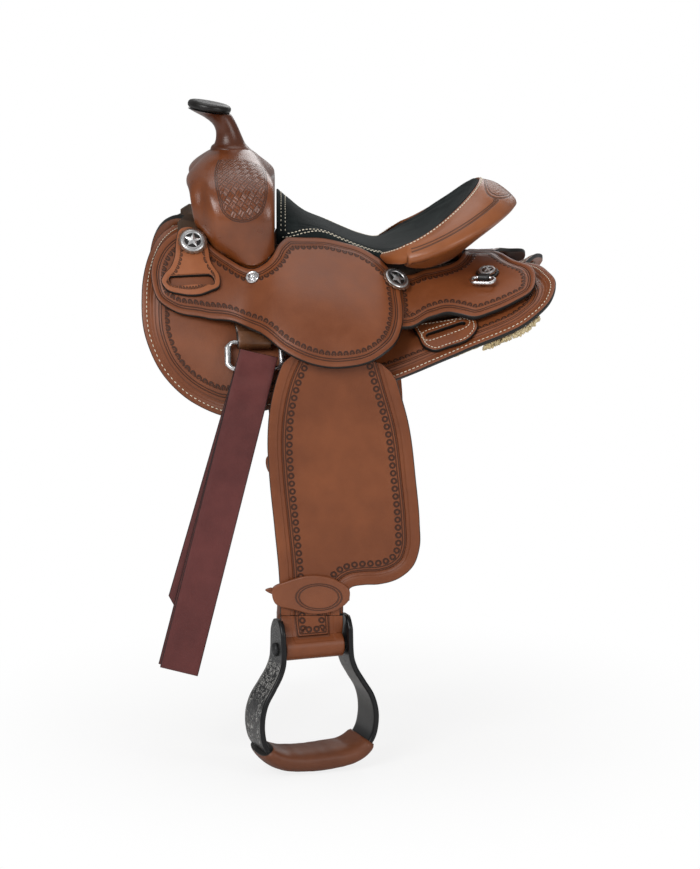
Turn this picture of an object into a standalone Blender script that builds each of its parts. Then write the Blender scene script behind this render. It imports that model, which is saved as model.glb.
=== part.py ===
"""Pony saddle in the western pattern: a wooden tree, its leathers, rigging and stirrups.

Metres, +Z up. The horn points to -X, the horse's left (near) side is -Y. The origin lies on the
centre line, midway along the skirts, in the channel that runs over the pony's spine. Leather that
lies on the pony is laid out flat as (x, girth), where girth is the distance down from the spine,
and is then bent over the back, at a height above the skirt's outer face.
"""
import math

import bmesh
import bpy
from mathutils import Matrix, Vector

# Leather, pile and clearances
SKIRT_LEATHER = 0.005
FLEECE_PILE = 0.013
JOCKEY_LEATHER = 0.0042
COVER_LEATHER = 0.0032
STRAP_LEATHER = 0.0034
PLATE_LEATHER = 0.0042
FENDER_LEATHER = 0.0045
LATIGO_LEATHER = 0.0028
TOUCH = 0.0003
LAYER_AIR = 0.0007
LOOSE_AIR = 0.0014
GRID = 0.03
CURVE_STEP = 0.018

# The pony's back under the skirts: along, spine height, half width, depth of the side
GIRTH_PER_RADIAN = 0.165
BACK_STATIONS = (
    (-0.240, 0.135, 0.130, 0.190),
    (-0.170, 0.112, 0.138, 0.188),
    (-0.100, 0.066, 0.150, 0.165),
    (0.000, 0.028, 0.158, 0.125),
    (0.100, 0.032, 0.168, 0.112),
    (0.170, 0.052, 0.180, 0.110),
    (0.240, 0.084, 0.190, 0.125),
)
# How far the jockeys stand off the skirts: along, then at the girths below
LIFT_GIRTHS = (0.050, 0.090, 0.130, 0.170, 0.210)
LIFT_STATIONS = (
    (-0.235, 0.013, 0.012, 0.010, 0.009, 0.009),
    (-0.175, 0.025, 0.021, 0.013, 0.009, 0.009),
    (-0.120, 0.044, 0.029, 0.021, 0.017, 0.016),
    (-0.080, 0.058, 0.047, 0.045, 0.044, 0.042),
    (-0.020, 0.069, 0.058, 0.053, 0.047, 0.042),
    (0.030, 0.063, 0.051, 0.045, 0.042, 0.039),
    (0.060, 0.050, 0.036, 0.027, 0.026, 0.026),
    (0.100, 0.038, 0.028, 0.015, 0.012, 0.012),
    (0.150, 0.024, 0.018, 0.008, 0.007, 0.007),
    (0.200, 0.013, 0.009, 0.006, 0.006, 0.006),
)

# Outlines of the flat leathers as (along, girth); a third value of 1 keeps a corner
SKIRT_OUTLINE = (
    (-0.160, 0.038), (-0.182, 0.050), (-0.201, 0.078), (-0.216, 0.118), (-0.223, 0.165),
    (-0.219, 0.206), (-0.202, 0.235), (-0.174, 0.252), (-0.141, 0.255), (-0.089, 0.234),
    (0.046, 0.190), (0.120, 0.161), (0.187, 0.145), (0.209, 0.126), (0.217, 0.102),
    (0.210, 0.060), (0.192, 0.0012, 1), (0.140, 0.0012, 1), (0.090, 0.030), (0.000, 0.036),
    (-0.100, 0.036),
)
BAR_OUTLINE = (
    (-0.186, 0.066), (-0.178, 0.100), (-0.150, 0.115), (-0.060, 0.119), (0.020, 0.116), (0.060, 0.102),
    (0.150, 0.095), (0.178, 0.078), (0.174, 0.054), (0.150, 0.044, 1), (-0.150, 0.042, 1),
    (-0.176, 0.046),
)
SEAT_JOCKEY_OUTLINE = (
    (-0.166, 0.079, 1), (-0.187, 0.091), (-0.208, 0.119), (-0.213, 0.146), (-0.205, 0.168),
    (-0.188, 0.174), (-0.154, 0.168), (-0.120, 0.157), (-0.103, 0.161), (-0.073, 0.179),
    (-0.045, 0.188), (-0.009, 0.190), (0.022, 0.183), (0.043, 0.165), (0.053, 0.135),
    (0.053, 0.102), (0.048, 0.078),
)
SWELL_OPENING = (
    (-0.079, 0.068), (-0.084, 0.079), (-0.092, 0.089), (-0.104, 0.0955), (-0.116, 0.0955),
    (-0.129, 0.0935), (-0.145, 0.0915),
)
REAR_JOCKEY_OUTLINE = (
    (0.0415, 0.0655, 1), (0.066, 0.0605), (0.088, 0.0545), (0.112, 0.039), (0.126, 0.0014, 1),
    (0.158, 0.0014, 1), (0.176, 0.040), (0.193, 0.062), (0.197, 0.085), (0.191, 0.106),
    (0.172, 0.115), (0.148, 0.121), (0.130, 0.123), (0.115, 0.117), (0.103, 0.114), (0.088, 0.118),
    (0.062, 0.130), (0.044, 0.137, 1), (0.044, 0.100),
)
RIGGING_PLATE_OUTLINE = (
    (0.063, 0.1065, 1), (0.070, 0.128), (0.077, 0.149), (0.087, 0.157), (0.103, 0.154), (0.124, 0.148),
    (0.131, 0.139), (0.130, 0.1065, 1),
)
SLOT_START = (0.083, 0.1310)
SLOT_END = (0.116, 0.1215)
SLOT_WIDTH = 0.0088

# Tree
BAR_THICKNESS = 0.024
FORK_FOOT = (-0.105, 0.0850)
FORK_FOOT_AIR = 0.0020
FORK_TOP = 0.1885
FORK_HALF_WIDTH = 0.113
FORK_THICKNESS = 0.026
FORK_SIDES = 16
FORK_STEPS = 18
# The fork's section from a foot (0) to the crest (1)
FORK_PARTS = (0.0, 0.10, 0.30, 0.50, 0.75, 1.0)
FORK_FRONTS = (-0.112, -0.124, -0.157, -0.172, -0.176, -0.160)
FORK_BACKS = (-0.098, -0.089, -0.082, -0.082, -0.086, -0.098)
FORK_THICKNESSES = (0.010, 0.0135, 0.022, 0.026, 0.026, 0.026)
HORN_BASE_X = -0.1225
HORN_LEAN = math.radians(33.0)
HORN_NECK_RADIUS = 0.0122
HORN_CORE_RADIUS = 0.0080
HORN_FLARE_RADIUS = 0.0215
HORN_CAP_RADIUS = 0.0272
HORN_CAP_THICKNESS = 0.0105
HORN_CAP_TILT = math.radians(16.0)
HORN_CAP_CENTRE = Vector((-0.1495, 0.0, 0.2215))
# Neck of the horn from its foot (0) to the cap (1), with the radius there
HORN_PROFILE = ((0.0, HORN_FLARE_RADIUS), (0.10, HORN_FLARE_RADIUS * 0.93), (0.30, HORN_NECK_RADIUS * 1.22),
                (0.52, HORN_NECK_RADIUS), (0.74, HORN_NECK_RADIUS), (0.97, HORN_NECK_RADIUS * 1.03))

# Seat and cantle
SEAT_PAD = 0.011
SEAT_GRID = 0.0175
SEAT_BED_AIR = 0.0026
SEAT_JOCKEY_GAP = 0.0013
# Crown of the seat's edge: distance in from the edge, and drop there
SEAT_EDGE_DROPS = ((0.0, 0.0044), (0.0035, 0.0014), (0.0085, 0.0010), (0.0125, 0.0))
RIM_CENTRE = 0.050
RIM_LENGTH = 0.090
RIM_HALF_WIDTH = 0.100
RIM_LOW = 0.092
RIM_RISE = 0.061
RIM_POWER = 1.4
ROLL_WIDTH = 0.041
ROLL_DROP = 0.024
ROLL_END_WIDTH = 0.0060
ROLL_END_DROP = 0.0105
RIM_GAP = 0.0007
CANTLE_FOOT_AIR = 0.0030
CANTLE_END_RISE = 0.0070
CANTLE_END_ANGLE = 84.0
FOOT_CENTRE = 0.045
FOOT_LENGTH = 0.079
FOOT_HALF_WIDTH = 0.079
# Seat line and seat edge: along, centre height, half width, edge height
SEAT_STATIONS = (
    (-0.080, 0.143, 0.062, 0.100),
    (-0.069, 0.133, 0.067, 0.102),
    (-0.050, 0.117, 0.064, 0.105),
    (-0.030, 0.108, 0.060, 0.102),
    (-0.011, 0.099, 0.060, 0.094),
    (0.009, 0.090, 0.061, 0.086),
    (0.030, 0.085, 0.070, 0.081),
    (0.050, 0.085, 0.094, 0.088),
    (0.074, 0.090, 0.0955, 0.101),
    (0.093, 0.100, 0.087, 0.115),
    (0.112, 0.115, 0.072, 0.130),
    (0.130, 0.138, 0.045, 0.146),
    (0.140, 0.153, 0.010, 0.153),
)

# Ornaments and small hardware
CONCHO_RADIUS = 0.0158
CONCHO_HEIGHT = 0.0048
CONCHO_LOBES = 12
CONCHO_AIR = 0.0009
FRONT_CONCHO_AT = (-0.169, 0.0995)
SEAT_CONCHO_AT = (0.0475, 0.0800)
SWELL_SCREW_AT = (-0.105, 0.1065)
SCREW_RADIUS = 0.0076
SCREW_AIR = 0.0030
REAR_CONCHO_AT = (0.146, 0.0640)
REAR_CONCHO_RADIUS = 0.0105
REAR_ROSETTE_RADIUS = 0.0125
REAR_ROSETTE_THICKNESS = 0.0024
REAR_TIE_LEATHER = 0.0015
REAR_TIE_WIDTH = 0.012
REAR_LOOP_LENGTH = 0.029
REAR_LOOP_WIDTH = 0.0155
REAR_LOOP_WIRE = 0.0022

# Latigo keeper: a slotted tab that lies on the front jockey under the front concho
KEEPER_LEATHER = 0.0046
KEEPER_OUTLINE = (
    (-0.1690, 0.0830), (-0.1830, 0.0900), (-0.1870, 0.1060), (-0.1880, 0.1200), (-0.1920, 0.1320),
    (-0.1990, 0.1420), (-0.2020, 0.1500), (-0.1980, 0.1555), (-0.1800, 0.1565), (-0.1630, 0.1510),
    (-0.1500, 0.1410), (-0.1395, 0.1290), (-0.1400, 0.1200), (-0.1490, 0.1110), (-0.1515, 0.1000),
    (-0.1560, 0.0890),
)
KEEPER_SLOT_START = (-0.1890, 0.1460)
KEEPER_SLOT_END = (-0.1500, 0.1290)
KEEPER_SLOT_WIDTH = 0.0086

# Front rigging: strap, dee and latigo
RIGGING_X = -0.1035
SKIRT_BOTTOM_GIRTH = 0.255
RIGGING_STRAP_WIDTH = 0.036
RIGGING_STRAP_TOP = 0.1270
DEE_GIRTH = 0.166
DEE_WIRE = 0.0025
DEE_WIDTH = 0.0550
DEE_DROP = 0.030
DEE_CORNER = 0.006
DEE_HEEL = 0.0065
DEE_AIR = 0.0013
LATIGO_AIR = 0.0012
LATIGO_EASE = 0.042
LATIGO_PINCH = 0.027
LATIGO_WIDTH = 0.0415
LATIGO_TILT = math.radians(14.2)
LATIGO_TOP = (-0.0985, -0.0135)
LATIGO_LENGTH = 0.352
LATIGO_TAIL_LENGTH = 0.300
LATIGO_TAIL_SHIFT = 0.011
LATIGO_MIDDLE_SHIFT = 0.0025

# Fenders, leathers and stirrups (near side; the off side is the mirror image)
LEATHER_X = -0.0350
LEATHER_PIVOT_Z = 0.012
LEATHER_WIDTH = 0.052
FENDER_Y = 0.1620
FENDER_HINGE_RISE = 0.0020
FENDER_OUTLINE = (
    (-0.0620, -0.013, 1), (-0.0740, -0.026), (-0.0790, -0.036), (-0.0870, -0.069), (-0.0900, -0.109),
    (-0.0885, -0.141),
    (-0.0830, -0.200), (-0.0785, -0.250), (-0.0770, -0.2945, 1), (-0.0100, -0.2945, 1), (-0.0085, -0.266, 1),
    (0.0070, -0.2625), (0.0270, -0.2615), (0.0500, -0.2545), (0.0640, -0.2420), (0.0710, -0.2220),
    (0.0710, -0.1950), (0.0670, -0.1500), (0.0590, -0.0880), (0.0470, -0.0440), (0.0300, -0.0260),
    (-0.0080, -0.013, 1),
)
FENDER_TOP = -0.0130
FENDER_SHOULDER = -0.045
FENDER_SQUEEZE = 0.125
NECK_CENTRE = -0.0435
NECK_WIDTH = 0.0670
NECK_END = -0.2945
LOOP_CENTRE_Z = -0.3295
HOLE_SPACING = 0.0254
OFF_HOLES_SHORTER = 3
OFF_FORWARD = 0.008
BUCKLE_Z = -0.172
TAIL_TOP = -0.132
BUCKLE_WIDTH = 0.076
BUCKLE_HEIGHT = 0.034
BUCKLE_THICKNESS = 0.003
HOBBLE_OUTLINE = (
    (-0.0850, -0.2640), (-0.0700, -0.2570), (-0.0400, -0.2505), (-0.0170, -0.2560), (-0.0030, -0.2690),
    (-0.0045, -0.2780), (-0.0150, -0.2870), (-0.0400, -0.2925), (-0.0620, -0.2880), (-0.0830, -0.2800),
)
HOBBLE_BAND_Z = -0.2785
HOBBLE_BAND_HEIGHT = 0.014
HOBBLE_LEATHER = 0.0036
HOBBLE_AIR = 0.0030
NEAR_TURN = math.radians(20.0)
OFF_TURN = math.radians(-90.0)

# Stirrup: half widths of the middle of its metal and heights from the bolt, top to tread
STIRRUP_METAL = 0.0055
STIRRUP_STEP = 0.0125
STIRRUP_TOP_WIDTH = 0.0705
LOOP_SIDE_AIR = 0.00175
STIRRUP_HALF = (
    (0.0000, 0.0320), (0.0000, 0.0120), (0.0000, -0.0040), (0.0006, -0.0120), (0.0040, -0.0230),
    (0.0125, -0.0380), (0.0220, -0.0540),
    (0.0265, -0.0720), (0.0262, -0.0860), (0.0225, -0.1000), (0.0140, -0.1110), (0.0000, -0.1180),
)
TREAD_DROP = 0.1215
STIRRUP_DEPTH_CROWN = 0.023
STIRRUP_SHOULDER = 0.020
STIRRUP_DEPTH_TOP = 0.034
STIRRUP_DEPTH = 0.052
TREAD_WRAP_TOP = -0.1040
TREAD_WRAP_THICKNESS = 0.0240
TREAD_WRAP_EDGE = 0.0045
TREAD_AIR = 0.0004
BOLT_RADIUS = 0.0040
SLEEVE_RADIUS = 0.0080
NUT_RADIUS = 0.0075
NUT_THICKNESS = 0.0042

COLOURS = {
    "skirting": ((0.235, 0.088, 0.036), 0.42, 0.0),
    "swell_leather": ((0.285, 0.098, 0.030), 0.28, 0.0),
    "latigo": ((0.105, 0.022, 0.022), 0.36, 0.0),
    "suede": ((0.012, 0.016, 0.016), 0.92, 0.0),
    "black_leather": ((0.010, 0.010, 0.011), 0.40, 0.0),
    "fleece": ((0.560, 0.430, 0.200), 0.95, 0.0),
    "silver": ((0.620, 0.610, 0.590), 0.26, 1.0),
    "aluminium": ((0.050, 0.050, 0.055), 0.38, 0.6),
    "wood": ((0.420, 0.260, 0.130), 0.60, 0.0),
    "nylon": ((0.650, 0.640, 0.600), 0.45, 0.0),
}
SIDES = (("near", -1), ("off", 1))


def clear_scene():
    """Start from nothing."""
    for obj in list(bpy.data.objects):
        bpy.data.objects.remove(obj, do_unlink=True)


def dress(obj, colour):
    """Give a piece its own material."""
    rgb, roughness, metallic = COLOURS[colour]
    mat = bpy.data.materials.new(obj.name + "_" + colour)
    mat.use_nodes = True
    shader = mat.node_tree.nodes["Principled BSDF"]
    shader.inputs["Base Color"].default_value = (*rgb, 1.0)
    shader.inputs["Roughness"].default_value = roughness
    shader.inputs["Metallic"].default_value = metallic
    obj.data.materials.append(mat)


def make(name, bm, colour, pivot=None, parent=None, sharp=35.0):
    """Turn a bmesh in world coordinates into a named object whose origin is its pivot."""
    bmesh.ops.remove_doubles(bm, verts=bm.verts[:], dist=1e-6)
    bmesh.ops.recalc_face_normals(bm, faces=bm.faces[:])
    pivot = Vector(pivot) if pivot is not None else Vector((0.0, 0.0, 0.0))
    bmesh.ops.translate(bm, verts=bm.verts[:], vec=-pivot)
    mesh = bpy.data.meshes.new(name)
    bm.to_mesh(mesh)
    bm.free()
    obj = bpy.data.objects.new(name, mesh)
    bpy.context.scene.collection.objects.link(obj)
    mesh.shade_smooth()
    mesh.set_sharp_from_angle(angle=math.radians(sharp))
    if colour:
        dress(obj, colour)
    obj.location = pivot
    if parent is not None:
        obj.parent = parent
        obj.location = pivot - parent.matrix_world.translation
    bpy.context.view_layer.update()
    return obj


def cutter(name, bm):
    """A hidden solid that a Boolean takes away from, or adds to, a piece."""
    obj = make(name, bm, None)
    obj.hide_render = True
    obj.display_type = "WIRE"
    return obj


def combine(obj, other, operation="DIFFERENCE"):
    """Cut a piece with a hidden solid, or join the two."""
    modifier = obj.modifiers.new(other.name, "BOOLEAN")
    modifier.operation = operation
    modifier.object = other
    modifier.solver = "EXACT"


def smooth_value(knots, values, at):
    """Smooth curve through values at knots, held straight past the ends."""
    last = len(knots) - 1
    cell = 0
    while cell < last - 1 and at > knots[cell + 1]:
        cell += 1
    run = knots[cell + 1] - knots[cell]
    part = (at - knots[cell]) / run

    def slope(index):
        low, high = max(index - 1, 0), min(index + 1, last)
        return (values[high] - values[low]) / (knots[high] - knots[low])

    start, end = values[cell], values[cell + 1]
    if part <= 0.0:
        return start + slope(cell) * run * part
    if part >= 1.0:
        return end + slope(cell + 1) * run * (part - 1.0)
    square, cube = part * part, part ** 3
    return ((2 * cube - 3 * square + 1) * start + (cube - 2 * square + part) * slope(cell) * run
            + (3 * square - 2 * cube) * end + (cube - square) * slope(cell + 1) * run)


def station(table, column, along):
    """Read one column of a table of stations at a place along the saddle."""
    return smooth_value([row[0] for row in table], [row[column] for row in table], along)


def on_back(along, girth, height, side):
    """The point at a height above the skirt's outer face, and the face's outward direction."""
    spine, half, depth = (station(BACK_STATIONS, column, along) for column in (1, 2, 3))
    turn = girth / GIRTH_PER_RADIAN
    normal = Vector((0.0, depth * math.sin(turn), half * math.cos(turn))).normalized()
    across = half * math.sin(turn) + normal.y * height
    up = spine - depth * (1.0 - math.cos(turn)) + normal.z * height
    return Vector((along, side * across, up)), Vector((0.0, side * normal.y, normal.z))


def lift(along, girth):
    """Height of the jockeys' outer face above the skirt."""
    girth = min(max(girth, LIFT_GIRTHS[0] - 0.03), LIFT_GIRTHS[-1])
    rows = [station(LIFT_STATIONS, column + 1, along) for column in range(len(LIFT_GIRTHS))]
    return smooth_value(LIFT_GIRTHS, rows, girth)


def level(height):
    """A face that keeps one height above the skirt."""
    return lambda along, girth: height


def girth_at(along, across, height):
    """Girth at which a sheet's face is a distance across from the centre line."""
    low, high = 0.0, GIRTH_PER_RADIAN * math.pi / 2
    for _ in range(30):
        middle = (low + high) / 2
        if on_back(along, middle, height(along, middle), 1)[0].y < across:
            low = middle
        else:
            high = middle
    return low


def height_over_back(along, across, height):
    """World height of a sheet's face at a place in plan."""
    girth = girth_at(along, across, height)
    return on_back(along, girth, height(along, girth), 1)[0].z


def curve_through(points, step=CURVE_STEP, closed=True):
    """Even points on a smooth curve through the given ones; a third value of 1 keeps a corner."""
    count = len(points)
    spots = [Vector(point[:2]) for point in points]
    ends = () if closed else (0, count - 1)
    corner = [len(point) > 2 or index in ends for index, point in enumerate(points)]

    def tangent(index, leaving):
        before, here, after = spots[index - 1], spots[index], spots[(index + 1) % count]
        if corner[index]:
            return (after - here).normalized() if leaving else (here - before).normalized()
        back, ahead = here - before, after - here
        mixed = back.normalized() * ahead.length + ahead.normalized() * back.length
        return mixed / (back.length + ahead.length)

    result = []
    for index in range(count if closed else count - 1):
        start, end = spots[index], spots[(index + 1) % count]
        length = (end - start).length
        leave, arrive = tangent(index, True) * length, tangent((index + 1) % count, False) * length
        steps = max(1, round(length / step))
        for number in range(steps):
            part = number / steps
            square, cube = part * part, part ** 3
            result.append((2 * cube - 3 * square + 1) * start + (cube - 2 * square + part) * leave
                          + (3 * square - 2 * cube) * end + (cube - square) * arrive)
    if not closed:
        result.append(spots[-1])
    return result


def stadium(start, end, width, segments=8):
    """Outline of a slot with round ends."""
    start, end = Vector(start), Vector(end)
    along = (end - start).normalized()
    across = Vector((-along.y, along.x))
    points = []
    for centre, sign in ((end, 1), (start, -1)):
        for number in range(segments + 1):
            angle = math.pi * (number / segments - 0.5)
            points.append(centre + (along * math.cos(angle) + across * math.sin(angle)) * sign * width / 2)
    return points


def flat_sheet(outline, grid):
    """Face with the given outline, cut by an even grid into small triangles."""
    bm = bmesh.new()
    face = bm.faces.new([bm.verts.new((point[0], point[1], 0.0)) for point in outline])
    bm.normal_update()
    if face.normal.z < 0:
        face.normal_flip()
    cut_by_grid(bm, grid)
    return bm


def cut_by_grid(bm, grid):
    """Cut every face along the lines of an even grid, then into triangles."""
    for axis, normal in ((0, Vector((1, 0, 0))), (1, Vector((0, 1, 0)))):
        low = min(vert.co[axis] for vert in bm.verts)
        high = max(vert.co[axis] for vert in bm.verts)
        for line in range(math.ceil(low / grid), math.floor(high / grid) + 1):
            everything = bm.verts[:] + bm.edges[:] + bm.faces[:]
            bmesh.ops.bisect_plane(bm, geom=everything, plane_co=normal * line * grid, plane_no=normal, dist=1e-5)
    bmesh.ops.remove_doubles(bm, verts=bm.verts[:], dist=2e-4)
    bmesh.ops.triangulate(bm, faces=bm.faces[:])


def thicken(bm, place):
    """Give a flat sheet two faces; place maps (x, y, 0 for the under face or 1 for the upper) to space."""
    top = bmesh.ops.extrude_face_region(bm, geom=bm.faces[:])
    raised = {item for item in top["geom"] if isinstance(item, bmesh.types.BMVert)}
    for vert in bm.verts:
        vert.co = place(vert.co.x, vert.co.y, 1 if vert in raised else 0)


def back_sheet(outline, low, high, side, grid=GRID):
    """Leather bent over the back; low and high give its faces' heights at a place in the layout."""
    bm = flat_sheet(outline, grid)
    thicken(bm, lambda x, girth, up: on_back(x, girth, (high if up else low)(x, girth), side)[0])
    return bm


def upright_plate(outline, y_inner, thickness, side, top):
    """Flat plate in a plane of constant y, with its outline in (x, z), cut off at its top."""
    bm = flat_sheet(outline, 1.0)
    bmesh.ops.bisect_plane(bm, geom=bm.verts[:] + bm.edges[:] + bm.faces[:], plane_co=(0, top, 0),
                           plane_no=(0, 1, 0), clear_outer=True, dist=1e-6)
    thicken(bm, lambda x, z, up: Vector((x, side * (y_inner + thickness * up), z)))
    return bm


def ring_surface(rings, close_ends=True, split=False):
    """Skin over rings of points, each ring closed on itself; split cuts all its faces the same way."""
    bm = bmesh.new()
    loops = [[bm.verts.new(point) for point in ring] for ring in rings]
    for first, second in zip(loops, loops[1:]):
        for index in range(len(first)):
            after = (index + 1) % len(first)
            corners = (first[index], first[after], second[after], second[index])
            if split:
                bm.faces.new(corners[:3])
                bm.faces.new((corners[0], corners[2], corners[3]))
            else:
                bm.faces.new(corners)
    if close_ends:
        bm.faces.new(loops[0])
        bm.faces.new(list(reversed(loops[-1])))
    return bm


def shell_of_rings(outer, inner):
    """Tube with a wall, open at both ends, between outer rings and inner rings."""
    bm = bmesh.new()
    outside = [[bm.verts.new(point) for point in ring] for ring in outer]
    inside = [[bm.verts.new(point) for point in ring] for ring in inner]
    count = len(outside[0])
    for rings in (outside, inside):
        for first, second in zip(rings, rings[1:]):
            for index in range(count):
                after = (index + 1) % count
                bm.faces.new((first[index], first[after], second[after], second[index]))
    for end in (0, -1):
        for index in range(count):
            after = (index + 1) % count
            bm.faces.new((outside[end][index], outside[end][after], inside[end][after], inside[end][index]))
    return bm


def turned(profile, axis_at, axis, steps=24):
    """Solid turned from (radius, height) points about an axis through a point."""
    bm = bmesh.new()
    line = [bm.verts.new((radius, 0.0, height)) for radius, height in profile]
    edges = [bm.edges.new(pair) for pair in zip(line, line[1:])]
    bmesh.ops.spin(bm, geom=line + edges, cent=(0, 0, 0), axis=(0, 0, 1), angle=math.tau, steps=steps,
                   use_merge=True, use_duplicate=False)
    bmesh.ops.remove_doubles(bm, verts=bm.verts[:], dist=1e-6)
    turn = Vector((0, 0, 1)).rotation_difference(Vector(axis)).to_matrix().to_4x4()
    bmesh.ops.transform(bm, matrix=Matrix.Translation(Vector(axis_at)) @ turn, verts=bm.verts[:])
    return bm


def rod(start, end, radius, steps=16):
    """Plain round bar between two points."""
    start, end = Vector(start), Vector(end)
    length = (end - start).length
    return turned(((0, 0), (radius, 0), (radius, length), (0, length)), start, end - start, steps)


def band(line, thickness, place, left, right, spans=1):
    """Strap that follows a line in its side view; place maps (width, point) to space."""
    outline = []
    for sign in (1, -1):
        row = []
        for index, spot in enumerate(line):
            before, after = line[max(index - 1, 0)], line[min(index + 1, len(line) - 1)]
            along = (after - before).normalized()
            row.append(spot + Vector((-along.y, along.x)) * sign * thickness / 2)
        outline += row if sign > 0 else list(reversed(row))
    sections = []
    for number in range(spans + 1):
        width = left + (right - left) * number / spans
        sections.append([place(width, point) for point in outline])
    bm = ring_surface(sections)
    bm.normal_update()
    bmesh.ops.triangulate(bm, faces=[face for face in bm.faces if len(face.verts) > 4])
    return bm


def arc(centre, radius, start, end, steps):
    """Points on an arc, with angles in degrees."""
    spots = []
    for number in range(steps + 1):
        angle = math.radians(start + (end - start) * number / steps)
        spots.append(Vector(centre) + Vector((math.cos(angle), math.sin(angle))) * radius)
    return spots


def wire_loop(path, radius, place, sides=8):
    """Closed round wire along a flat path; place maps the path's plane to space."""
    rings = []
    count = len(path)
    for index, spot in enumerate(path):
        along = (path[(index + 1) % count] - path[index - 1]).normalized()
        across = Vector((-along.y, along.x))
        ring = []
        for number in range(sides):
            angle = math.tau * number / sides
            flat = spot + across * radius * math.cos(angle)
            ring.append(place(flat.x, flat.y, radius * math.sin(angle)))
        rings.append(ring)
    return ring_surface(rings + [rings[0]], close_ends=False)


# Skirts, fleece and tree

def build_skirts():
    """The square skirts with their sheepskin, and the two bars of the tree that lie on them."""
    outline = curve_through(SKIRT_OUTLINE)
    bars = curve_through(BAR_OUTLINE)
    fleece_top = -SKIRT_LEATHER - LAYER_AIR
    for name, side in SIDES:
        bm = back_sheet(outline, level(-SKIRT_LEATHER), level(0.0), side)
        make("skirt_" + name, bm, "skirting")
        bm = back_sheet(outline, level(fleece_top - FLEECE_PILE), level(fleece_top), side)
        make("fleece_" + name, bm, "fleece")
        bm = back_sheet(bars, level(LAYER_AIR), bar_top, side)
        make("tree_bar_" + name, bm, "wood")


def bar_top(along, girth):
    """Upper face of a bar: full thickness, thinner where the jockeys come down on it."""
    return min(BAR_THICKNESS, rear_lift(along, girth) - JOCKEY_LEATHER - LOOSE_AIR)


def jockey_under(along, girth):
    """Inner face of the jockeys."""
    return lift(along, girth) - JOCKEY_LEATHER


def rear_lift(along, girth):
    """Outer face of the rear jockey, which goes under the seat jockey at its front."""
    tuck = min(max((0.082 - along) / 0.020, 0.0), 1.0)
    return lift(along, girth) - (JOCKEY_LEATHER + LOOSE_AIR) * tuck * tuck * (3 - 2 * tuck)


def seat_jockey_outline():
    """Outline of the seat jockey; its upper edge follows the edge of the seat."""
    seam = []
    for along in (0.030, 0.009, -0.011, -0.030, -0.050, -0.069):
        half = station(SEAT_STATIONS, 2, along) + SEAT_JOCKEY_GAP
        corner = (1,) if along in (0.030, -0.069) else ()
        seam.append((along, girth_at(along, half, jockey_under), *corner))
    return curve_through(SEAT_JOCKEY_OUTLINE + tuple(seam) + SWELL_OPENING)


def build_jockeys():
    """Seat jockeys, rear jockeys and the slotted rigging plates under them."""
    seat = seat_jockey_outline()
    rear = curve_through(REAR_JOCKEY_OUTLINE)
    plate = curve_through(RIGGING_PLATE_OUTLINE)
    slot = stadium(SLOT_START, SLOT_END, SLOT_WIDTH)
    top = LAYER_AIR + PLATE_LEATHER
    for name, side in SIDES:
        bm = back_sheet(seat, jockey_under, lift, side)
        make("seat_jockey_" + name, bm, "skirting")
        bm = back_sheet(rear, lambda x, g: rear_lift(x, g) - JOCKEY_LEATHER, rear_lift, side)
        make("rear_jockey_" + name, bm, "skirting")
        bm = back_sheet(plate, level(LAYER_AIR), level(top), side)
        obj = make("rear_rigging_plate_" + name, bm, "skirting")
        cut = back_sheet(slot, level(-LAYER_AIR), level(top + LAYER_AIR), side)
        combine(obj, cutter("slot_cutter_" + name, cut))


# Seat, ground seat and cantle

def seat_top(along, across):
    """Height of the seat's upper face at a place in plan."""
    centre, half, edge = (station(SEAT_STATIONS, column, along) for column in (1, 2, 3))
    part = min(abs(across) / max(half, 1e-4), 1.15)
    return centre + (edge - centre) * part ** 2.4


def seat_outline():
    """Edge of the seat in plan, from the front corner round the rim of the cantle."""
    rows = [row for row in SEAT_STATIONS if row[0] < RIM_CENTRE - 0.01]
    left = [(row[0], -row[2], 1) if row is rows[0] else (row[0], -row[2]) for row in rows]
    rim = []
    for degrees in range(-84, 85, 14):
        angle = math.radians(degrees)
        rim.append((RIM_CENTRE + RIM_LENGTH * math.cos(angle), RIM_HALF_WIDTH * math.sin(angle)))
    right = [(point[0], -point[1], *point[2:]) for point in reversed(left)]
    return curve_through(left + rim + right, step=0.012)


def rim_point(angle):
    """Rim of the cantle at an angle round the seat, and the direction outwards in plan."""
    cosine = max(math.cos(angle), 0.0)
    spot = Vector((RIM_CENTRE + RIM_LENGTH * math.cos(angle), RIM_HALF_WIDTH * math.sin(angle),
                   RIM_LOW + RIM_RISE * cosine ** RIM_POWER))
    out = Vector((math.cos(angle) * RIM_HALF_WIDTH, math.sin(angle) * RIM_LENGTH, 0.0)).normalized()
    return spot, out


def foot_point(angle):
    """Foot of the cantle's back at an angle round the seat, just over the jockeys."""
    along = FOOT_CENTRE + FOOT_LENGTH * math.cos(angle)
    across = FOOT_HALF_WIDTH * math.sin(angle)
    height = height_over_back(along, abs(across), lift)
    end = (1.0 - max(math.cos(angle), 0.0)) ** 2
    foot = Vector((along, across, height + CANTLE_FOOT_AIR + CANTLE_END_RISE * end))
    rim = rim_point(angle)[0]
    foot.xy = foot.xy.lerp(rim.xy, 0.75 * end)
    return foot


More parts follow.
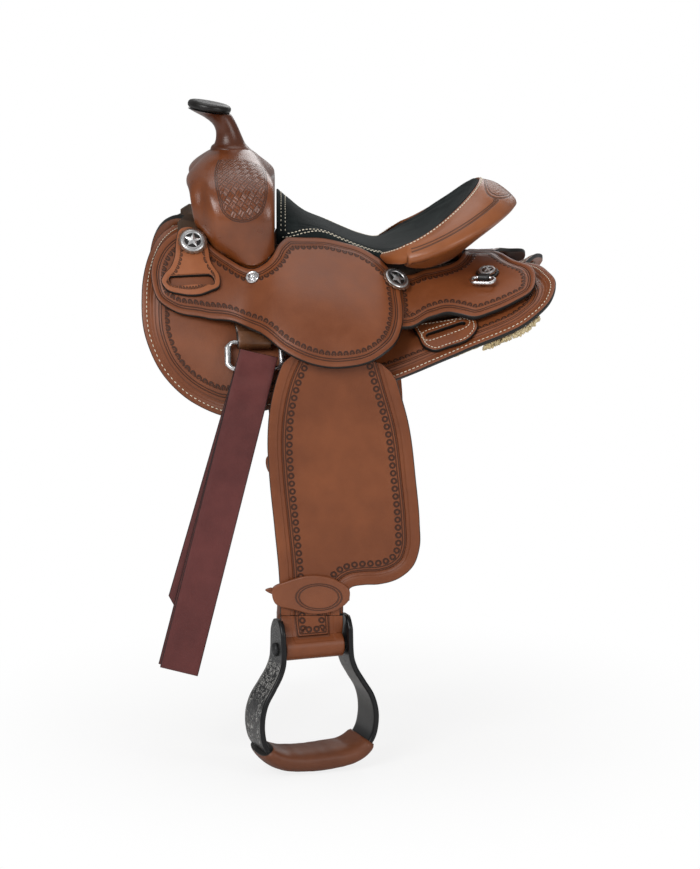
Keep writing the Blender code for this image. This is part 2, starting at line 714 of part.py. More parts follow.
def cantle_section(angle, skin):
    """Outer line of the cantle, rim to foot, moved inwards by a skin."""
    rim, out = rim_point(angle)
    part = max(math.cos(angle * 0.95), 0.0) ** 0.8
    wide = ROLL_END_WIDTH + (ROLL_WIDTH - ROLL_END_WIDTH) * part
    drop = ROLL_END_DROP + (ROLL_DROP - ROLL_END_DROP) * part
    foot = foot_point(angle)
    up = Vector((0, 0, 1))
    edge = rim + out * wide - up * drop
    crown = rim + out * wide * 0.5 - up * drop * 0.25
    under = edge - out * 0.0035 - up * 0.0065
    waist = under.lerp(foot, 0.55)
    return [rim + out * RIM_GAP - up * skin, crown - up * skin, edge - (out + up * 0.6) * skin,
            under - out * skin * 0.9 + up * skin * 0.3, waist - out * skin * 0.8 + up * skin * 0.6,
            foot - out * skin]


def build_cantle():
    """The cantle's leather cover with the rolled edge, and the core that it is drawn over."""
    angles = [math.radians(CANTLE_END_ANGLE * (number / 10 - 1)) for number in range(21)]
    rows = []
    for angle in angles:
        rows.append(cantle_section(angle, 0.0) + list(reversed(cantle_section(angle, COVER_LEATHER))))
    make("cantle_cover", ring_surface(rows, split=True), "swell_leather", sharp=50.0)
    rows = []
    for angle in angles[1:-1]:
        line = cantle_section(angle, COVER_LEATHER + TOUCH)
        inner = Vector((FOOT_CENTRE + (FOOT_LENGTH - 0.022) * math.cos(angle),
                        (FOOT_HALF_WIDTH - 0.014) * math.sin(angle), foot_point(angle).z))
        bed = []
        for part in (0.0, 0.25, 0.5, 0.75, 1.0):
            spot = inner.lerp(line[0], part)
            spot.z = seat_top(spot.x, spot.y) - SEAT_PAD - SEAT_BED_AIR
            bed.append(spot)
        rows.append(list(reversed(line + [inner] + bed)))
    make("cantle_core", ring_surface(rows, split=True), "wood")


def build_seat():
    """The padded seat and the ground seat that it is laid on."""
    bm = bmesh.new()
    face = bm.faces.new([bm.verts.new((point.x, point.y, 0.0)) for point in seat_outline()])
    bm.normal_update()
    if face.normal.z < 0:
        face.normal_flip()
    drops = {vert: SEAT_EDGE_DROPS[0][1] for vert in bm.verts}
    for (before, _), (here, drop) in zip(SEAT_EDGE_DROPS, SEAT_EDGE_DROPS[1:]):
        bmesh.ops.inset_region(bm, faces=[face], thickness=here - before, use_even_offset=True)
        drops.update({vert: drop for vert in face.verts})
    edge_drop = {(round(vert.co.x, 6), round(vert.co.y, 6)): drop for vert, drop in drops.items()}
    inside = [face] + list(face.edges) + list(face.verts)
    for normal in (Vector((1, 0, 0)), Vector((0, 1, 0))):
        for line in range(-9, 10):
            cut = bmesh.ops.bisect_plane(bm, geom=inside, plane_co=normal * line * SEAT_GRID, plane_no=normal,
                                         dist=1e-5)
            inside = cut["geom"]
    bmesh.ops.triangulate(bm, faces=bm.faces[:])

    def lay_pad(x, y, up):
        top = seat_top(x, y)
        return Vector((x, y, top - edge_drop.get((round(x, 6), round(y, 6)), 0.0) if up else top - SEAT_PAD))

    thicken(bm, lay_pad)
    make("seat_pad", bm, "suede", sharp=60.0)

    points = []
    for row in SEAT_STATIONS:
        if row[0] < FOOT_CENTRE - 0.002:
            points.append((row[0] + 0.004, min(row[2], 0.061) - 0.003))
    for degrees in (62, 40, 20, 0):
        angle = math.radians(degrees)
        points.append((FOOT_CENTRE + (FOOT_LENGTH - 0.024) * math.cos(angle),
                       (FOOT_HALF_WIDTH - 0.016) * math.sin(angle)))
    outline = [(x, -y) for x, y in points] + [(x, y) for x, y in reversed(points[:-1])]
    bm = flat_sheet(outline, SEAT_GRID)
    over_bars = level(BAR_THICKNESS + LAYER_AIR)

    def lay_ground(x, y, up):
        if up:
            return Vector((x, y, seat_top(x, y) - SEAT_PAD - SEAT_BED_AIR))
        return Vector((x, y, height_over_back(x, abs(y), over_bars)))

    thicken(bm, lay_ground)
    make("ground_seat", bm, "wood")


# Fork and horn

def fork_path():
    """Middle of the fork's arch as (across, up), foot to foot."""
    foot, lean = on_back(FORK_FOOT[0], FORK_FOOT[1], BAR_THICKNESS + FORK_FOOT_AIR, 1)
    low = Vector((foot.y, foot.z))
    rise = Vector((lean.y, lean.z))
    crest = FORK_TOP - FORK_THICKNESS / 2
    wide = FORK_HALF_WIDTH - FORK_THICKNESS / 2
    half = [low, low + rise * 0.007, Vector((wide - 0.001, 0.107)), Vector((wide, 0.131)),
            Vector((wide * 0.90, 0.151)), Vector((wide * 0.66, crest - 0.006)),
            Vector((wide * 0.34, crest - 0.0008)), Vector((0.0, crest))]
    return [Vector((-spot.x, spot.y)) for spot in half] + [spot.copy() for spot in reversed(half[:-1])]


def fork_ring(spot, along, part, skin):
    """One section of the fork: part runs from 0 at a foot to 1 at the crest."""
    front = smooth_value(FORK_PARTS, FORK_FRONTS, part)
    back = smooth_value(FORK_PARTS, FORK_BACKS, part)
    thick = smooth_value(FORK_PARTS, FORK_THICKNESSES, part)
    out = Vector((along.y, -along.x))
    centre = (front + back) / 2
    half_x, half_r = (back - front) / 2 - skin, thick / 2 - skin
    step = 0.004
    ahead = on_back(FORK_FOOT[0] + step, FORK_FOOT[1], BAR_THICKNESS, 1)[0]
    behind = on_back(FORK_FOOT[0] - step, FORK_FOOT[1], BAR_THICKNESS, 1)[0]
    shear = (ahead.z - behind.z) / (2 * step) * max(1.0 - part / 0.12, 0.0)
    ring = []
    for number in range(FORK_SIDES):
        angle = math.tau * number / FORK_SIDES
        cosine, sine = math.cos(angle), math.sin(angle)
        x = centre + half_x * math.copysign(abs(cosine) ** 0.75, cosine)
        radial = half_r * math.copysign(abs(sine) ** 0.75, sine)
        flat = spot + out * radial
        ring.append(Vector((x, flat.x, flat.y + shear * (x - FORK_FOOT[0]))))
    return ring


def build_fork():
    """Wooden fork and its leather cover."""
    path = fork_path()
    lengths = [0.0]
    for first, second in zip(path, path[1:]):
        lengths.append(lengths[-1] + (second - first).length)
    steps = FORK_STEPS
    spots = []
    for number in range(steps + 1):
        at = lengths[-1] * number / steps
        spots.append(Vector([smooth_value(lengths, [spot[axis] for spot in path], at) for axis in (0, 1)]))
    cover_out, cover_in, core = [], [], []
    for number, spot in enumerate(spots):
        before, after = spots[max(number - 1, 0)], spots[min(number + 1, steps)]
        along = -(after - before).normalized()
        part = min(number, steps - number) / (steps / 2)
        cover_out.append(fork_ring(spot, along, part, 0.0))
        cover_in.append(fork_ring(spot, along, part, COVER_LEATHER))
        core.append(fork_ring(spot, along, part, COVER_LEATHER + TOUCH))
    cover = make("fork_cover", shell_of_rings(cover_out, cover_in), "swell_leather", sharp=60.0)
    make("fork_core", ring_surface(core), "wood", sharp=60.0)
    base = horn_base()
    axis = horn_axis()
    hole = rod(base - axis * 0.014, base + axis * 0.02, HORN_CORE_RADIUS + TOUCH)
    combine(cover, cutter("horn_hole", hole))


def horn_axis():
    """Direction of the horn's neck, leaning forward."""
    return Vector((-math.sin(HORN_LEAN), 0.0, math.cos(HORN_LEAN)))


def horn_base():
    """Where the axis of the horn meets the crest of the fork."""
    return Vector((HORN_BASE_X, 0.0, FORK_TOP))


def horn_ring(radius, level_at, normal, sides=18):
    """Section of the horn's neck by the plane through a point on its axis."""
    axis = horn_axis()
    across = Vector((0.0, 1.0, 0.0))
    ahead = across.cross(axis)
    ring = []
    for number in range(sides):
        angle = math.tau * number / sides
        radial = (ahead * math.cos(angle) + across * math.sin(angle)) * radius
        ring.append(level_at + radial - axis * (radial.dot(normal) / axis.dot(normal)))
    return ring


def build_horn():
    """Steel post of the horn, its leather wrap and the cap."""
    axis, base, up = horn_axis(), horn_base(), Vector((0.0, 0.0, 1.0))
    cap_normal = Vector((math.sin(HORN_CAP_TILT), 0.0, math.cos(HORN_CAP_TILT)))
    reach = (HORN_CAP_CENTRE - base).dot(cap_normal) / axis.dot(cap_normal)
    top = base + axis * (reach - 0.001)
    foot = base + axis * (0.0008 / axis.z)
    core_foot = base + axis * ((TOUCH - COVER_LEATHER) / axis.z)
    core = [horn_ring(HORN_CORE_RADIUS, core_foot, up),
            horn_ring(HORN_CORE_RADIUS, top - cap_normal * TOUCH, cap_normal)]
    make("horn_core", ring_surface(core), "silver")
    outer, inner = [], []
    length = (top - foot).length
    for part, radius in HORN_PROFILE:
        normal = up.lerp(cap_normal, part).normalized()
        spot = foot + axis * length * part
        outer.append(horn_ring(radius, spot, normal))
        inner.append(horn_ring(HORN_CORE_RADIUS + TOUCH, spot, normal))
    make("horn_wrap", shell_of_rings(outer, inner), "swell_leather", sharp=50.0)
    radius, thick = HORN_CAP_RADIUS, HORN_CAP_THICKNESS
    cap = turned(((0, 0), (radius * 0.80, 0.0), (radius * 0.97, thick * 0.28), (radius, thick * 0.52),
                  (radius * 0.95, thick * 0.80), (radius * 0.84, thick), (0, thick)),
                 HORN_CAP_CENTRE, cap_normal, 28)
    make("horn_cap", cap, "black_leather")


# Hardware

def concho_mesh(spot, normal, radius, height):
    """Domed disc with a scalloped edge."""
    profile = ((0, 0), (radius * 0.94, 0), (radius, height * 0.38), (radius * 0.88, height * 0.64),
               (radius * 0.50, height * 0.92), (0, height))
    bm = turned(profile, (0, 0, 0), (0, 0, 1), CONCHO_LOBES * 2)
    for vert in bm.verts:
        if math.hypot(vert.co.x, vert.co.y) > radius * 0.92:
            wave = 1.0 - 0.030 * (1.0 + math.cos(math.atan2(vert.co.y, vert.co.x) * CONCHO_LOBES))
            vert.co.x *= wave
            vert.co.y *= wave
    turn = Vector((0, 0, 1)).rotation_difference(normal).to_matrix().to_4x4()
    bmesh.ops.transform(bm, matrix=Matrix.Translation(spot) @ turn, verts=bm.verts[:])
    return bm


def surface_frame(along, girth, side, height):
    """Point on a bent sheet, its outward normal, the downhill and the level direction."""
    step = 0.003
    spot = on_back(along, girth, height(along, girth), side)[0]
    ahead = (on_back(along + step, girth, height(along + step, girth), side)[0]
             - on_back(along - step, girth, height(along - step, girth), side)[0])
    down = (on_back(along, girth + step, height(along, girth + step), side)[0]
            - on_back(along, girth - step, height(along, girth - step), side)[0])
    normal = (ahead.cross(down) * side).normalized()
    level_way = (ahead - down * (ahead.z / down.z)).normalized()
    steep = normal.cross(level_way) * side
    return spot, normal, steep, level_way


def build_hardware():
    """Conchos, screws, and the rear ties with their loops."""
    for name, side in SIDES:
        spot, normal, _, _ = surface_frame(*SEAT_CONCHO_AT, side, lift)
        bm = concho_mesh(spot + normal * CONCHO_AIR, normal, CONCHO_RADIUS, CONCHO_HEIGHT)
        make("seat_concho_" + name, bm, "silver")
        spot, normal, _, _ = surface_frame(*SWELL_SCREW_AT, side, lift)
        radius = SCREW_RADIUS
        screw = turned(((0, 0), (radius, 0), (radius, 0.0010), (radius * 0.52, 0.0012), (radius * 0.46, 0.0026),
                        (radius * 0.24, 0.0036), (0, 0.0038)), spot + normal * SCREW_AIR, normal, 16)
        make("swell_screw_" + name, screw, "silver")
        build_rear_tie(name, side)


def build_rear_tie(name, side):
    """Concho over a leather tie whose end holds a slotted metal loop."""
    spot, normal, down, across = surface_frame(*REAR_CONCHO_AT, side, lift)
    base = spot + normal * CONCHO_AIR
    wire, leather = REAR_LOOP_WIRE, REAR_TIE_LEATHER
    turn_radius = wire + TOUCH + leather / 2
    reach = REAR_ROSETTE_RADIUS + 0.004
    low = leather / 2 + TOUCH
    line = [Vector((-0.004, low)), Vector((reach - 0.006, low))]
    line += arc((reach, turn_radius + low), turn_radius, -90, 90, 6)
    line += [Vector((reach - 0.0035, turn_radius * 2 + low - 0.0006))]

    def lay(width, flat):
        return base + across * width + down * flat.x + normal * flat.y

    half = REAR_TIE_WIDTH / 2
    tie = make("rear_tie_" + name, band(line, leather, lay, -half, half), "black_leather")
    thick = REAR_ROSETTE_THICKNESS
    wide = REAR_ROSETTE_RADIUS
    disc = turned(((0, 0), (wide, 0), (wide, thick), (0, thick)), base, normal, 20)
    combine(tie, cutter("rosette_" + name, disc), "UNION")
    concho = concho_mesh(base + normal * (thick + TOUCH), normal, REAR_CONCHO_RADIUS, CONCHO_HEIGHT * 0.8)
    make("rear_concho_" + name, concho, "silver")

    pivot = base + down * reach + normal * (turn_radius + low)
    half = REAR_LOOP_LENGTH / 2 - REAR_LOOP_WIDTH / 2
    drop = REAR_LOOP_WIDTH / 2 - wire
    path = stadium((-half, drop), (half, drop), REAR_LOOP_WIDTH - 2 * wire, 5)
    bm = wire_loop(path, wire, lambda a, b, c: pivot + across * a + down * b + normal * c)
    make("rear_loop_" + name, bm, "silver", pivot=pivot)


def keeper_top(along, girth):
    """Outer face of the latigo keeper, which lies on the seat jockey."""
    return lift(along, girth) + LAYER_AIR + KEEPER_LEATHER


def build_keepers():
    """Latigo keepers: slotted tabs, each held by the front concho."""
    outline = curve_through(KEEPER_OUTLINE, step=0.009)
    slot = stadium(KEEPER_SLOT_START, KEEPER_SLOT_END, KEEPER_SLOT_WIDTH, 6)
    for name, side in SIDES:
        bm = back_sheet(outline, lambda x, g: lift(x, g) + LAYER_AIR, keeper_top, side)
        obj = make("latigo_keeper_" + name, bm, "skirting")
        cut = back_sheet(slot, lambda x, g: lift(x, g), lambda x, g: keeper_top(x, g) + LAYER_AIR, side)
        combine(obj, cutter("keeper_cutter_" + name, cut))
        spot, normal, _, _ = surface_frame(*FRONT_CONCHO_AT, side, keeper_top)
        concho = concho_mesh(spot + normal * CONCHO_AIR, normal, CONCHO_RADIUS, CONCHO_HEIGHT)
        make("front_concho_" + name, concho, "silver")


# Rigging

def build_rigging():
    """Rigging straps, dees, and the latigo on the near side."""
    height = LAYER_AIR + STRAP_LEATHER + DEE_AIR + DEE_WIRE
    radius = DEE_WIRE + DEE_AIR + STRAP_LEATHER / 2
    run = DEE_GIRTH - RIGGING_STRAP_TOP
    line = [Vector((-run, -radius)), Vector((-run / 2, -radius))] + arc((0, 0), radius, -90, 90, 8)
    line += [Vector((-0.005, radius)), Vector((-0.009, radius - 0.0010))]
    half = RIGGING_STRAP_WIDTH / 2
    for name, side in SIDES:
        spot, normal, down, across = surface_frame(RIGGING_X, DEE_GIRTH, side, level(height))
        ahead = on_back(RIGGING_X + GRID, DEE_GIRTH, height, side)[0] - spot
        lower = on_back(RIGGING_X, DEE_GIRTH + GRID, height, side)[0] - spot
        slant = math.atan2(ahead.z, -lower.z)

        def lay(width, flat, side=side, slant=slant, spot=spot, frame=(across, down, normal)):
            along = RIGGING_X + width * math.cos(slant) - flat.x * math.sin(slant)
            girth = DEE_GIRTH + width * math.sin(slant) + flat.x * math.cos(slant)
            straight = spot + frame[0] * width + frame[1] * flat.x + frame[2] * flat.y
            bent = on_back(along, girth, height + flat.y, side)[0]
            return straight.lerp(bent, min(max(-flat.x / run, 0.0), 1.0))

        make("rigging_strap_" + name, band(line, STRAP_LEATHER, lay, -half, half, 3), "swell_leather")

        wide = DEE_WIDTH / 2
        path = [Vector((-wide + DEE_CORNER, 0.0)), Vector((0.0, 0.0)), Vector((wide - DEE_CORNER, 0.0))]
        path += arc((wide - DEE_CORNER, DEE_CORNER), DEE_CORNER, -90, 0, 2)[1:]
        path += arc((wide - DEE_HEEL, DEE_DROP - DEE_HEEL), DEE_HEEL, 0, 90, 4) + [Vector((0.0, DEE_DROP))]
        path += arc((-wide + DEE_HEEL, DEE_DROP - DEE_HEEL), DEE_HEEL, 90, 180, 4)
        path += arc((-wide + DEE_CORNER, DEE_CORNER), DEE_CORNER, 180, 270, 2)[:-1]
        bm = wire_loop(path, DEE_WIRE, lambda a, b, c: spot + across * a + down * b + normal * c)
        dee = make("rigging_dee_" + name, bm, "silver", pivot=spot)
        if side < 0:
            build_latigo(spot + down * DEE_DROP, across, dee)


def skirt_reach(along, up):
    """How far out the skirt's outer face is at a height."""
    low, high = 0.0, SKIRT_BOTTOM_GIRTH
    for _ in range(30):
        middle = (low + high) / 2
        if on_back(along, middle, 0.0, 1)[0].z > up:
            low = middle
        else:
            high = middle
    return on_back(along, low, 0.0, 1)[0].y


def build_latigo(bar, bar_way, dee):
    """Near latigo: over the dee's lower bar, down, and folded up again outside."""
    long = Vector((-math.sin(LATIGO_TILT), 0.0, -math.cos(LATIGO_TILT)))
    wide = Vector((math.cos(LATIGO_TILT), 0.0, -math.sin(LATIGO_TILT)))
    top = Vector((LATIGO_TOP[0], 0.0, LATIGO_TOP[1]))
    half, leather = LATIGO_WIDTH / 2, LATIGO_LEATHER
    radius = DEE_WIRE + DEE_AIR + leather / 2
    layer = leather + LAYER_AIR
    bar_at = (top.z - bar.z) / -long.z
    skew = bar_way.y / bar_way.x

    def clear_of_skirt(s):
        reach = 0.0
        for part in (-1.0, 0.0, 1.0):
            spot = top + long * s + wide * half * part
            reach = max(reach, skirt_reach(spot.x, spot.z))
        return reach + LATIGO_AIR + leather / 2

    hang = max(clear_of_skirt(bar_at + step) for step in (0.030, 0.045, 0.060))
    bar_in = -bar.y - radius

    def rear_out(s):
        part = min(max((s - bar_at) / LATIGO_EASE, 0.0), 1.0)
        return bar_in + (hang - bar_in) * math.sin(part * math.pi / 2)

    stops = [bar_at + LATIGO_EASE * part for part in (1.0, 0.75, 0.5, 0.3, 0.12)]
    end = LATIGO_LENGTH
    line = [(LATIGO_TAIL_LENGTH, hang, 0), ((stops[0] + LATIGO_TAIL_LENGTH) / 2, hang, 0)]
    line += [(s, rear_out(s), 0) for s in stops]
    line += [(bar_at - radius * math.sin(math.radians(a)), -bar.y - radius * math.cos(math.radians(a)), 0)
             for a in range(0, 181, 30)]
    step_out = 2 * radius - layer
    skewed = Vector((1.0 / math.cos(LATIGO_TILT), 0.0, 0.0))

    def middle_out(s):
        part = min(max((s - bar_at) / LATIGO_PINCH, 0.0), 1.0)
        return rear_out(s) + layer + step_out * (1.0 + math.cos(math.pi * part)) / 2

    line += [(s, middle_out(s), 1) for s in reversed(stops)]
    line += [((stops[0] + end) / 2, hang + layer, 1), (end, hang + layer, 1)]
    centre = hang + layer * 1.5
    line += [(end + layer / 2 * math.sin(math.radians(a)), centre - layer / 2 * math.cos(math.radians(a)), 2)
             for a in (36, 72, 108, 144)]
    line += [(end, hang + 2 * layer, 2), ((stops[0] + end) / 2, hang + 2 * layer, 2)]
    front_air = 1.5 * LATIGO_AIR
    line += [(s, middle_out(s) + layer + front_air * (1.0 - (s - bar_at) / LATIGO_EASE), 2) for s in stops]
    front_out = middle_out(bar_at) + layer + front_air
    line += [(bar_at - 0.006, front_out, 2), (0.0, front_out, 2)]

    shifts = (-LATIGO_TAIL_SHIFT / LATIGO_TAIL_LENGTH, -LATIGO_MIDDLE_SHIFT / end, 0.0)
    rings = []
    for index, (s, out, layer_number) in enumerate(line):
        before, after = line[max(index - 1, 0)], line[min(index + 1, len(line) - 1)]
        way = Vector((after[0] - before[0], after[1] - before[1])).normalized()
        across = Vector((-way.y, way.x)) * leather / 2
        shift = shifts[layer_number] * max(s - bar_at, 0.0)
        ring = []
        for width, sign in ((-half, 1), (half, 1), (half, -1), (-half, -1)):
            twist = max(1.0 - max(s - bar_at, 0.0) / LATIGO_EASE, 0.0)
            way_over = wide.lerp(skewed, twist if layer_number < 2 else 0.0)
            spot = top + long * (s + across.x * sign) + way_over * width + wide * shift
            spot.y = -(out + across.y * sign) + skew * (spot.x - bar.x) * twist
            ring.append(spot)
        rings.append(ring)
    make("latigo", ring_surface(rings), "latigo", pivot=bar, parent=dee)


# Fenders and stirrups

def build_fenders():
    """Stirrup leathers, fenders, their inner tails, buckles, hobble straps and stirrups."""
    thick = FENDER_LEATHER
    middle = FENDER_Y + thick / 2
    half = LEATHER_WIDTH / 2
    for name, side in SIDES:
        rise = HOLE_SPACING * OFF_HOLES_SHORTER if side > 0 else 0.0
        forward = OFF_FORWARD if side > 0 else 0.0
        pivot = Vector((LEATHER_X - forward, side * (FENDER_Y - 0.030), LEATHER_PIVOT_Z))
        line = [Vector((FENDER_Y - 0.036, LEATHER_PIVOT_Z + 0.006)),
                Vector((FENDER_Y - 0.027, LEATHER_PIVOT_Z + 0.0045)),
                Vector((FENDER_Y - 0.016, LEATHER_PIVOT_Z - 0.001)),
                Vector((middle - 0.0065, FENDER_TOP + 0.0115)),
                Vector((middle, FENDER_TOP + FENDER_HINGE_RISE + TOUCH))]

        def lay(width, flat, side=side, pivot=pivot):
            return Vector((pivot.x + width, side * flat.x, flat.y))

        bm = band(line, thick, lay, -half, half)
        upper = make("stirrup_leather_" + name, bm, "skirting", pivot=pivot)
        hinge = Vector((pivot.x, side * middle, FENDER_TOP + FENDER_HINGE_RISE))
        outline = []
        for x, z in curve_through(FENDER_OUTLINE, step=0.016):
            part = min(max((FENDER_SHOULDER - z) / FENDER_SQUEEZE, 0.0), 1.0)
            outline.append((x - forward, z + rise * part))
        bm = upright_plate(outline, FENDER_Y, thick, side, FENDER_TOP)
        fender = make("fender_" + name, bm, "skirting", pivot=hinge, parent=upper)
        neck = Vector((NECK_CENTRE - forward, rise))
        left, right = neck.x - NECK_WIDTH / 2, neck.x + NECK_WIDTH / 2
        tail = [(left, TAIL_TOP + rise), (right, TAIL_TOP + rise),
                (right, NECK_END + rise), (left, NECK_END + rise)]
        bm = upright_plate(tail, FENDER_Y - TOUCH - thick, thick, side, FENDER_TOP)
        make("leather_tail_" + name, bm, "skirting", pivot=hinge, parent=fender)
        build_buckle(name, side, neck, hinge, fender)
        build_hobble(name, side, neck, hinge, fender)
        build_stirrup(name, side, neck, fender)


def build_buckle(name, side, neck, hinge, fender):
    """Flat steel buckle plate behind the inner tail of the leather."""
    y_inner = FENDER_Y - 2 * TOUCH - FENDER_LEATHER - BUCKLE_THICKNESS
    corner = 0.006
    half_x, half_z = BUCKLE_WIDTH / 2 - corner, BUCKLE_HEIGHT / 2 - corner
    outline = []
    for x, z, start in ((1, 1, 0), (-1, 1, 90), (-1, -1, 180), (1, -1, 270)):
        centre = (neck.x + x * half_x, BUCKLE_Z + neck.y + z * half_z)
        outline += arc(centre, corner, start, start + 90, 3)
    bm = upright_plate(outline, y_inner, BUCKLE_THICKNESS, side, FENDER_TOP)
    make("leather_buckle_" + name, bm, "silver", pivot=hinge, parent=fender)


def build_hobble(name, side, neck, hinge, fender):
    """Hobble strap: a shaped face in front of the neck and a band round the back of it."""
    face_in = FENDER_Y + FENDER_LEATHER + TOUCH
    outline = [(point[0] + neck.x - NECK_CENTRE, point[1] + neck.y)
               for point in curve_through(HOBBLE_OUTLINE, step=0.010)]
    bm = upright_plate(outline, face_in, HOBBLE_LEATHER, side, FENDER_TOP)
    strap = make("hobble_strap_" + name, bm, "skirting", pivot=hinge, parent=fender)
    left = neck.x - NECK_WIDTH / 2 - HOBBLE_AIR
    right = neck.x + NECK_WIDTH / 2 + HOBBLE_AIR
    back = FENDER_Y - 2 * TOUCH - FENDER_LEATHER
    leather = HOBBLE_LEATHER
    low = HOBBLE_BAND_Z - HOBBLE_BAND_HEIGHT / 2 + neck.y
    front = face_in + leather * 0.5
    band_line = ((left - leather, back - leather), (right + leather, back - leather), (right + leather, front),
                 (right, front), (right, back), (left, back), (left, front), (left - leather, front))
    bm = flat_sheet(band_line, 1.0)
    thicken(bm, lambda x, y, up: Vector((x, side * y, low + HOBBLE_BAND_HEIGHT * up)))
    combine(strap, cutter("hobble_band_" + name, bm), "UNION")


def stirrup_line(step):
    """Middle of the stirrup's metal, from one top end down round the tread to the other."""
    narrow = STIRRUP_TOP_WIDTH / 2 + STIRRUP_METAL / 2
    right = [(narrow + wider, height) for wider, height in STIRRUP_HALF]
    tread = [(narrow * 0.55, -TREAD_DROP + 0.001), (0.0, -TREAD_DROP)]
    left = [(-x, z) for x, z in reversed(right + tread[:1])]
    return curve_through(right + tread + left, step=step, closed=False)


def build_stirrup(name, side, neck, fender):
    """Turning end of the leather, sleeve, bolt, stirrup and wrapped tread."""
    turn = NEAR_TURN if side < 0 else OFF_TURN
    axis = Vector((neck.x, side * (FENDER_Y - TOUCH / 2), LOOP_CENTRE_Z + neck.y))
    spin = Matrix.Rotation(turn, 4, "Z")
    pitch = FENDER_LEATHER + TOUCH

    def world(a, b, z):
        flat = spin @ Vector((a, side * b, 0.0))
        return Vector((axis.x + flat.x, axis.y + flat.y, axis.z + z))

    radius = SLEEVE_RADIUS + TOUCH + FENDER_LEATHER / 2
    top = NECK_END - TOUCH * 2 - LOOP_CENTRE_Z
    half = STIRRUP_TOP_WIDTH / 2 - LOOP_SIDE_AIR
    line = [Vector((pitch / 2, top)), Vector((pitch / 2, top - 0.012))]
    line += arc((0, 0), radius, 58, -238, 16)
    line += [Vector((-pitch / 2, top - 0.012)), Vector((-pitch / 2, top))]
    bm = band(line, FENDER_LEATHER, lambda a, flat: world(a, flat.x, flat.y), -half, half)
    turning = (axis.x, axis.y, NECK_END + neck.y)
    loop = make("leather_loop_" + name, bm, "skirting", pivot=turning, parent=fender)

    def stirrup_place(width, flat):
        crown = STIRRUP_HALF[0][1]
        part = min(max((crown - flat.y) / (crown + TREAD_DROP * 0.6), 0.0), 1.0)
        depth = STIRRUP_DEPTH_TOP + (STIRRUP_DEPTH - STIRRUP_DEPTH_TOP) * part
        if flat.y > STIRRUP_SHOULDER:
            depth += (STIRRUP_DEPTH_CROWN - depth) * (flat.y - STIRRUP_SHOULDER) / (crown - STIRRUP_SHOULDER)
        return world(flat.x, width * depth, flat.y)

    bm = band(stirrup_line(STIRRUP_STEP), STIRRUP_METAL, stirrup_place, -0.5, 0.5)
    stirrup = make("stirrup_" + name, bm, "aluminium", pivot=axis, parent=loop)
    reach = STIRRUP_TOP_WIDTH / 2 + STIRRUP_METAL
    hole = rod(world(-reach - 0.004, 0, 0), world(reach + 0.004, 0, 0), BOLT_RADIUS + TOUCH, 16)
    combine(stirrup, cutter("bolt_hole_" + name, hole))

    nut_top = reach + TOUCH + NUT_THICKNESS
    half = [(0, nut_top), (NUT_RADIUS * 0.8, nut_top), (NUT_RADIUS, nut_top - 0.001),
            (NUT_RADIUS, reach + TOUCH), (BOLT_RADIUS, reach + TOUCH)]
    profile = [(radius, -height) for radius, height in half] + list(reversed(half))
    across = spin @ Vector((1, 0, 0))
    make("stirrup_bolt_" + name, turned(profile, axis, across, 16), "silver", pivot=axis, parent=stirrup)
    length = STIRRUP_TOP_WIDTH / 2 - TOUCH
    bore = BOLT_RADIUS + TOUCH
    sleeve = turned(((bore, -length), (SLEEVE_RADIUS, -length), (SLEEVE_RADIUS, length), (bore, length),
                     (bore, -length)), axis, across, 16)
    make("bolt_sleeve_" + name, sleeve, "nylon", pivot=axis, parent=loop)
    build_tread(name, world, axis, stirrup)


def rounded_rectangle(half_wide, half_high, radius):
    """Points round a rectangle with rounded corners, three to a corner."""
    points = []
    for x, y, start in ((1, 1, 0), (-1, 1, 90), (-1, -1, 180), (1, -1, 270)):
        centre = (x * (half_wide - radius), y * (half_high - radius))
        points += arc(centre, radius, start, start + 90, 2)
    return points


def build_tread(name, world, axis, stirrup):
    """Leather wrapped round the tread of the stirrup, up to where the branches rise."""
    line = stirrup_line(STIRRUP_STEP)
    wrapped = [index for index, spot in enumerate(line) if spot.y < TREAD_WRAP_TOP]
    last = len(wrapped) - 1
    outer, inner = [], []
    for index, number in enumerate(wrapped):
        spot = line[number]
        along = (line[number + 1] - line[number - 1]).normalized()
        up = Vector((-along.y, along.x))
        full = 1.0 - 0.26 * abs(2 * index / last - 1.0) ** 3
        sections = ((outer, (STIRRUP_DEPTH / 2 + TREAD_WRAP_EDGE) * (0.80 + 0.20 * full),
                     TREAD_WRAP_THICKNESS / 2 * full, TREAD_WRAP_THICKNESS / 2 * full * 0.85),
                    (inner, STIRRUP_DEPTH / 2 + TREAD_AIR, STIRRUP_METAL / 2 + TREAD_AIR, 0.001))
        for rings, half_y, half_z, corner in sections:
            rings.append([world(spot.x + up.x * point.y, point.x, spot.y + up.y * point.y)
                          for point in rounded_rectangle(half_y, half_z, corner)])
    make("tread_wrap_" + name, shell_of_rings(outer, inner), "skirting", pivot=axis, parent=stirrup, sharp=50.0)


def main():
    """Build the saddle from the pony's back outwards."""
    clear_scene()
    build_skirts()
    build_seat()
    build_cantle()
    build_fork()
    build_horn()
    build_jockeys()
    build_hardware()
    build_keepers()
    build_rigging()
    build_fenders()


main()
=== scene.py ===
"""Looks of a pony saddle in the western pattern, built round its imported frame.

Metres, +Z up, in the frame's own axes: the horn points to -X and the near side is -Y. Leather that
lies on the pony is laid out flat as (x, girth) and bent over the back, as its solids are.
"""

import logging
import math
import random
from dataclasses import dataclass, field
from enum import Enum
from typing import Callable, Iterable, Sequence

import bmesh
import bpy
from mathutils import Matrix, Vector, noise
from mathutils.kdtree import KDTree

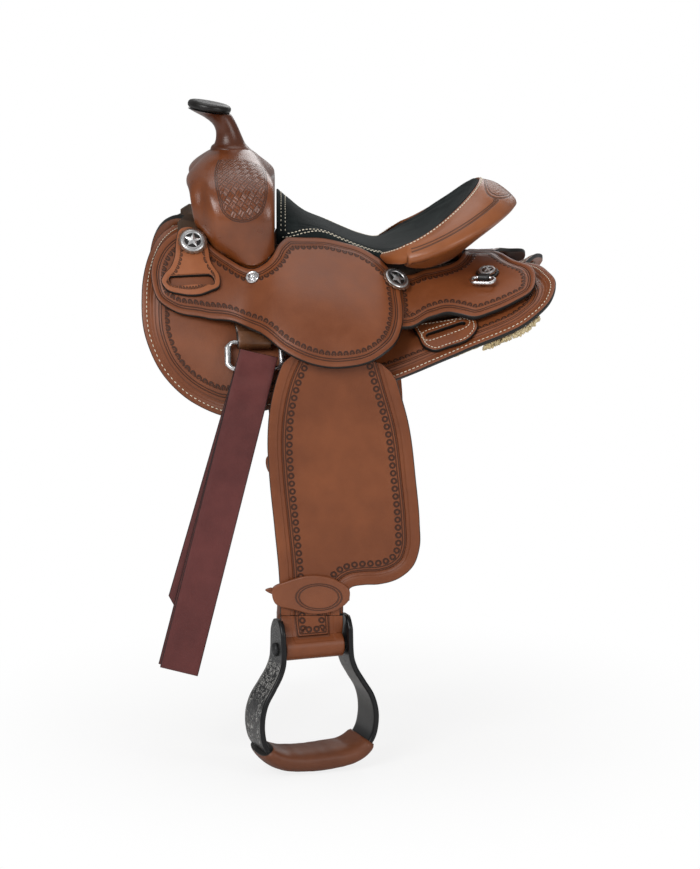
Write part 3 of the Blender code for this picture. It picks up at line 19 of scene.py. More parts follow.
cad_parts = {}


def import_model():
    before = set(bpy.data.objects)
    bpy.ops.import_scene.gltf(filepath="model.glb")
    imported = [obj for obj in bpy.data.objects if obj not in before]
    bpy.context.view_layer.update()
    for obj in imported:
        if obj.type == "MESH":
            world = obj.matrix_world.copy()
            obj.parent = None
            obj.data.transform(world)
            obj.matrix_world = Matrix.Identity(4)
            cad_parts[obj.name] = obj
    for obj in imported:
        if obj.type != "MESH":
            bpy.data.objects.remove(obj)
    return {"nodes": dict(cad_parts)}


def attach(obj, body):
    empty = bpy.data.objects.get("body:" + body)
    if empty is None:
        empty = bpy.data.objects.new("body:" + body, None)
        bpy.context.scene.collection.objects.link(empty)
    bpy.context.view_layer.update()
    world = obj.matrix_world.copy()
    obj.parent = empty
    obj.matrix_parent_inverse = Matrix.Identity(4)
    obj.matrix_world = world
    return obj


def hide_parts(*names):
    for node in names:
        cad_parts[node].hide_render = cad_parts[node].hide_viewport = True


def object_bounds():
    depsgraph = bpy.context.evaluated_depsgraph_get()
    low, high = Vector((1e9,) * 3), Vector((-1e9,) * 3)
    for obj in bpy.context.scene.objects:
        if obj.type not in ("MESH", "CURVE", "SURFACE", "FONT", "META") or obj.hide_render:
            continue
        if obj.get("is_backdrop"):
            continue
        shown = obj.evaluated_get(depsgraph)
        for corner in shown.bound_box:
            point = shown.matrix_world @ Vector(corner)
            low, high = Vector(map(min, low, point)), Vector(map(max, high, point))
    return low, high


log = logging.getLogger("pony_saddle")

Place = Callable[[float, float, float], Vector]
Height = Callable[[float, float], float]
Colour = tuple[float, float, float]
SIDES = (("near", -1), ("off", 1))
UP = Vector((0.0, 0.0, 1.0))
TOUCH = 0.0003
LAYER_AIR = 0.0007
LOOSE_AIR = 0.0014
STITCH_LIFT = 0.0002
# Distance in from the edge that walls and under faces carry in the "edge" UV map.
WALL = -0.001
UNDER = 1.0
# Value of the "panel" attribute well away from a stamped panel.
OUTSIDE = -0.05


# Curves and places

def held(value: float) -> float:
    """Value kept between 0 and 1."""
    return min(max(value, 0.0), 1.0)


def eased(value: float) -> float:
    """Soft step from 0 to 1 for a value that is kept between them."""
    value = held(value)
    return value * value * (3 - 2 * value)


def boxed(value: float, power: float) -> float:
    """Power of a value that keeps its sign; below 1 it squares up a circle."""
    return math.copysign(abs(value) ** power, value)


def spokes(sides: int) -> list[tuple[float, float]]:
    """Cosine and sine at even steps once round, with the first again at the end."""
    angles = [math.tau * (number % sides) / sides for number in range(sides + 1)]
    return [(math.cos(angle), math.sin(angle)) for angle in angles]


def halving(low: float, high: float, short: Callable[[float], bool]) -> float:
    """Last place in a range that a test still calls short.

    Args:
        low: Start of the range, which is short.
        high: End of the range.
        short: The test, true up to the place looked for.

    Returns:
        The place.
    """
    for _ in range(24):
        middle = (low + high) / 2
        if short(middle):
            low = middle
        else:
            high = middle
    return low


def blend(start: float | Vector, leave: float | Vector, end: float | Vector, arrive: float | Vector,
          part: float) -> float | Vector:
    """Cubic between two values with a slope at each.

    Args:
        start: Value at 0.
        leave: Slope at 0.
        end: Value at 1.
        arrive: Slope at 1.
        part: Where to read, 0 to 1.

    Returns:
        The value there.
    """
    square, cube = part * part, part ** 3
    return ((2 * cube - 3 * square + 1) * start + (cube - 2 * square + part) * leave
            + (3 * square - 2 * cube) * end + (cube - square) * arrive)


def left_of(way: Vector) -> Vector:
    """Flat direction a quarter turn to the left of another."""
    return Vector((-way.y, way.x))


def heading(line: Sequence[Vector], index: int) -> Vector:
    """Direction of an open line at one of its points."""
    return (line[min(index + 1, len(line) - 1)] - line[max(index - 1, 0)]).normalized()


def runs_along(line: Sequence[Vector]) -> list[float]:
    """Length along a line at each of its points.

    Args:
        line: Points of the line.

    Returns:
        One length for each point, 0 at the first.
    """
    runs = [0.0]
    for first, second in zip(line, line[1:]):
        runs.append(runs[-1] + (second - first).length)
    return runs


def smooth_value(knots: Sequence[float], values: Sequence[float], at: float) -> float:
    """Smooth curve through values at knots, held straight past the ends.

    Args:
        knots: Rising places.
        values: The value at each place.
        at: Where to read.

    Returns:
        The value there.
    """
    last = len(knots) - 1
    cell = 0
    while cell < last - 1 and at > knots[cell + 1]:
        cell += 1
    run = knots[cell + 1] - knots[cell]
    part = (at - knots[cell]) / run

    def slope(index: int) -> float:
        """Slope at a knot."""
        low, high = max(index - 1, 0), min(index + 1, last)
        return (values[high] - values[low]) / (knots[high] - knots[low])

    start, end = values[cell], values[cell + 1]
    if part <= 0.0:
        return start + slope(cell) * run * part
    if part >= 1.0:
        return end + slope(cell + 1) * run * (part - 1.0)
    return blend(start, slope(cell) * run, end, slope(cell + 1) * run, part)


def station(table: Sequence[Sequence[float]], column: int, along: float) -> float:
    """Read one column of a table of stations.

    Args:
        table: Rows that start with their place along the saddle.
        column: Column to read.
        along: Place along the saddle.

    Returns:
        The smoothed value.
    """
    return smooth_value([row[0] for row in table], [row[column] for row in table], along)


def curve_through(points: Sequence, step: float, closed: bool = True) -> list[Vector]:
    """Even points on a smooth curve through the given ones.

    Args:
        points: Points in a plane; a third value of 1 keeps a corner.
        step: Spacing of the result.
        closed: Whether the curve closes on itself.

    Returns:
        Points on the curve.
    """
    count = len(points)
    spots = [Vector(point[:2]) for point in points]
    ends = () if closed else (0, count - 1)
    corner = [len(point) > 2 or index in ends for index, point in enumerate(points)]

    def tangent(index: int, leaving: bool) -> Vector:
        """Direction of the curve at a point.

        Args:
            index: Index of the point.
            leaving: Whether the curve leaves the point or comes to it.

        Returns:
            The direction.
        """
        before, here, after = spots[index - 1], spots[index], spots[(index + 1) % count]
        if corner[index]:
            return (after - here).normalized() if leaving else (here - before).normalized()
        back, ahead = here - before, after - here
        mixed = back.normalized() * ahead.length + ahead.normalized() * back.length
        return mixed / (back.length + ahead.length)

    result = []
    for index in range(count if closed else count - 1):
        start, end = spots[index], spots[(index + 1) % count]
        length = (end - start).length
        leave, arrive = tangent(index, True) * length, tangent((index + 1) % count, False) * length
        steps = max(1, round(length / step))
        result += [blend(start, leave, end, arrive, number / steps) for number in range(steps)]
    if not closed:
        result.append(spots[-1])
    return result


def path_through(points: Sequence[Vector], count: int) -> list[Vector]:
    """Even points on a smooth path through points in space.

    Args:
        points: Points to pass through.
        count: Number of steps along the path.

    Returns:
        count + 1 points.
    """
    lengths = runs_along(points)
    result = []
    for number in range(count + 1):
        at = lengths[-1] * number / count
        result.append(Vector([smooth_value(lengths, [spot[axis] for spot in points], at)
                              for axis in range(len(points[0]))]))
    return result


def arc(centre: Sequence[float], radius: float, start: float, end: float, steps: int) -> list[Vector]:
    """Points on an arc.

    Args:
        centre: Centre of the arc.
        radius: Its radius.
        start: First angle in degrees.
        end: Last angle in degrees.
        steps: Number of steps.

    Returns:
        steps + 1 points.
    """
    spots = []
    for number in range(steps + 1):
        angle = math.radians(start + (end - start) * number / steps)
        spots.append(Vector(centre) + Vector((math.cos(angle), math.sin(angle))) * radius)
    return spots


def stadium(start: Sequence[float], end: Sequence[float], width: float, segments: int = 16) -> list[Vector]:
    """Outline of a slot with round ends.

    Args:
        start: Centre of one end.
        end: Centre of the other end.
        width: Width of the slot.
        segments: Steps round each end.

    Returns:
        Points round the slot.
    """
    start, end = Vector(start), Vector(end)
    along = (end - start).normalized()
    across = left_of(along)
    points = []
    for centre, sign in ((end, 1), (start, -1)):
        for number in range(segments + 1):
            angle = math.pi * (number / segments - 0.5)
            points.append(centre + (along * math.cos(angle) + across * math.sin(angle)) * sign * width / 2)
    return points


def offset_line(points: Sequence[Vector], distance: float) -> list[Vector]:
    """Closed line at a distance inside a closed outline.

    Args:
        points: The outline.
        distance: Distance inwards.

    Returns:
        One point for each point of the outline.
    """
    count = len(points)
    area = sum(points[index].cross(points[(index + 1) % count]) for index in range(count))
    sign = 1.0 if area > 0 else -1.0
    result = []
    for index, spot in enumerate(points):
        before, after = (spot - points[index - 1]).normalized(), (points[(index + 1) % count] - spot).normalized()
        along = (before + after).normalized()
        result.append(spot + left_of(along) * sign * distance / max(along.dot(after), 0.5))
    return result


@dataclass(frozen=True)
class Back:
    """The pony's back under the saddle, and how far the jockeys stand off it."""

    girth_per_radian: float = 0.165
    skirt_girth: float = 0.255
    # Place along the saddle, height of the spine, half width and depth of the skirt's arch.
    stations: tuple = (
        (-0.240, 0.135, 0.130, 0.190),
        (-0.170, 0.112, 0.138, 0.188),
        (-0.100, 0.066, 0.150, 0.165),
        (0.000, 0.028, 0.158, 0.125),
        (0.100, 0.032, 0.168, 0.112),
        (0.170, 0.052, 0.180, 0.110),
        (0.240, 0.084, 0.190, 0.125),
    )
    # Place along the saddle, then how far the jockeys stand off at each of the girths.
    lift_girths: tuple = (0.050, 0.090, 0.130, 0.170, 0.210)
    lift_stations: tuple = (
        (-0.235, 0.013, 0.012, 0.010, 0.009, 0.009),
        (-0.175, 0.025, 0.021, 0.013, 0.009, 0.009),
        (-0.120, 0.044, 0.029, 0.021, 0.017, 0.016),
        (-0.080, 0.058, 0.047, 0.045, 0.044, 0.042),
        (-0.020, 0.069, 0.058, 0.053, 0.047, 0.042),
        (0.030, 0.063, 0.051, 0.045, 0.042, 0.039),
        (0.060, 0.050, 0.036, 0.027, 0.026, 0.026),
        (0.100, 0.038, 0.028, 0.015, 0.012, 0.012),
        (0.150, 0.024, 0.018, 0.008, 0.007, 0.007),
        (0.200, 0.013, 0.009, 0.006, 0.006, 0.006),
    )

    def at(self, along: float, girth: float, height: float, side: int) -> tuple[Vector, Vector]:
        """Point at a height above the skirt's outer face.

        Args:
            along: Place along the saddle.
            girth: Distance down from the spine over the skirt.
            height: Height above the skirt.
            side: -1 for the near side, 1 for the off side.

        Returns:
            The point and the face's outward direction.
        """
        spine, half, depth = (station(self.stations, column, along) for column in (1, 2, 3))
        turn = girth / self.girth_per_radian
        normal = Vector((0.0, depth * math.sin(turn), half * math.cos(turn))).normalized()
        across = half * math.sin(turn) + normal.y * height
        up = spine - depth * (1.0 - math.cos(turn)) + normal.z * height
        return Vector((along, side * across, up)), Vector((0.0, side * normal.y, normal.z))

    def lift(self, along: float, girth: float) -> float:
        """Height of the jockeys' outer face above the skirt.

        Args:
            along: Place along the saddle.
            girth: Distance down from the spine.

        Returns:
            The height.
        """
        girth = min(max(girth, self.lift_girths[0] - 0.03), self.lift_girths[-1])
        rows = [station(self.lift_stations, column + 1, along) for column in range(len(self.lift_girths))]
        return smooth_value(self.lift_girths, rows, girth)

    def girth_at(self, along: float, across: float, height: Height) -> float:
        """Girth at which a sheet's face is a distance across from the centre line."""
        return halving(0.0, self.girth_per_radian * math.pi / 2,
                       lambda girth: self.at(along, girth, height(along, girth), 1)[0].y < across)

    def height_over(self, along: float, across: float, height: Height) -> float:
        """World height of a sheet's face at a place in plan."""
        girth = self.girth_at(along, across, height)
        return self.at(along, girth, height(along, girth), 1)[0].z

    def reach(self, along: float, up: float) -> float:
        """How far out the skirt's outer face is at a height."""
        girth = halving(0.0, self.skirt_girth, lambda girth: self.at(along, girth, 0.0, 1)[0].z > up)
        return self.at(along, girth, 0.0, 1)[0].y

    def frame(self, along: float, girth: float, side: int, height: Height) -> tuple[Vector, ...]:
        """Axes of a bent sheet at one of its places.

        Args:
            along: Place along the saddle.
            girth: Distance down from the spine.
            side: -1 or 1.
            height: The sheet's face.

        Returns:
            Point, outward normal, downhill direction and level direction.
        """
        def near(further: float, lower: float) -> Vector:
            """Point of the sheet a little further along or down."""
            x, g = along + further, girth + lower
            return self.at(x, g, height(x, g), side)[0]

        step = 0.003
        ahead, down = near(step, 0.0) - near(-step, 0.0), near(0.0, step) - near(0.0, -step)
        normal = (ahead.cross(down) * side).normalized()
        level_way = (ahead - down * (ahead.z / down.z)).normalized()
        return near(0.0, 0.0), normal, normal.cross(level_way) * side, level_way


BACK = Back()


def level(height: float) -> Height:
    """A face that keeps one height above the skirt."""
    return lambda along, girth: height


def bent(low: Height, high: Height, side: int) -> Place:
    """How a flat sheet lies on the back.

    Args:
        low: Its under face.
        high: Its outer face.
        side: -1 or 1.

    Returns:
        Map from (along, girth, 0 to 1 through the leather) to space.
    """
    def place(x: float, girth: float, up: float) -> Vector:
        """Bend one point over the back."""
        under = low(x, girth)
        return BACK.at(x, girth, under + (high(x, girth) - under) * up, side)[0]

    return place


# Meshes

class Border:
    """Measures how far a flat point is from an outline, and where along it."""

    def __init__(self, outline: Sequence[Vector]) -> None:
        """Keep an outline and its lengths.

        Args:
            outline: Closed outline in the flat.
        """
        points = [Vector(point[:2]) for point in outline]
        self.points = [point for index, point in enumerate(points) if (point - points[index - 1]).length > 1e-7]
        self.runs = runs_along(self.points + self.points[:1])
        self.length = self.runs[-1]
        self.tree = KDTree(len(self.points))
        for index, point in enumerate(self.points):
            self.tree.insert((point.x, point.y, 0.0), index)
        self.tree.balance()

    def measure(self, x: float, y: float) -> tuple[float, float]:
        """Nearest place on the outline.

        Args:
            x: Flat place.
            y: Flat place.

        Returns:
            Length along the outline and distance from it.
        """
        spot = Vector((x, y))
        near = self.tree.find((x, y, 0.0))[1]
        best = (0.0, 1e9)
        for index in (near - 1, near):
            index %= len(self.points)
            start, end = self.points[index], self.points[(index + 1) % len(self.points)]
            edge = end - start
            part = held((spot - start).dot(edge) / max(edge.length_squared, 1e-12))
            away = (spot - start - edge * part).length
            if away < best[1]:
                best = (self.runs[index] + edge.length * part, away)
        return best


LEATHER_RINGS = ((0.0004, 0.00030), (0.0012, 0.0))


def unfolded(outline: Sequence[Vector], distance: float) -> list[Vector]:
    """Line at a distance inside an outline, drawn together where it would cross itself.

    Args:
        outline: Closed outline.
        distance: Distance inwards.

    Returns:
        One point for each point of the outline.
    """
    border = Border(outline)
    line = offset_line(outline, distance)
    good = [index for index, spot in enumerate(line)
            if border.measure(spot.x, spot.y)[1] > abs(distance) * 0.98]
    for first, last in zip(good, good[1:] + [good[0] + len(line)]):
        for index in range(first + 1, last):
            nearest = first if index - first < last - index else last % len(line)
            line[index % len(line)] = line[nearest].copy()
    return line


def panel(outline: Sequence[Vector], thickness: float, grid: float, holes: Iterable[Sequence[Vector]] = (),
          rings: Sequence[tuple[float, float]] = LEATHER_RINGS, rim: float = 0.0010,
          track: tuple[float, float] = (0.0, 0.010), cuts: Sequence[tuple] = ()) -> bmesh.types.BMesh:
    """Flat sheet with rounded rims, as (x, y, 0 to 1 through its thickness).

    Its "edge" UV map holds the length along the outline and the distance in from it. The walls have a
    distance below 0, and the under face one of 1.

    Args:
        outline: Closed outline.
        thickness: Thickness that the drops are measured against.
        grid: Spacing of the cuts inside.
        holes: Outlines of slots.
        rings: Distance in from the rim, and how far the outer face is down there.
        rim: How far the outer face is down at the rim itself.
        track: Distance in at which the run is measured, and a pitch that is fitted into its length.
        cuts: Point and outward direction of straight cuts.

    Returns:
        The sheet, not yet placed.
    """
    bm = bmesh.new()
    drop = bm.verts.layers.float.new("drop")

    def ring(points: Sequence[Vector], down: float) -> list[bmesh.types.BMEdge]:
        """Add one closed line at a depth below the outer face.

        Args:
            points: Points of the line.
            down: How far below the outer face it is.

        Returns:
            The line's edges.
        """
        made = bmesh.ops.create_circle(bm, cap_ends=False, radius=1.0, segments=len(points))["verts"]
        for vert, point in zip(made, points):
            vert.co = (point[0], point[1], 0.0)
            vert[drop] = down
        return list({edge for vert in made for edge in vert.link_edges})

    inner = set()
    for loop, sign in [(outline, 1)] + [(hole, -1) for hole in holes]:
        before = ring(loop, rim)
        for distance, down in rings if sign > 0 else LEATHER_RINGS:
            here = ring(unfolded(loop, sign * distance), down)
            bmesh.ops.bridge_loops(bm, edges=before + here)
            before = here
        inner |= {vert for edge in before for vert in edge.verts}
    bmesh.ops.remove_doubles(bm, verts=bm.verts[:], dist=1e-7)
    free = [edge for edge in bm.edges if edge.is_boundary and all(vert in inner for vert in edge.verts)]
    old = set(bm.faces)
    if holes:
        bmesh.ops.triangle_fill(bm, use_beauty=True, use_dissolve=False, edges=free, normal=UP)
    else:
        bmesh.ops.contextual_create(bm, geom=free)
    bmesh.ops.recalc_face_normals(bm, faces=bm.faces[:])
    faces = [face for face in bm.faces if face not in old]
    inside = faces + list({edge for face in faces for edge in face.edges})
    inside += list({vert for face in faces for vert in face.verts})
    for axis, way in ((0, Vector((1, 0, 0))), (1, Vector((0, 1, 0)))):
        low = min(point[axis] for point in outline)
        high = max(point[axis] for point in outline)
        for line in range(math.ceil(low / grid), math.floor(high / grid) + 1):
            inside = bmesh.ops.bisect_plane(bm, geom=inside, plane_co=way * line * grid, plane_no=way,
                                            dist=1e-6)["geom"]
    for spot, way in cuts:
        bmesh.ops.bisect_plane(bm, geom=bm.verts[:] + bm.edges[:] + bm.faces[:], plane_co=(*spot, 0.0),
                               plane_no=(*way, 0.0), dist=1e-6, clear_outer=True)
    top = bmesh.ops.extrude_face_region(bm, geom=bm.faces[:])
    raised = {item for item in top["geom"] if isinstance(item, bmesh.types.BMVert)}
    for vert in bm.verts:
        vert.co.z = 1.0 - vert[drop] / thickness if vert in raised else 0.0
    bmesh.ops.triangulate(bm, faces=[face for face in bm.faces if len(face.verts) > 4])
    uv = bm.loops.layers.uv.new("edge")
    border = Border(outline)
    line = Border(unfolded(outline, track[0])) if track[0] else border
    fit = max(round(line.length / track[1]), 1) * track[1] / line.length
    slots = [Border(hole) for hole in holes]
    found = {}
    for face in bm.faces:
        above = sum(vert.co.z > 0.0 for vert in face.verts)
        spots = []
        for loop in face.loops:
            key = (loop.vert.co.x, loop.vert.co.y)
            if key not in found:
                run, away = line.measure(*key)[0] * fit, border.measure(*key)[1]
                near_slot = min([slot.measure(*key)[1] for slot in slots], default=1.0)
                found[key] = (run, WALL if near_slot < 0.0006 else away)
            spots.append(found[key])
        high_run = max(run for run, _ in spots)
        for loop, (run, away) in zip(face.loops, spots):
            if high_run - run > line.length / 2:
                run += line.length * fit
            if above == 0:
                away = UNDER
            elif above < len(face.verts):
                away = WALL
            loop[uv].uv = (run, away)
    return bm


def settle(flat: bmesh.types.BMesh, place: Place) -> bmesh.types.BMesh:
    """Copy of a flat sheet put in its place in space.

    Args:
        flat: Sheet from panel.
        place: Map from (x, y, through) to space.

    Returns:
        The placed copy.
    """
    bm = flat.copy()
    for vert in bm.verts:
        vert.co = place(*vert.co)
    return bm


def loft(rows: Sequence[Sequence[Vector]], uvs: Sequence[Sequence[tuple[float, float]]] = (),
         caps: bool = True) -> bmesh.types.BMesh:
    """Skin over rows of points; a row that ends where it starts is closed there.

    Args:
        rows: Rows of one length.
        uvs: The "edge" UV of every point; by default its indices.
        caps: Whether open ends are filled.

    Returns:
        The skin.
    """
    bm = bmesh.new()
    count, across = len(rows) - 1, len(rows[0]) - 1
    bmesh.ops.create_grid(bm, x_segments=across, y_segments=count, size=1.0)
    uv = bm.loops.layers.uv.new("edge")
    cell = {vert: (round((vert.co.y + 1) / 2 * count), round((vert.co.x + 1) / 2 * across)) for vert in bm.verts}
    for face in bm.faces:
        for loop in face.loops:
            row, column = cell[loop.vert]
            loop[uv].uv = uvs[row][column] if uvs else (row / count, column / across)
    for vert, (row, column) in cell.items():
        vert.co = rows[row][column]
    bmesh.ops.remove_doubles(bm, verts=bm.verts[:], dist=1e-6)
    if caps:
        filled = bmesh.ops.holes_fill(bm, edges=[edge for edge in bm.edges if edge.is_boundary], sides=0)
        for face in filled["faces"]:
            for loop in face.loops:
                loop[uv].uv = (0.0, WALL)
    return bm


def strap(line: Sequence[Vector], thickness: float, place: Callable[[float, Vector], Vector], left: float,
          right: float, ease: float = 0.0009, spans: int = 8) -> bmesh.types.BMesh:
    """Strap with rounded edges that follows a line in its side view.

    Args:
        line: The strap's middle in its side view.
        thickness: Its thickness.
        place: Map from (width, side-view point) to space.
        left: Width coordinate of one edge.
        right: Width coordinate of the other edge.
        ease: How far in the rounding of an edge reaches.
        spans: Steps across each face.

    Returns:
        The strap; its "edge" UV is the run along it and the distance from its edge.
    """
    half = thickness / 2
    flat = [left + ease + (right - left - 2 * ease) * number / spans for number in range(spans + 1)]
    section = [(width, half) for width in flat]
    section += [(right - ease * 0.3, half * 0.78), (right, half * 0.3), (right, -half * 0.3),
                (right - ease * 0.3, -half * 0.78)]
    section += [(width, -half) for width in reversed(flat)]
    section += [(left + ease * 0.3, -half * 0.78), (left, -half * 0.3), (left, half * 0.3),
                (left + ease * 0.3, half * 0.78)]
    section.append(section[0])
    runs = runs_along(line)
    rows, uvs = [], []
    for index, spot in enumerate(line):
        out = left_of(heading(line, index))
        rows.append([place(width, spot + out * up) for width, up in section])
        uvs.append([(runs[index], min(width - left, right - width) if abs(up) > half * 0.9 else WALL)
                    for width, up in section])
    return loft(rows, uvs)


def wire(path: Sequence[Vector], radius: float, place: Place, sides: int = 14) -> bmesh.types.BMesh:
    """Closed round wire along a flat path.

    Args:
        path: Points round the path.
        radius: Radius of the wire.
        place: Map from the path's plane and the height off it to space.
        sides: Sides of the wire.

    Returns:
        The ring.
    """
    rows = []
    for index, spot in enumerate(path):
        along = (path[(index + 1) % len(path)] - path[index - 1]).normalized()
        across = left_of(along)
        ring = []
        for cosine, sine in spokes(sides):
            flat = spot + across * radius * cosine
            ring.append(place(flat.x, flat.y, radius * sine))
        rows.append(ring)
    return loft(rows + [rows[0]], caps=False)


def turned(profile: Sequence[tuple[float, float]], at: Vector, axis: Vector, steps: int = 48) -> bmesh.types.BMesh:
    """Solid turned from (radius, height) points.

    Args:
        profile: Line that is spun about the axis.
        at: Where the axis starts.
        axis: Its direction.
        steps: Steps round it.

    Returns:
        The solid.
    """
    bm = bmesh.new()
    line = [bmesh.ops.create_vert(bm, co=(radius, 0.0, height))["vert"][0] for radius, height in profile]
    edges = []
    for pair in zip(line, line[1:]):
        edges += bmesh.ops.contextual_create(bm, geom=list(pair))["edges"]
    bmesh.ops.spin(bm, geom=line + edges, cent=(0, 0, 0), axis=(0, 0, 1), angle=math.tau, steps=steps,
                   use_merge=True, use_duplicate=False)
    bmesh.ops.remove_doubles(bm, verts=bm.verts[:], dist=1e-6)
    turn(bm, at, axis)
    return bm


def turn(bm: bmesh.types.BMesh, at: Vector, axis: Vector) -> None:
    """Stand a mesh that was built along +Z at a place, along an axis."""
    turning = UP.rotation_difference(Vector(axis)).to_matrix().to_4x4()
    bmesh.ops.transform(bm, matrix=Matrix.Translation(Vector(at)) @ turning, verts=bm.verts[:])


@dataclass(frozen=True)
class Stitch:
    """Spacing and size of the stitches of a row."""

    pitch: float = 0.0040
    length: float = 0.0032
    width: float = 0.0012


def stitches(line: Sequence[Vector], place: Callable[[float, float], Vector], stitch: Stitch) -> bmesh.types.BMesh:
    """Row of thread stitches on a surface.

    Args:
        line: Row's path in the flat; closed if it ends where it starts.
        place: Map from the flat to the surface.
        stitch: Spacing and size of the stitches.

    Returns:
        All the stitches of the row.
    """
    bm = bmesh.new()
    runs = runs_along(line)
    cell = 0
    for number in range(int(runs[-1] / stitch.pitch)):
        at = (number + 0.5) * stitch.pitch
        while cell < len(runs) - 2 and runs[cell + 1] < at:
            cell += 1
        part = (at - runs[cell]) / max(runs[cell + 1] - runs[cell], 1e-9)
        way = (line[cell + 1] - line[cell]).normalized()
        middle = line[cell].lerp(line[cell + 1], part)
        side = left_of(way)
        ends = [place(*(middle + way * sign * stitch.length / 2)) for sign in (-1, 1)]
        along = (ends[1] - ends[0]).normalized()
        beside = (place(*(middle + side * 0.001)) - place(*(middle - side * 0.001))).normalized()
        out = along.cross(beside).normalized()
        beside = out.cross(along)
        basis = Matrix((along, beside, out)).transposed().to_4x4()
        size = Matrix.Diagonal((stitch.length / 2, stitch.width / 2, stitch.width * 0.42, 1.0))
        bmesh.ops.create_icosphere(bm, subdivisions=1, radius=1.0,
                                   matrix=Matrix.Translation((ends[0] + ends[1]) / 2) @ basis @ size)
    return bm


def merge(parts: Iterable[bmesh.types.BMesh], index: int = 0) -> bmesh.types.BMesh:
    """Several meshes in one.

    Args:
        parts: Meshes, which are used up.
        index: Material slot for all the parts after the first.

    Returns:
        One mesh.
    """
    whole = bmesh.new()
    for number, part in enumerate(parts):
        if number and index:
            for face in part.faces:
                face.material_index = index
        mesh = bpy.data.meshes.new("part")
        part.to_mesh(mesh)
        part.free()
        whole.from_mesh(mesh)
        bpy.data.meshes.remove(mesh)
    return whole


def piece(name: str, bm: bmesh.types.BMesh, body: str, materials: Sequence[bpy.types.Material],
          nodes: Sequence[str] = (), sharp: float = 50.0) -> bpy.types.Object:
    """Make a finished piece and tell the frame what it is.

    Args:
        name: Name of the piece.
        bm: Its mesh in world coordinates, which is used up.
        body: Body that it rides on.
        materials: Its materials.
        nodes: CAD nodes that it replaces.
        sharp: Angle above which an edge is drawn sharp.

    Returns:
        The object.
    """
    bmesh.ops.recalc_face_normals(bm, faces=bm.faces[:])
    mesh = bpy.data.meshes.new(name)
    bm.to_mesh(mesh)
    bm.free()
    mesh.shade_smooth()
    mesh.set_sharp_from_angle(angle=math.radians(sharp))
    obj = bpy.data.objects.new(name, mesh)
    bpy.context.scene.collection.objects.link(obj)
    for material in materials:
        mesh.materials.append(material)
    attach(obj, body)
    if nodes:
        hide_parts(*nodes)
    log.info("%s: %d faces", name, len(mesh.polygons))
    return obj


# Finishes

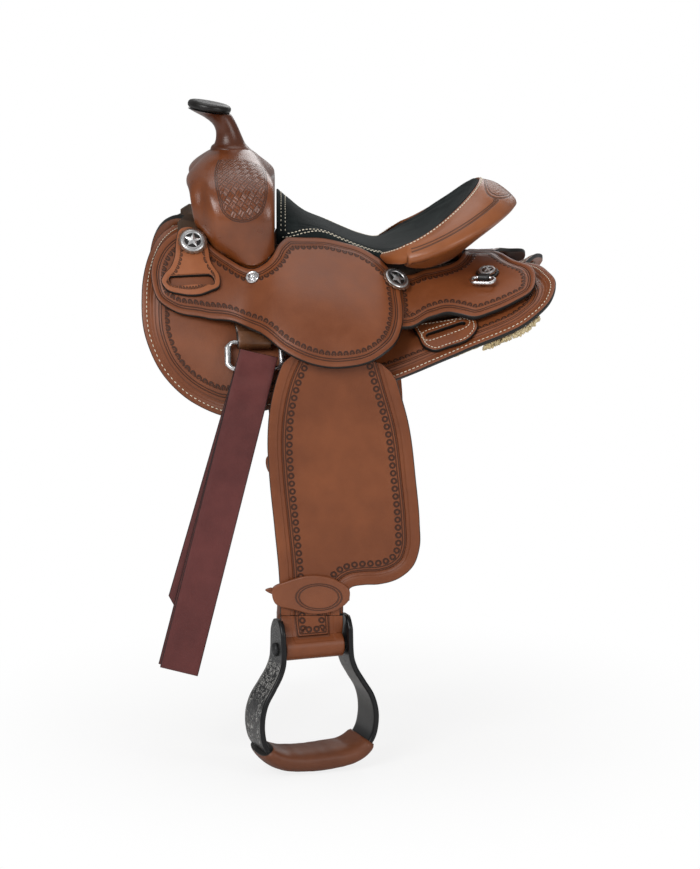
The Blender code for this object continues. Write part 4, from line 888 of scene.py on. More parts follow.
class Graph:
    """A material's nodes, with short ways to add them."""

    def __init__(self, name: str) -> None:
        """Start a material with its shader and output.

        Args:
            name: Name of the material.
        """
        self.material = bpy.data.materials.new(name)
        self.material.use_nodes = True
        self.tree = self.material.node_tree
        self.shader = self.tree.nodes["Principled BSDF"]
        self.object = self.node("ShaderNodeTexCoord").outputs["Object"]

    def node(self, kind: str, **settings: object) -> bpy.types.Node:
        """Add a node and set its properties.

        Args:
            kind: Type of the node.
            settings: Its properties.

        Returns:
            The node.
        """
        made = self.tree.nodes.new(kind)
        for key, value in settings.items():
            setattr(made, key, value)
        return made

    def put(self, socket: bpy.types.NodeSocket, value: object) -> None:
        """Link a socket, or set its value.

        Args:
            socket: Input to fill.
            value: An output to link, or a plain value.
        """
        if isinstance(value, bpy.types.NodeSocket):
            self.tree.links.new(value, socket)
        else:
            socket.default_value = value

    def math(self, operation: str, *values: object, clamp: bool = False) -> bpy.types.NodeSocket:
        """Math node on one or two values.

        Args:
            operation: Operation of the node.
            values: Sockets or numbers that go in.
            clamp: Whether the result is kept between 0 and 1.

        Returns:
            The result.
        """
        made = self.node("ShaderNodeMath", operation=operation, use_clamp=clamp)
        for socket, value in zip(made.inputs, values):
            self.put(socket, value)
        return made.outputs[0]

    def times(self, first: object, second: object, clamp: bool = False) -> bpy.types.NodeSocket:
        """Product of two values."""
        return self.math("MULTIPLY", first, second, clamp=clamp)

    def plus(self, first: object, second: object, clamp: bool = False) -> bpy.types.NodeSocket:
        """Sum of two values."""
        return self.math("ADD", first, second, clamp=clamp)

    def minus(self, first: object, second: object, clamp: bool = False) -> bpy.types.NodeSocket:
        """First value less the second."""
        return self.math("SUBTRACT", first, second, clamp=clamp)

    def most(self, first: object, second: object) -> bpy.types.NodeSocket:
        """Larger of two values."""
        return self.math("MAXIMUM", first, second)

    def smooth(self, value: object, low: float, high: float) -> bpy.types.NodeSocket:
        """Soft step from 0 at low to 1 at high.

        Args:
            value: Value to step on.
            low: Value at which the step is 0.
            high: Value at which it is 1, which may lie below low.

        Returns:
            The step.
        """
        made = self.node("ShaderNodeMapRange", interpolation_type="SMOOTHSTEP")
        if low < high:
            limits = (low, high, 0.0, 1.0)
        else:
            limits = (high, low, 1.0, 0.0)
        self.put(made.inputs["Value"], value)
        for key, limit in zip(("From Min", "From Max", "To Min", "To Max"), limits):
            made.inputs[key].default_value = limit
        return made.outputs["Result"]

    def pulse(self, value: object, centre: float, half: float, soft: float) -> bpy.types.NodeSocket:
        """1 within half of a centre, fading to 0 over a soft edge."""
        away = self.math("ABSOLUTE", self.minus(value, centre))
        return self.smooth(away, half + soft, half)

    def noise(self, scale: float, detail: float = 3.0, roughness: float = 0.55, distortion: float = 0.0,
              vector: object = None) -> bpy.types.NodeSocket:
        """Noise on the piece's own coordinates.

        Args:
            scale: Scale of the noise.
            detail: Its detail.
            roughness: Its roughness.
            distortion: Its distortion.
            vector: Coordinates to use in place of the piece's own.

        Returns:
            The noise.
        """
        made = self.node("ShaderNodeTexNoise")
        self.put(made.inputs["Vector"], vector if vector is not None else self.object)
        for key, value in (("Scale", scale), ("Detail", detail), ("Roughness", roughness),
                           ("Distortion", distortion)):
            made.inputs[key].default_value = value
        return made.outputs["Fac"]

    def cells(self, scale: float, feature: str = "F1", vector: object = None) -> bpy.types.NodeSocket:
        """Distance in a pattern of cells.

        Args:
            scale: Scale of the cells.
            feature: Which distance is measured.
            vector: Coordinates to use in place of the piece's own.

        Returns:
            The distance.
        """
        made = self.node("ShaderNodeTexVoronoi", feature=feature)
        self.put(made.inputs["Vector"], vector if vector is not None else self.object)
        made.inputs["Scale"].default_value = scale
        return made.outputs["Distance"]

    def mix(self, factor: object, first: object, second: object) -> bpy.types.NodeSocket:
        """Blend of two colours.

        Args:
            factor: Share of the second colour.
            first: First colour.
            second: Second colour.

        Returns:
            The blend.
        """
        made = self.node("ShaderNodeMix", data_type="RGBA")
        for socket, value in ((made.inputs[0], factor), (made.inputs[6], first), (made.inputs[7], second)):
            self.put(socket, (*value, 1.0) if isinstance(value, tuple) else value)
        return made.outputs[2]

    def edge(self) -> tuple[bpy.types.NodeSocket, bpy.types.NodeSocket]:
        """The two numbers of the "edge" UV map.

        Returns:
            The run along the edge and the distance in from it.
        """
        parts = self.node("ShaderNodeSeparateXYZ")
        self.put(parts.inputs[0], self.node("ShaderNodeUVMap", uv_map="edge").outputs[0])
        return parts.outputs[0], parts.outputs[1]

    def bump(self, height: object, distance: float, strength: float = 1.0,
             normal: bpy.types.NodeSocket | None = None) -> bpy.types.NodeSocket:
        """Bump of a height given in units of a distance.

        Args:
            height: Height to draw.
            distance: Its unit in metres.
            strength: Strength of the bump.
            normal: Normal that it adds to.

        Returns:
            The bumped normal.
        """
        made = self.node("ShaderNodeBump")
        self.put(made.inputs["Height"], height)
        made.inputs["Distance"].default_value = distance
        made.inputs["Strength"].default_value = strength
        if normal is not None:
            self.put(made.inputs["Normal"], normal)
        return made.outputs[0]

    def dress(self, colour: object, roughness: object, normal: object = None, **constants: float) -> None:
        """Fill the shader.

        Args:
            colour: Base colour.
            roughness: Roughness.
            normal: Bumped normal.
            constants: Other inputs by name, with _ for a space.
        """
        self.put(self.shader.inputs["Base Color"], (*colour, 1.0) if isinstance(colour, tuple) else colour)
        self.put(self.shader.inputs["Roughness"], roughness)
        if normal is not None:
            self.put(self.shader.inputs["Normal"], normal)
        for key, value in constants.items():
            self.shader.inputs[key.replace("_", " ")].default_value = value


class Stamp(Enum):
    """Shapes that a border stamp leaves."""

    ARCH = "arch"
    BEAD = "bead"


@dataclass(frozen=True)
class Tooling:
    """Border worked into leather, as distances in from its edge."""

    lines: tuple[float, ...] = ()
    channel: tuple[float, float] | None = None
    stamp: Stamp | None = None
    stamp_at: float = 0.012
    pitch: float = 0.0064
    size: float = 0.0050
    edge: float = 0.0012

    def work(self, graph: Graph, run: object, inset: object) -> tuple[object, object]:
        """Add the border's nodes.

        Args:
            graph: Material that it goes into.
            run: Length along the edge.
            inset: Distance in from it.

        Returns:
            How dark and how deep the work is, each 0 to 1.
        """
        dark: object = 0.0
        deep: object = 0.0
        for distance in self.lines:
            cut = graph.pulse(inset, distance, 0.00025, 0.0005)
            dark = graph.most(dark, graph.times(cut, 0.85))
            deep = graph.most(deep, cut)
        if self.channel:
            low, high = self.channel
            dip = graph.pulse(inset, (low + high) / 2, (high - low) / 2 - 0.0008, 0.0012)
            side = graph.pulse(inset, high, 0.0003, 0.0007)
            dark = graph.most(dark, graph.times(side, 0.45))
            deep = graph.most(deep, graph.times(dip, 0.8))
        if self.stamp:
            cell = graph.minus(graph.math("FRACT", graph.math("DIVIDE", run, self.pitch)), 0.5)
            x = graph.times(cell, self.pitch)
            y = graph.minus(inset, self.stamp_at)
            if self.stamp is Stamp.ARCH:
                y = graph.times(y, 0.85)
            away = graph.math("SQRT", graph.plus(graph.times(x, x), graph.times(y, y)))
            ring = graph.pulse(away, self.size * 0.38, self.size * 0.09, self.size * 0.12)
            if self.stamp is Stamp.ARCH:
                open_side = graph.smooth(y, -self.size * 0.30, -self.size * 0.12)
                ring = graph.times(ring, open_side)
                heart = graph.smooth(away, self.size * 0.22, self.size * 0.08)
                ring = graph.most(ring, graph.times(heart, 0.8))
            dark = graph.most(dark, graph.times(ring, 0.92))
            deep = graph.most(deep, ring)
        return dark, deep


@dataclass(frozen=True)
class Leather:
    """Oiled vegetable-tanned leather with its grain, dyed edge and border work."""

    name: str
    light: Colour
    dark: Colour
    roughness: float = 0.44
    coat: float = 0.06
    grain: float = 0.00010
    edge_colour: Colour = (0.006, 0.005, 0.004)
    tooling: Tooling = Tooling()
    depth: float = 0.0006

    def make(self) -> bpy.types.Material:
        """Build the material.

        Returns:
            The material.
        """
        graph = Graph(self.name)
        run, inset = graph.edge()
        cloud = graph.smooth(graph.noise(9.0, 3.0, 0.6), 0.32, 0.70)
        fine = graph.noise(70.0, 4.0, 0.65)
        shade = graph.plus(graph.times(cloud, 0.65), graph.times(graph.minus(fine, 0.35), 0.7), clamp=True)
        colour = graph.mix(shade, self.dark, self.light)
        dark, deep = self.tooling.work(graph, run, inset)
        colour = graph.mix(dark, colour, tuple(value * 0.20 for value in self.dark))
        rim = graph.smooth(inset, self.tooling.edge, self.tooling.edge * 0.35)
        colour = graph.mix(rim, colour, self.edge_colour)
        pores = graph.cells(1100.0)
        wrinkle = graph.noise(260.0, 4.0, 0.6)
        skin = graph.plus(graph.times(pores, 0.6), graph.times(wrinkle, 0.9))
        bumped = graph.bump(skin, self.grain)
        bumped = graph.bump(graph.minus(0.0, deep), self.depth, 1.0, bumped)
        rough = graph.plus(graph.times(graph.minus(fine, 0.5), 0.22),
                           graph.plus(graph.times(dark, 0.15), self.roughness), clamp=True)
        graph.dress(colour, rough, bumped, Coat_Weight=self.coat, Coat_Roughness=0.34, Specular_IOR_Level=0.36)
        return graph.material


@dataclass(frozen=True)
class Woven(Leather):
    """Leather with a panel stamped in a basket weave, where the piece says that the panel is."""

    cell: float = 0.0048
    woven: bool = True

    def make(self) -> bpy.types.Material:
        """Build the material; the piece's "panel" attribute is the distance inside the panel.

        Returns:
            The material.
        """
        graph = Graph(self.name)
        run, inset = graph.edge()
        inside = graph.node("ShaderNodeAttribute", attribute_name="panel").outputs["Fac"]
        cloud = graph.smooth(graph.noise(11.0, 3.0, 0.6), 0.30, 0.72)
        fine = graph.noise(60.0, 4.0, 0.6)
        shade = graph.plus(graph.times(cloud, 0.7), graph.times(graph.minus(fine, 0.35), 0.6), clamp=True)
        colour = graph.mix(shade, self.dark, self.light)
        turned_run = graph.plus(graph.times(run, 0.82), graph.times(inset, 0.57))
        turned_inset = graph.minus(graph.times(inset, 0.82), graph.times(run, 0.57))
        axes = []
        for value in (turned_run, turned_inset):
            scaled = graph.math("DIVIDE", value, self.cell)
            axes.append((graph.math("FLOOR", scaled), graph.math("FRACT", scaled)))
        odd = graph.math("FLOORED_MODULO", graph.plus(axes[0][0], axes[1][0]), 2.0)
        strands = []
        for (_, across), (_, along) in ((axes[0], axes[1]), (axes[1], axes[0])):
            half = graph.math("ABSOLUTE", graph.minus(graph.math("FRACT", graph.times(across, 2.0)), 0.5))
            crown = graph.minus(1.0, graph.times(half, 1.6))
            end = graph.smooth(graph.math("ABSOLUTE", graph.minus(along, 0.5)), 0.50, 0.36)
            strands.append(graph.times(crown, end))
        weave = graph.plus(graph.times(strands[0], odd), graph.times(strands[1], graph.minus(1.0, odd)))
        field_mask = graph.times(graph.smooth(inside, 0.0022, 0.0030), float(self.woven))
        lines = graph.most(graph.pulse(inside, 0.0, 0.00030, 0.0005), graph.pulse(inside, 0.0019, 0.00025, 0.0005))
        # Darker where the weave lies low: between its strands and at their ends.
        mix_share = graph.times(graph.minus(0.85, weave, clamp=True), field_mask)
        dark = graph.most(graph.times(lines, 0.75), graph.times(mix_share, 0.85))
        colour = graph.mix(dark, colour, tuple(value * 0.22 for value in self.dark))
        height = graph.minus(graph.times(graph.minus(weave, 1.0), field_mask), lines)
        pores = graph.bump(graph.plus(graph.cells(1100.0), graph.noise(240.0, 4.0, 0.6)), self.grain)
        rough = graph.plus(graph.times(graph.minus(fine, 0.5), 0.15),
                           graph.plus(graph.times(dark, 0.2), self.roughness), clamp=True)
        graph.dress(colour, rough, graph.bump(height, self.depth, 1.0, pores), Coat_Weight=self.coat,
                    Coat_Roughness=0.18, Specular_IOR_Level=0.5)
        return graph.material


@dataclass(frozen=True)
class Suede:
    """Black suede with a brushed nap."""

    name: str = "black_suede"
    light: Colour = (0.020, 0.026, 0.026)
    dark: Colour = (0.005, 0.007, 0.007)

    def make(self) -> bpy.types.Material:
        """Build the material.

        Returns:
            The material.
        """
        graph = Graph(self.name)
        nap = graph.smooth(graph.noise(38.0, 5.0, 0.7, 0.8), 0.30, 0.74)
        fibre = graph.noise(900.0, 3.0, 0.7)
        shade = graph.times(graph.plus(nap, graph.times(fibre, 0.5)), 0.75, clamp=True)
        bumped = graph.bump(graph.plus(fibre, graph.times(nap, 0.5)), 0.00022)
        graph.dress(graph.mix(shade, self.dark, self.light), 0.95, bumped, Sheen_Weight=0.06,
                    Sheen_Roughness=0.45, Specular_IOR_Level=0.15)
        return graph.material


@dataclass(frozen=True)
class Metal:
    """Plated or cast metal with dark tarnish in random blotches."""

    name: str
    light: Colour = (0.74, 0.73, 0.70)
    dark: Colour = (0.20, 0.19, 0.18)
    roughness: float = 0.20
    metallic: float = 1.0
    scratch: float = 0.00004
    tarnish: float = 0.35

    def make(self) -> bpy.types.Material:
        """Build the material.

        Returns:
            The material.
        """
        graph = Graph(self.name)
        blotch = graph.smooth(graph.noise(220.0, 5.0, 0.65), 0.62, 0.40)
        mix_share = graph.times(blotch, self.tarnish)
        rough = graph.plus(graph.times(blotch, 0.16), self.roughness)
        bumped = graph.bump(graph.noise(1400.0, 3.0, 0.6), self.scratch)
        graph.dress(graph.mix(mix_share, self.light, self.dark), rough, bumped, Metallic=self.metallic)
        return graph.material


@dataclass(frozen=True)
class Engraved:
    """Black metal whose outer faces carry a bright engraved scroll."""

    name: str = "engraved_black"
    black: Colour = (0.012, 0.012, 0.013)
    bright: Colour = (0.66, 0.65, 0.62)
    border: float = 0.0045

    def make(self) -> bpy.types.Material:
        """Build the material; the "edge" UV gives the run and the distance from the edge.

        Returns:
            The material.
        """
        graph = Graph(self.name)
        run, inset = graph.edge()
        flat = graph.node("ShaderNodeCombineXYZ")
        graph.put(flat.inputs[0], run)
        graph.put(flat.inputs[1], inset)
        swirl = graph.noise(75.0, 1.0, 0.4, 2.6, flat.outputs[0])
        bands = graph.math("ABSOLUTE", graph.minus(graph.math("FRACT", graph.times(swirl, 9.0)), 0.5))
        scroll = graph.smooth(bands, 0.24, 0.34)
        leaf = graph.smooth(graph.cells(160.0, "DISTANCE_TO_EDGE", flat.outputs[0]), 0.05, 0.12)
        scroll = graph.times(scroll, leaf)
        inside = graph.smooth(inset, self.border + 0.0006, self.border + 0.0014)
        line = graph.pulse(inset, self.border - 0.0006, 0.0003, 0.0004)
        mask = graph.most(graph.times(scroll, inside), graph.times(line, 0.8))
        leafy = graph.most(graph.pulse(run, 0.066, 0.016, 0.008),
                           graph.times(graph.pulse(run, 0.105, 0.024, 0.014),
                                       graph.smooth(graph.noise(90.0, 2.0), 0.42, 0.58)))
        mix_share = graph.times(mask, graph.plus(graph.times(leafy, 0.86), 0.10))
        rough = graph.plus(graph.times(graph.noise(300.0), 0.12), 0.26)
        graph.dress(graph.mix(mix_share, self.black, self.bright), rough,
                    graph.bump(graph.minus(0.0, mask), 0.00035), Metallic=0.5)
        return graph.material


@dataclass(frozen=True)
class Pile:
    """Sheepskin pile."""

    name: str = "sheepskin"
    light: Colour = (0.74, 0.62, 0.38)
    dark: Colour = (0.42, 0.31, 0.14)

    def make(self) -> bpy.types.Material:
        """Build the material.

        Returns:
            The material.
        """
        graph = Graph(self.name)
        lock = graph.noise(190.0, 5.0, 0.7, 1.2)
        tint = graph.smooth(graph.plus(graph.times(lock, 0.6), graph.times(graph.noise(30.0), 0.4)), 0.32, 0.62)
        graph.dress(graph.mix(tint, self.dark, self.light), 0.98, graph.bump(lock, 0.0016),
                    Sheen_Weight=0.3, Sheen_Roughness=0.5, Specular_IOR_Level=0.1)
        return graph.material


@dataclass(frozen=True)
class Plain:
    """Material with a soft mottle: thread, wood, nylon and dark fills."""

    name: str
    light: Colour
    dark: Colour
    roughness: float = 0.6
    scale: float = 200.0
    depth: float = 0.0001
    stretch: tuple[float, float, float] = (1.0, 1.0, 1.0)

    def make(self) -> bpy.types.Material:
        """Build the material.

        Returns:
            The material.
        """
        graph = Graph(self.name)
        mapping = graph.node("ShaderNodeMapping")
        graph.put(mapping.inputs["Vector"], graph.object)
        mapping.inputs["Scale"].default_value = self.stretch
        grain = graph.noise(self.scale, 4.0, 0.6, 0.3, mapping.outputs[0])
        tint = graph.smooth(grain, 0.34, 0.64)
        graph.dress(graph.mix(tint, self.dark, self.light), self.roughness, graph.bump(grain, self.depth))
        return graph.material


BROWN_LIGHT = (0.236, 0.068, 0.021)
BROWN_DARK = (0.158, 0.042, 0.012)
SKIRT_TOOLING = Tooling((0.0185, 0.0210), (0.0095, 0.0145), Stamp.ARCH, 0.0262, 0.0067, 0.0058)
JOCKEY_TOOLING = Tooling((0.0062, 0.0084), None, Stamp.ARCH, 0.0125, 0.0064, 0.0052)
FENDER_TOOLING = Tooling((0.0165, 0.0190), (0.0105, 0.0152), Stamp.BEAD, 0.0232, 0.0084, 0.0066)
KEEPER_TOOLING = Tooling((), None, Stamp.ARCH, 0.0062, 0.0042, 0.0034)


def made(finish: Leather | Suede | Metal | Engraved | Pile | Plain) -> object:
    """Field that holds a finish's material, built with its object."""
    return field(default_factory=finish.make)


@dataclass
class Finishes:
    """Every finish of the saddle, made once."""

    skirt: bpy.types.Material = made(Leather("skirt_leather", BROWN_LIGHT, BROWN_DARK, tooling=SKIRT_TOOLING))
    jockey: bpy.types.Material = made(Leather("jockey_leather", BROWN_LIGHT, BROWN_DARK, tooling=JOCKEY_TOOLING))
    fender: bpy.types.Material = made(Leather("fender_leather", BROWN_LIGHT, BROWN_DARK, tooling=FENDER_TOOLING))
    keeper: bpy.types.Material = made(Leather("keeper_leather", (0.350, 0.112, 0.038), (0.240, 0.070, 0.023),
                                              tooling=KEEPER_TOOLING))
    plain: bpy.types.Material = made(Leather("plain_leather", BROWN_LIGHT, BROWN_DARK))
    hobble: bpy.types.Material = made(Woven("hobble_leather", BROWN_LIGHT, BROWN_DARK, woven=False))
    tread: bpy.types.Material = made(Leather("tread_leather", (0.190, 0.060, 0.023), (0.115, 0.034, 0.013), 0.5))
    roll: bpy.types.Material = made(Woven("roll_leather", (0.330, 0.102, 0.028), (0.215, 0.060, 0.015),
                                          roughness=0.38, coat=0.15, cell=0.0042))
    swell: bpy.types.Material = made(Woven("swell_leather", (0.235, 0.060, 0.012), (0.110, 0.026, 0.005),
                                           roughness=0.30, coat=0.28, cell=0.0060))
    neck: bpy.types.Material = made(Leather("neck_leather", (0.135, 0.034, 0.010), (0.060, 0.015, 0.005), 0.32, 0.22))
    bronze: bpy.types.Material = made(Leather("strap_leather", (0.210, 0.090, 0.038), (0.100, 0.036, 0.014), 0.26,
                                              0.4))
    latigo: bpy.types.Material = made(Leather("latigo_leather", (0.150, 0.034, 0.030), (0.080, 0.015, 0.014), 0.44,
                                              0.06, edge_colour=(0.018, 0.006, 0.006)))
    black: bpy.types.Material = made(Leather("black_leather", (0.022, 0.022, 0.023), (0.008, 0.008, 0.009), 0.40,
                                             0.15))
    suede: bpy.types.Material = made(Suede())
    silver: bpy.types.Material = made(Metal("concho_silver", (0.60, 0.60, 0.60), (0.16, 0.16, 0.17), 0.28))
    steel: bpy.types.Material = made(Metal("bright_steel", (0.72, 0.72, 0.73), (0.34, 0.34, 0.35), 0.20,
                                           scratch=0.00001, tarnish=0.15))
    iron: bpy.types.Material = made(Metal("black_iron", (0.030, 0.030, 0.032), (0.012, 0.012, 0.012), 0.40, 0.4))
    copper: bpy.types.Material = made(Metal("dark_copper", (0.21, 0.11, 0.07), (0.035, 0.022, 0.017), 0.38,
                                            metallic=0.7))
    enamel: bpy.types.Material = made(Plain("black_fill", (0.018, 0.016, 0.015), (0.006, 0.006, 0.006), 0.35, 400.0))
    engraved: bpy.types.Material = made(Engraved())
    pile: bpy.types.Material = made(Pile())
    thread: bpy.types.Material = made(Plain("waxed_thread", (0.86, 0.80, 0.66), (0.62, 0.54, 0.40), 0.6, 1500.0))
    # Wood stained this dark partly as its own finish and partly as painted shade, so the bars and cores sink into the
    # shade of the gullet.
    wood: bpy.types.Material = made(Plain("tree_wood", (0.075, 0.038, 0.018), (0.035, 0.018, 0.009), 0.62, 60.0,
                                          0.0002, (0.12, 1.0, 1.0)))
    nylon: bpy.types.Material = made(Plain("sleeve_nylon", (0.70, 0.69, 0.65), (0.55, 0.54, 0.50), 0.45, 300.0))

    @property
    def concho(self) -> list[bpy.types.Material]:
        """A concho's materials in the order of its mesh: rim, scallops and fill."""
        return [self.silver, self.copper, self.enamel]


# Sub-assemblies

# Place along the seat, height of its middle, half width and height of its edge.
SEAT_STATIONS = (
    (-0.080, 0.143, 0.062, 0.100),
    (-0.069, 0.133, 0.067, 0.102),
    (-0.050, 0.117, 0.064, 0.105),
    (-0.030, 0.108, 0.060, 0.102),
    (-0.011, 0.099, 0.060, 0.094),
    (0.009, 0.090, 0.061, 0.086),
    (0.030, 0.085, 0.070, 0.081),
    (0.050, 0.085, 0.094, 0.088),
    (0.074, 0.090, 0.0955, 0.101),
    (0.093, 0.100, 0.087, 0.115),
    (0.112, 0.115, 0.072, 0.130),
    (0.130, 0.138, 0.045, 0.146),
    (0.140, 0.153, 0.010, 0.153),
)
# The cantle's rim in plan, and how far round it goes to each side in degrees.
RIM_CENTRE = 0.050
RIM_LENGTH = 0.090
RIM_HALF_WIDTH = 0.100
RIM_END = 84


def seat_top(along: float, across: float) -> float:
    """Height of the seat's upper face at a place in plan.

    Args:
        along: Place along the saddle.
        across: Distance from the centre line.

    Returns:
        The height.
    """
    centre, half, edge = (station(SEAT_STATIONS, column, along) for column in (1, 2, 3))
    part = min(abs(across) / max(half, 1e-4), 1.15)
    return centre + (edge - centre) * part ** 2.4


@dataclass
class Skirts:
    """Square skirts, their sheepskin and their stitching."""

    finishes: Finishes
    leather: float = 0.005
    pile: float = 0.013
    stitch_in: float = 0.0055
    set_back: float = 0.0070
    taper: float = 0.018
    stitch: Stitch = Stitch(0.0046, 0.0036, 0.0011)
    tufts_from: float = 0.138
    tufts_to: float = 0.197
    tufts_below: float = 0.128
    tuft_locks: int = 7
    outline: tuple = (
        (-0.160, 0.038), (-0.182, 0.050), (-0.201, 0.078), (-0.216, 0.118), (-0.223, 0.165),
        (-0.219, 0.206), (-0.202, 0.235), (-0.174, 0.252), (-0.141, 0.255), (-0.089, 0.234),
        (0.046, 0.190), (0.120, 0.161), (0.187, 0.145), (0.209, 0.126), (0.217, 0.102),
        (0.210, 0.060), (0.192, 0.0012, 1), (0.140, 0.0012, 1), (0.090, 0.030), (0.000, 0.036),
        (-0.100, 0.036),
    )
    rings: tuple = ((0.0004, 0.00030), (0.0012, 0.0), (0.0095, 0.0), (0.0106, 0.0009), (0.0136, 0.0010),
                    (0.0148, 0.0), (0.0230, 0.0), (0.0294, 0.0))

    def build(self) -> None:
        """Build both sides."""
        edge = curve_through(self.outline, 0.003)
        skirt = panel(edge, self.leather, 0.0075, rings=self.rings,
                      track=(SKIRT_TOOLING.stamp_at, SKIRT_TOOLING.pitch))
        inner = unfolded(edge, self.set_back)
        fleece = panel(inner, self.pile, 0.0036, rings=((0.002, 0.0016), (0.005, 0.0)), rim=0.003)
        border = Border(inner)
        row = offset_line(edge, self.stitch_in)
        top = -self.leather - LAYER_AIR
        for name, side in SIDES:
            bm = settle(skirt, bent(level(-self.leather), level(0.0), side))
            piece("skirt_leather_" + name, bm, "tree", [self.finishes.skirt], ["skirt_" + name])
            lay = bent(level(top - self.pile), level(top), side)

            def thin(x: float, girth: float, up: float) -> Vector:
                """Place in the pile, which thins out towards its edge."""
                edge_part = max(1.0 - border.measure(x, girth)[1] / self.taper, 0.0)
                return lay(x, girth, up + (1.0 - up) * 0.6 * edge_part * edge_part)

            bm = settle(fleece, thin)
            self.ruffle(bm)
            piece("sheepskin_" + name, bm, "tree", [self.finishes.pile], ["fleece_" + name], 180.0)
            bm = stitches(row + row[:1], lambda x, g: BACK.at(x, g, STITCH_LIFT, side)[0], self.stitch)
            piece("skirt_stitches_" + name, bm, "tree", [self.finishes.thread])
            self.tuft(name, side, edge)
        skirt.free()
        fleece.free()

    def ruffle(self, bm: bmesh.types.BMesh) -> None:
        """Raise locks of wool on the pile's free faces.

        Args:
            bm: The pile's mesh, which is changed.
        """
        bm.normal_update()
        shifts = {}
        for vert in bm.verts:
            lock = noise.noise(vert.co * 130.0) + 0.6 * noise.noise(vert.co * 290.0 + Vector((5.0, 1.0, 3.0)))
            shifts[vert] = vert.normal * (lock * 0.0014 - 0.0010)
        bmesh.ops.recalc_face_normals(bm, faces=bm.faces[:])
        for vert, shift in shifts.items():
            vert.co += shift

    def tuft(self, name: str, side: int, edge: Sequence[Vector]) -> None:
        """Locks that stand past the rear of the skirt's lower edge.

        Args:
            name: Name of the side.
            side: -1 for the near side, 1 for the off side.
            edge: Outline of the skirt in the flat.
        """
        chance = random.Random(7 + side)
        bm = bmesh.new()
        spots = [(spot, edge[(index + 1) % len(edge)]) for index, spot in enumerate(edge)
                 if self.tufts_from < spot.x < self.tufts_to and spot.y > self.tufts_below]
        for spot, after in spots:
            way = (after - spot).normalized()
            out = left_of(way)
            out = out if out.y > 0 else -out
            for _ in range(self.tuft_locks):
                flat = spot + way * chance.uniform(-0.002, 0.002) + out * chance.uniform(-0.004, 0.0004)
                low = BACK.at(flat.x, flat.y, -self.leather - chance.uniform(0.003, 0.009), side)[0]
                size = Matrix.Diagonal((chance.uniform(0.0012, 0.0024), chance.uniform(0.0012, 0.0022),
                                        chance.uniform(0.0016, 0.0034), 1.0))
                lean = Matrix.Rotation(chance.uniform(-0.7, 0.7), 4, "X") @ Matrix.Rotation(
                    chance.uniform(-0.7, 0.7), 4, "Y")
                bmesh.ops.create_icosphere(bm, subdivisions=1, radius=1.0,
                                           matrix=Matrix.Translation(low) @ lean @ size)
        piece("sheepskin_locks_" + name, bm, "tree", [self.finishes.pile], sharp=180.0)


@dataclass
class Tree:
    """Hidden and half-hidden wood and steel: only their finishes are given here."""

    finishes: Finishes
    nodes: dict[str, bpy.types.Object]

    def build(self) -> None:
        """Dress the CAD nodes that stay."""
        # The wood's dark stain is partly painted shade for the bar ends seen under the fork.
        plan = {"wood": ("tree_bar_near", "tree_bar_off", "ground_seat", "cantle_core"),
                "steel": ("horn_core", "leather_buckle_near", "leather_buckle_off"),
                "nylon": ("bolt_sleeve_near", "bolt_sleeve_off")}
        for finish, names in plan.items():
            for name in names:
                mesh = self.nodes[name].data
                mesh.materials.clear()
                mesh.materials.append(getattr(self.finishes, finish))
                log.info("%s: dressed in %s", name, finish)


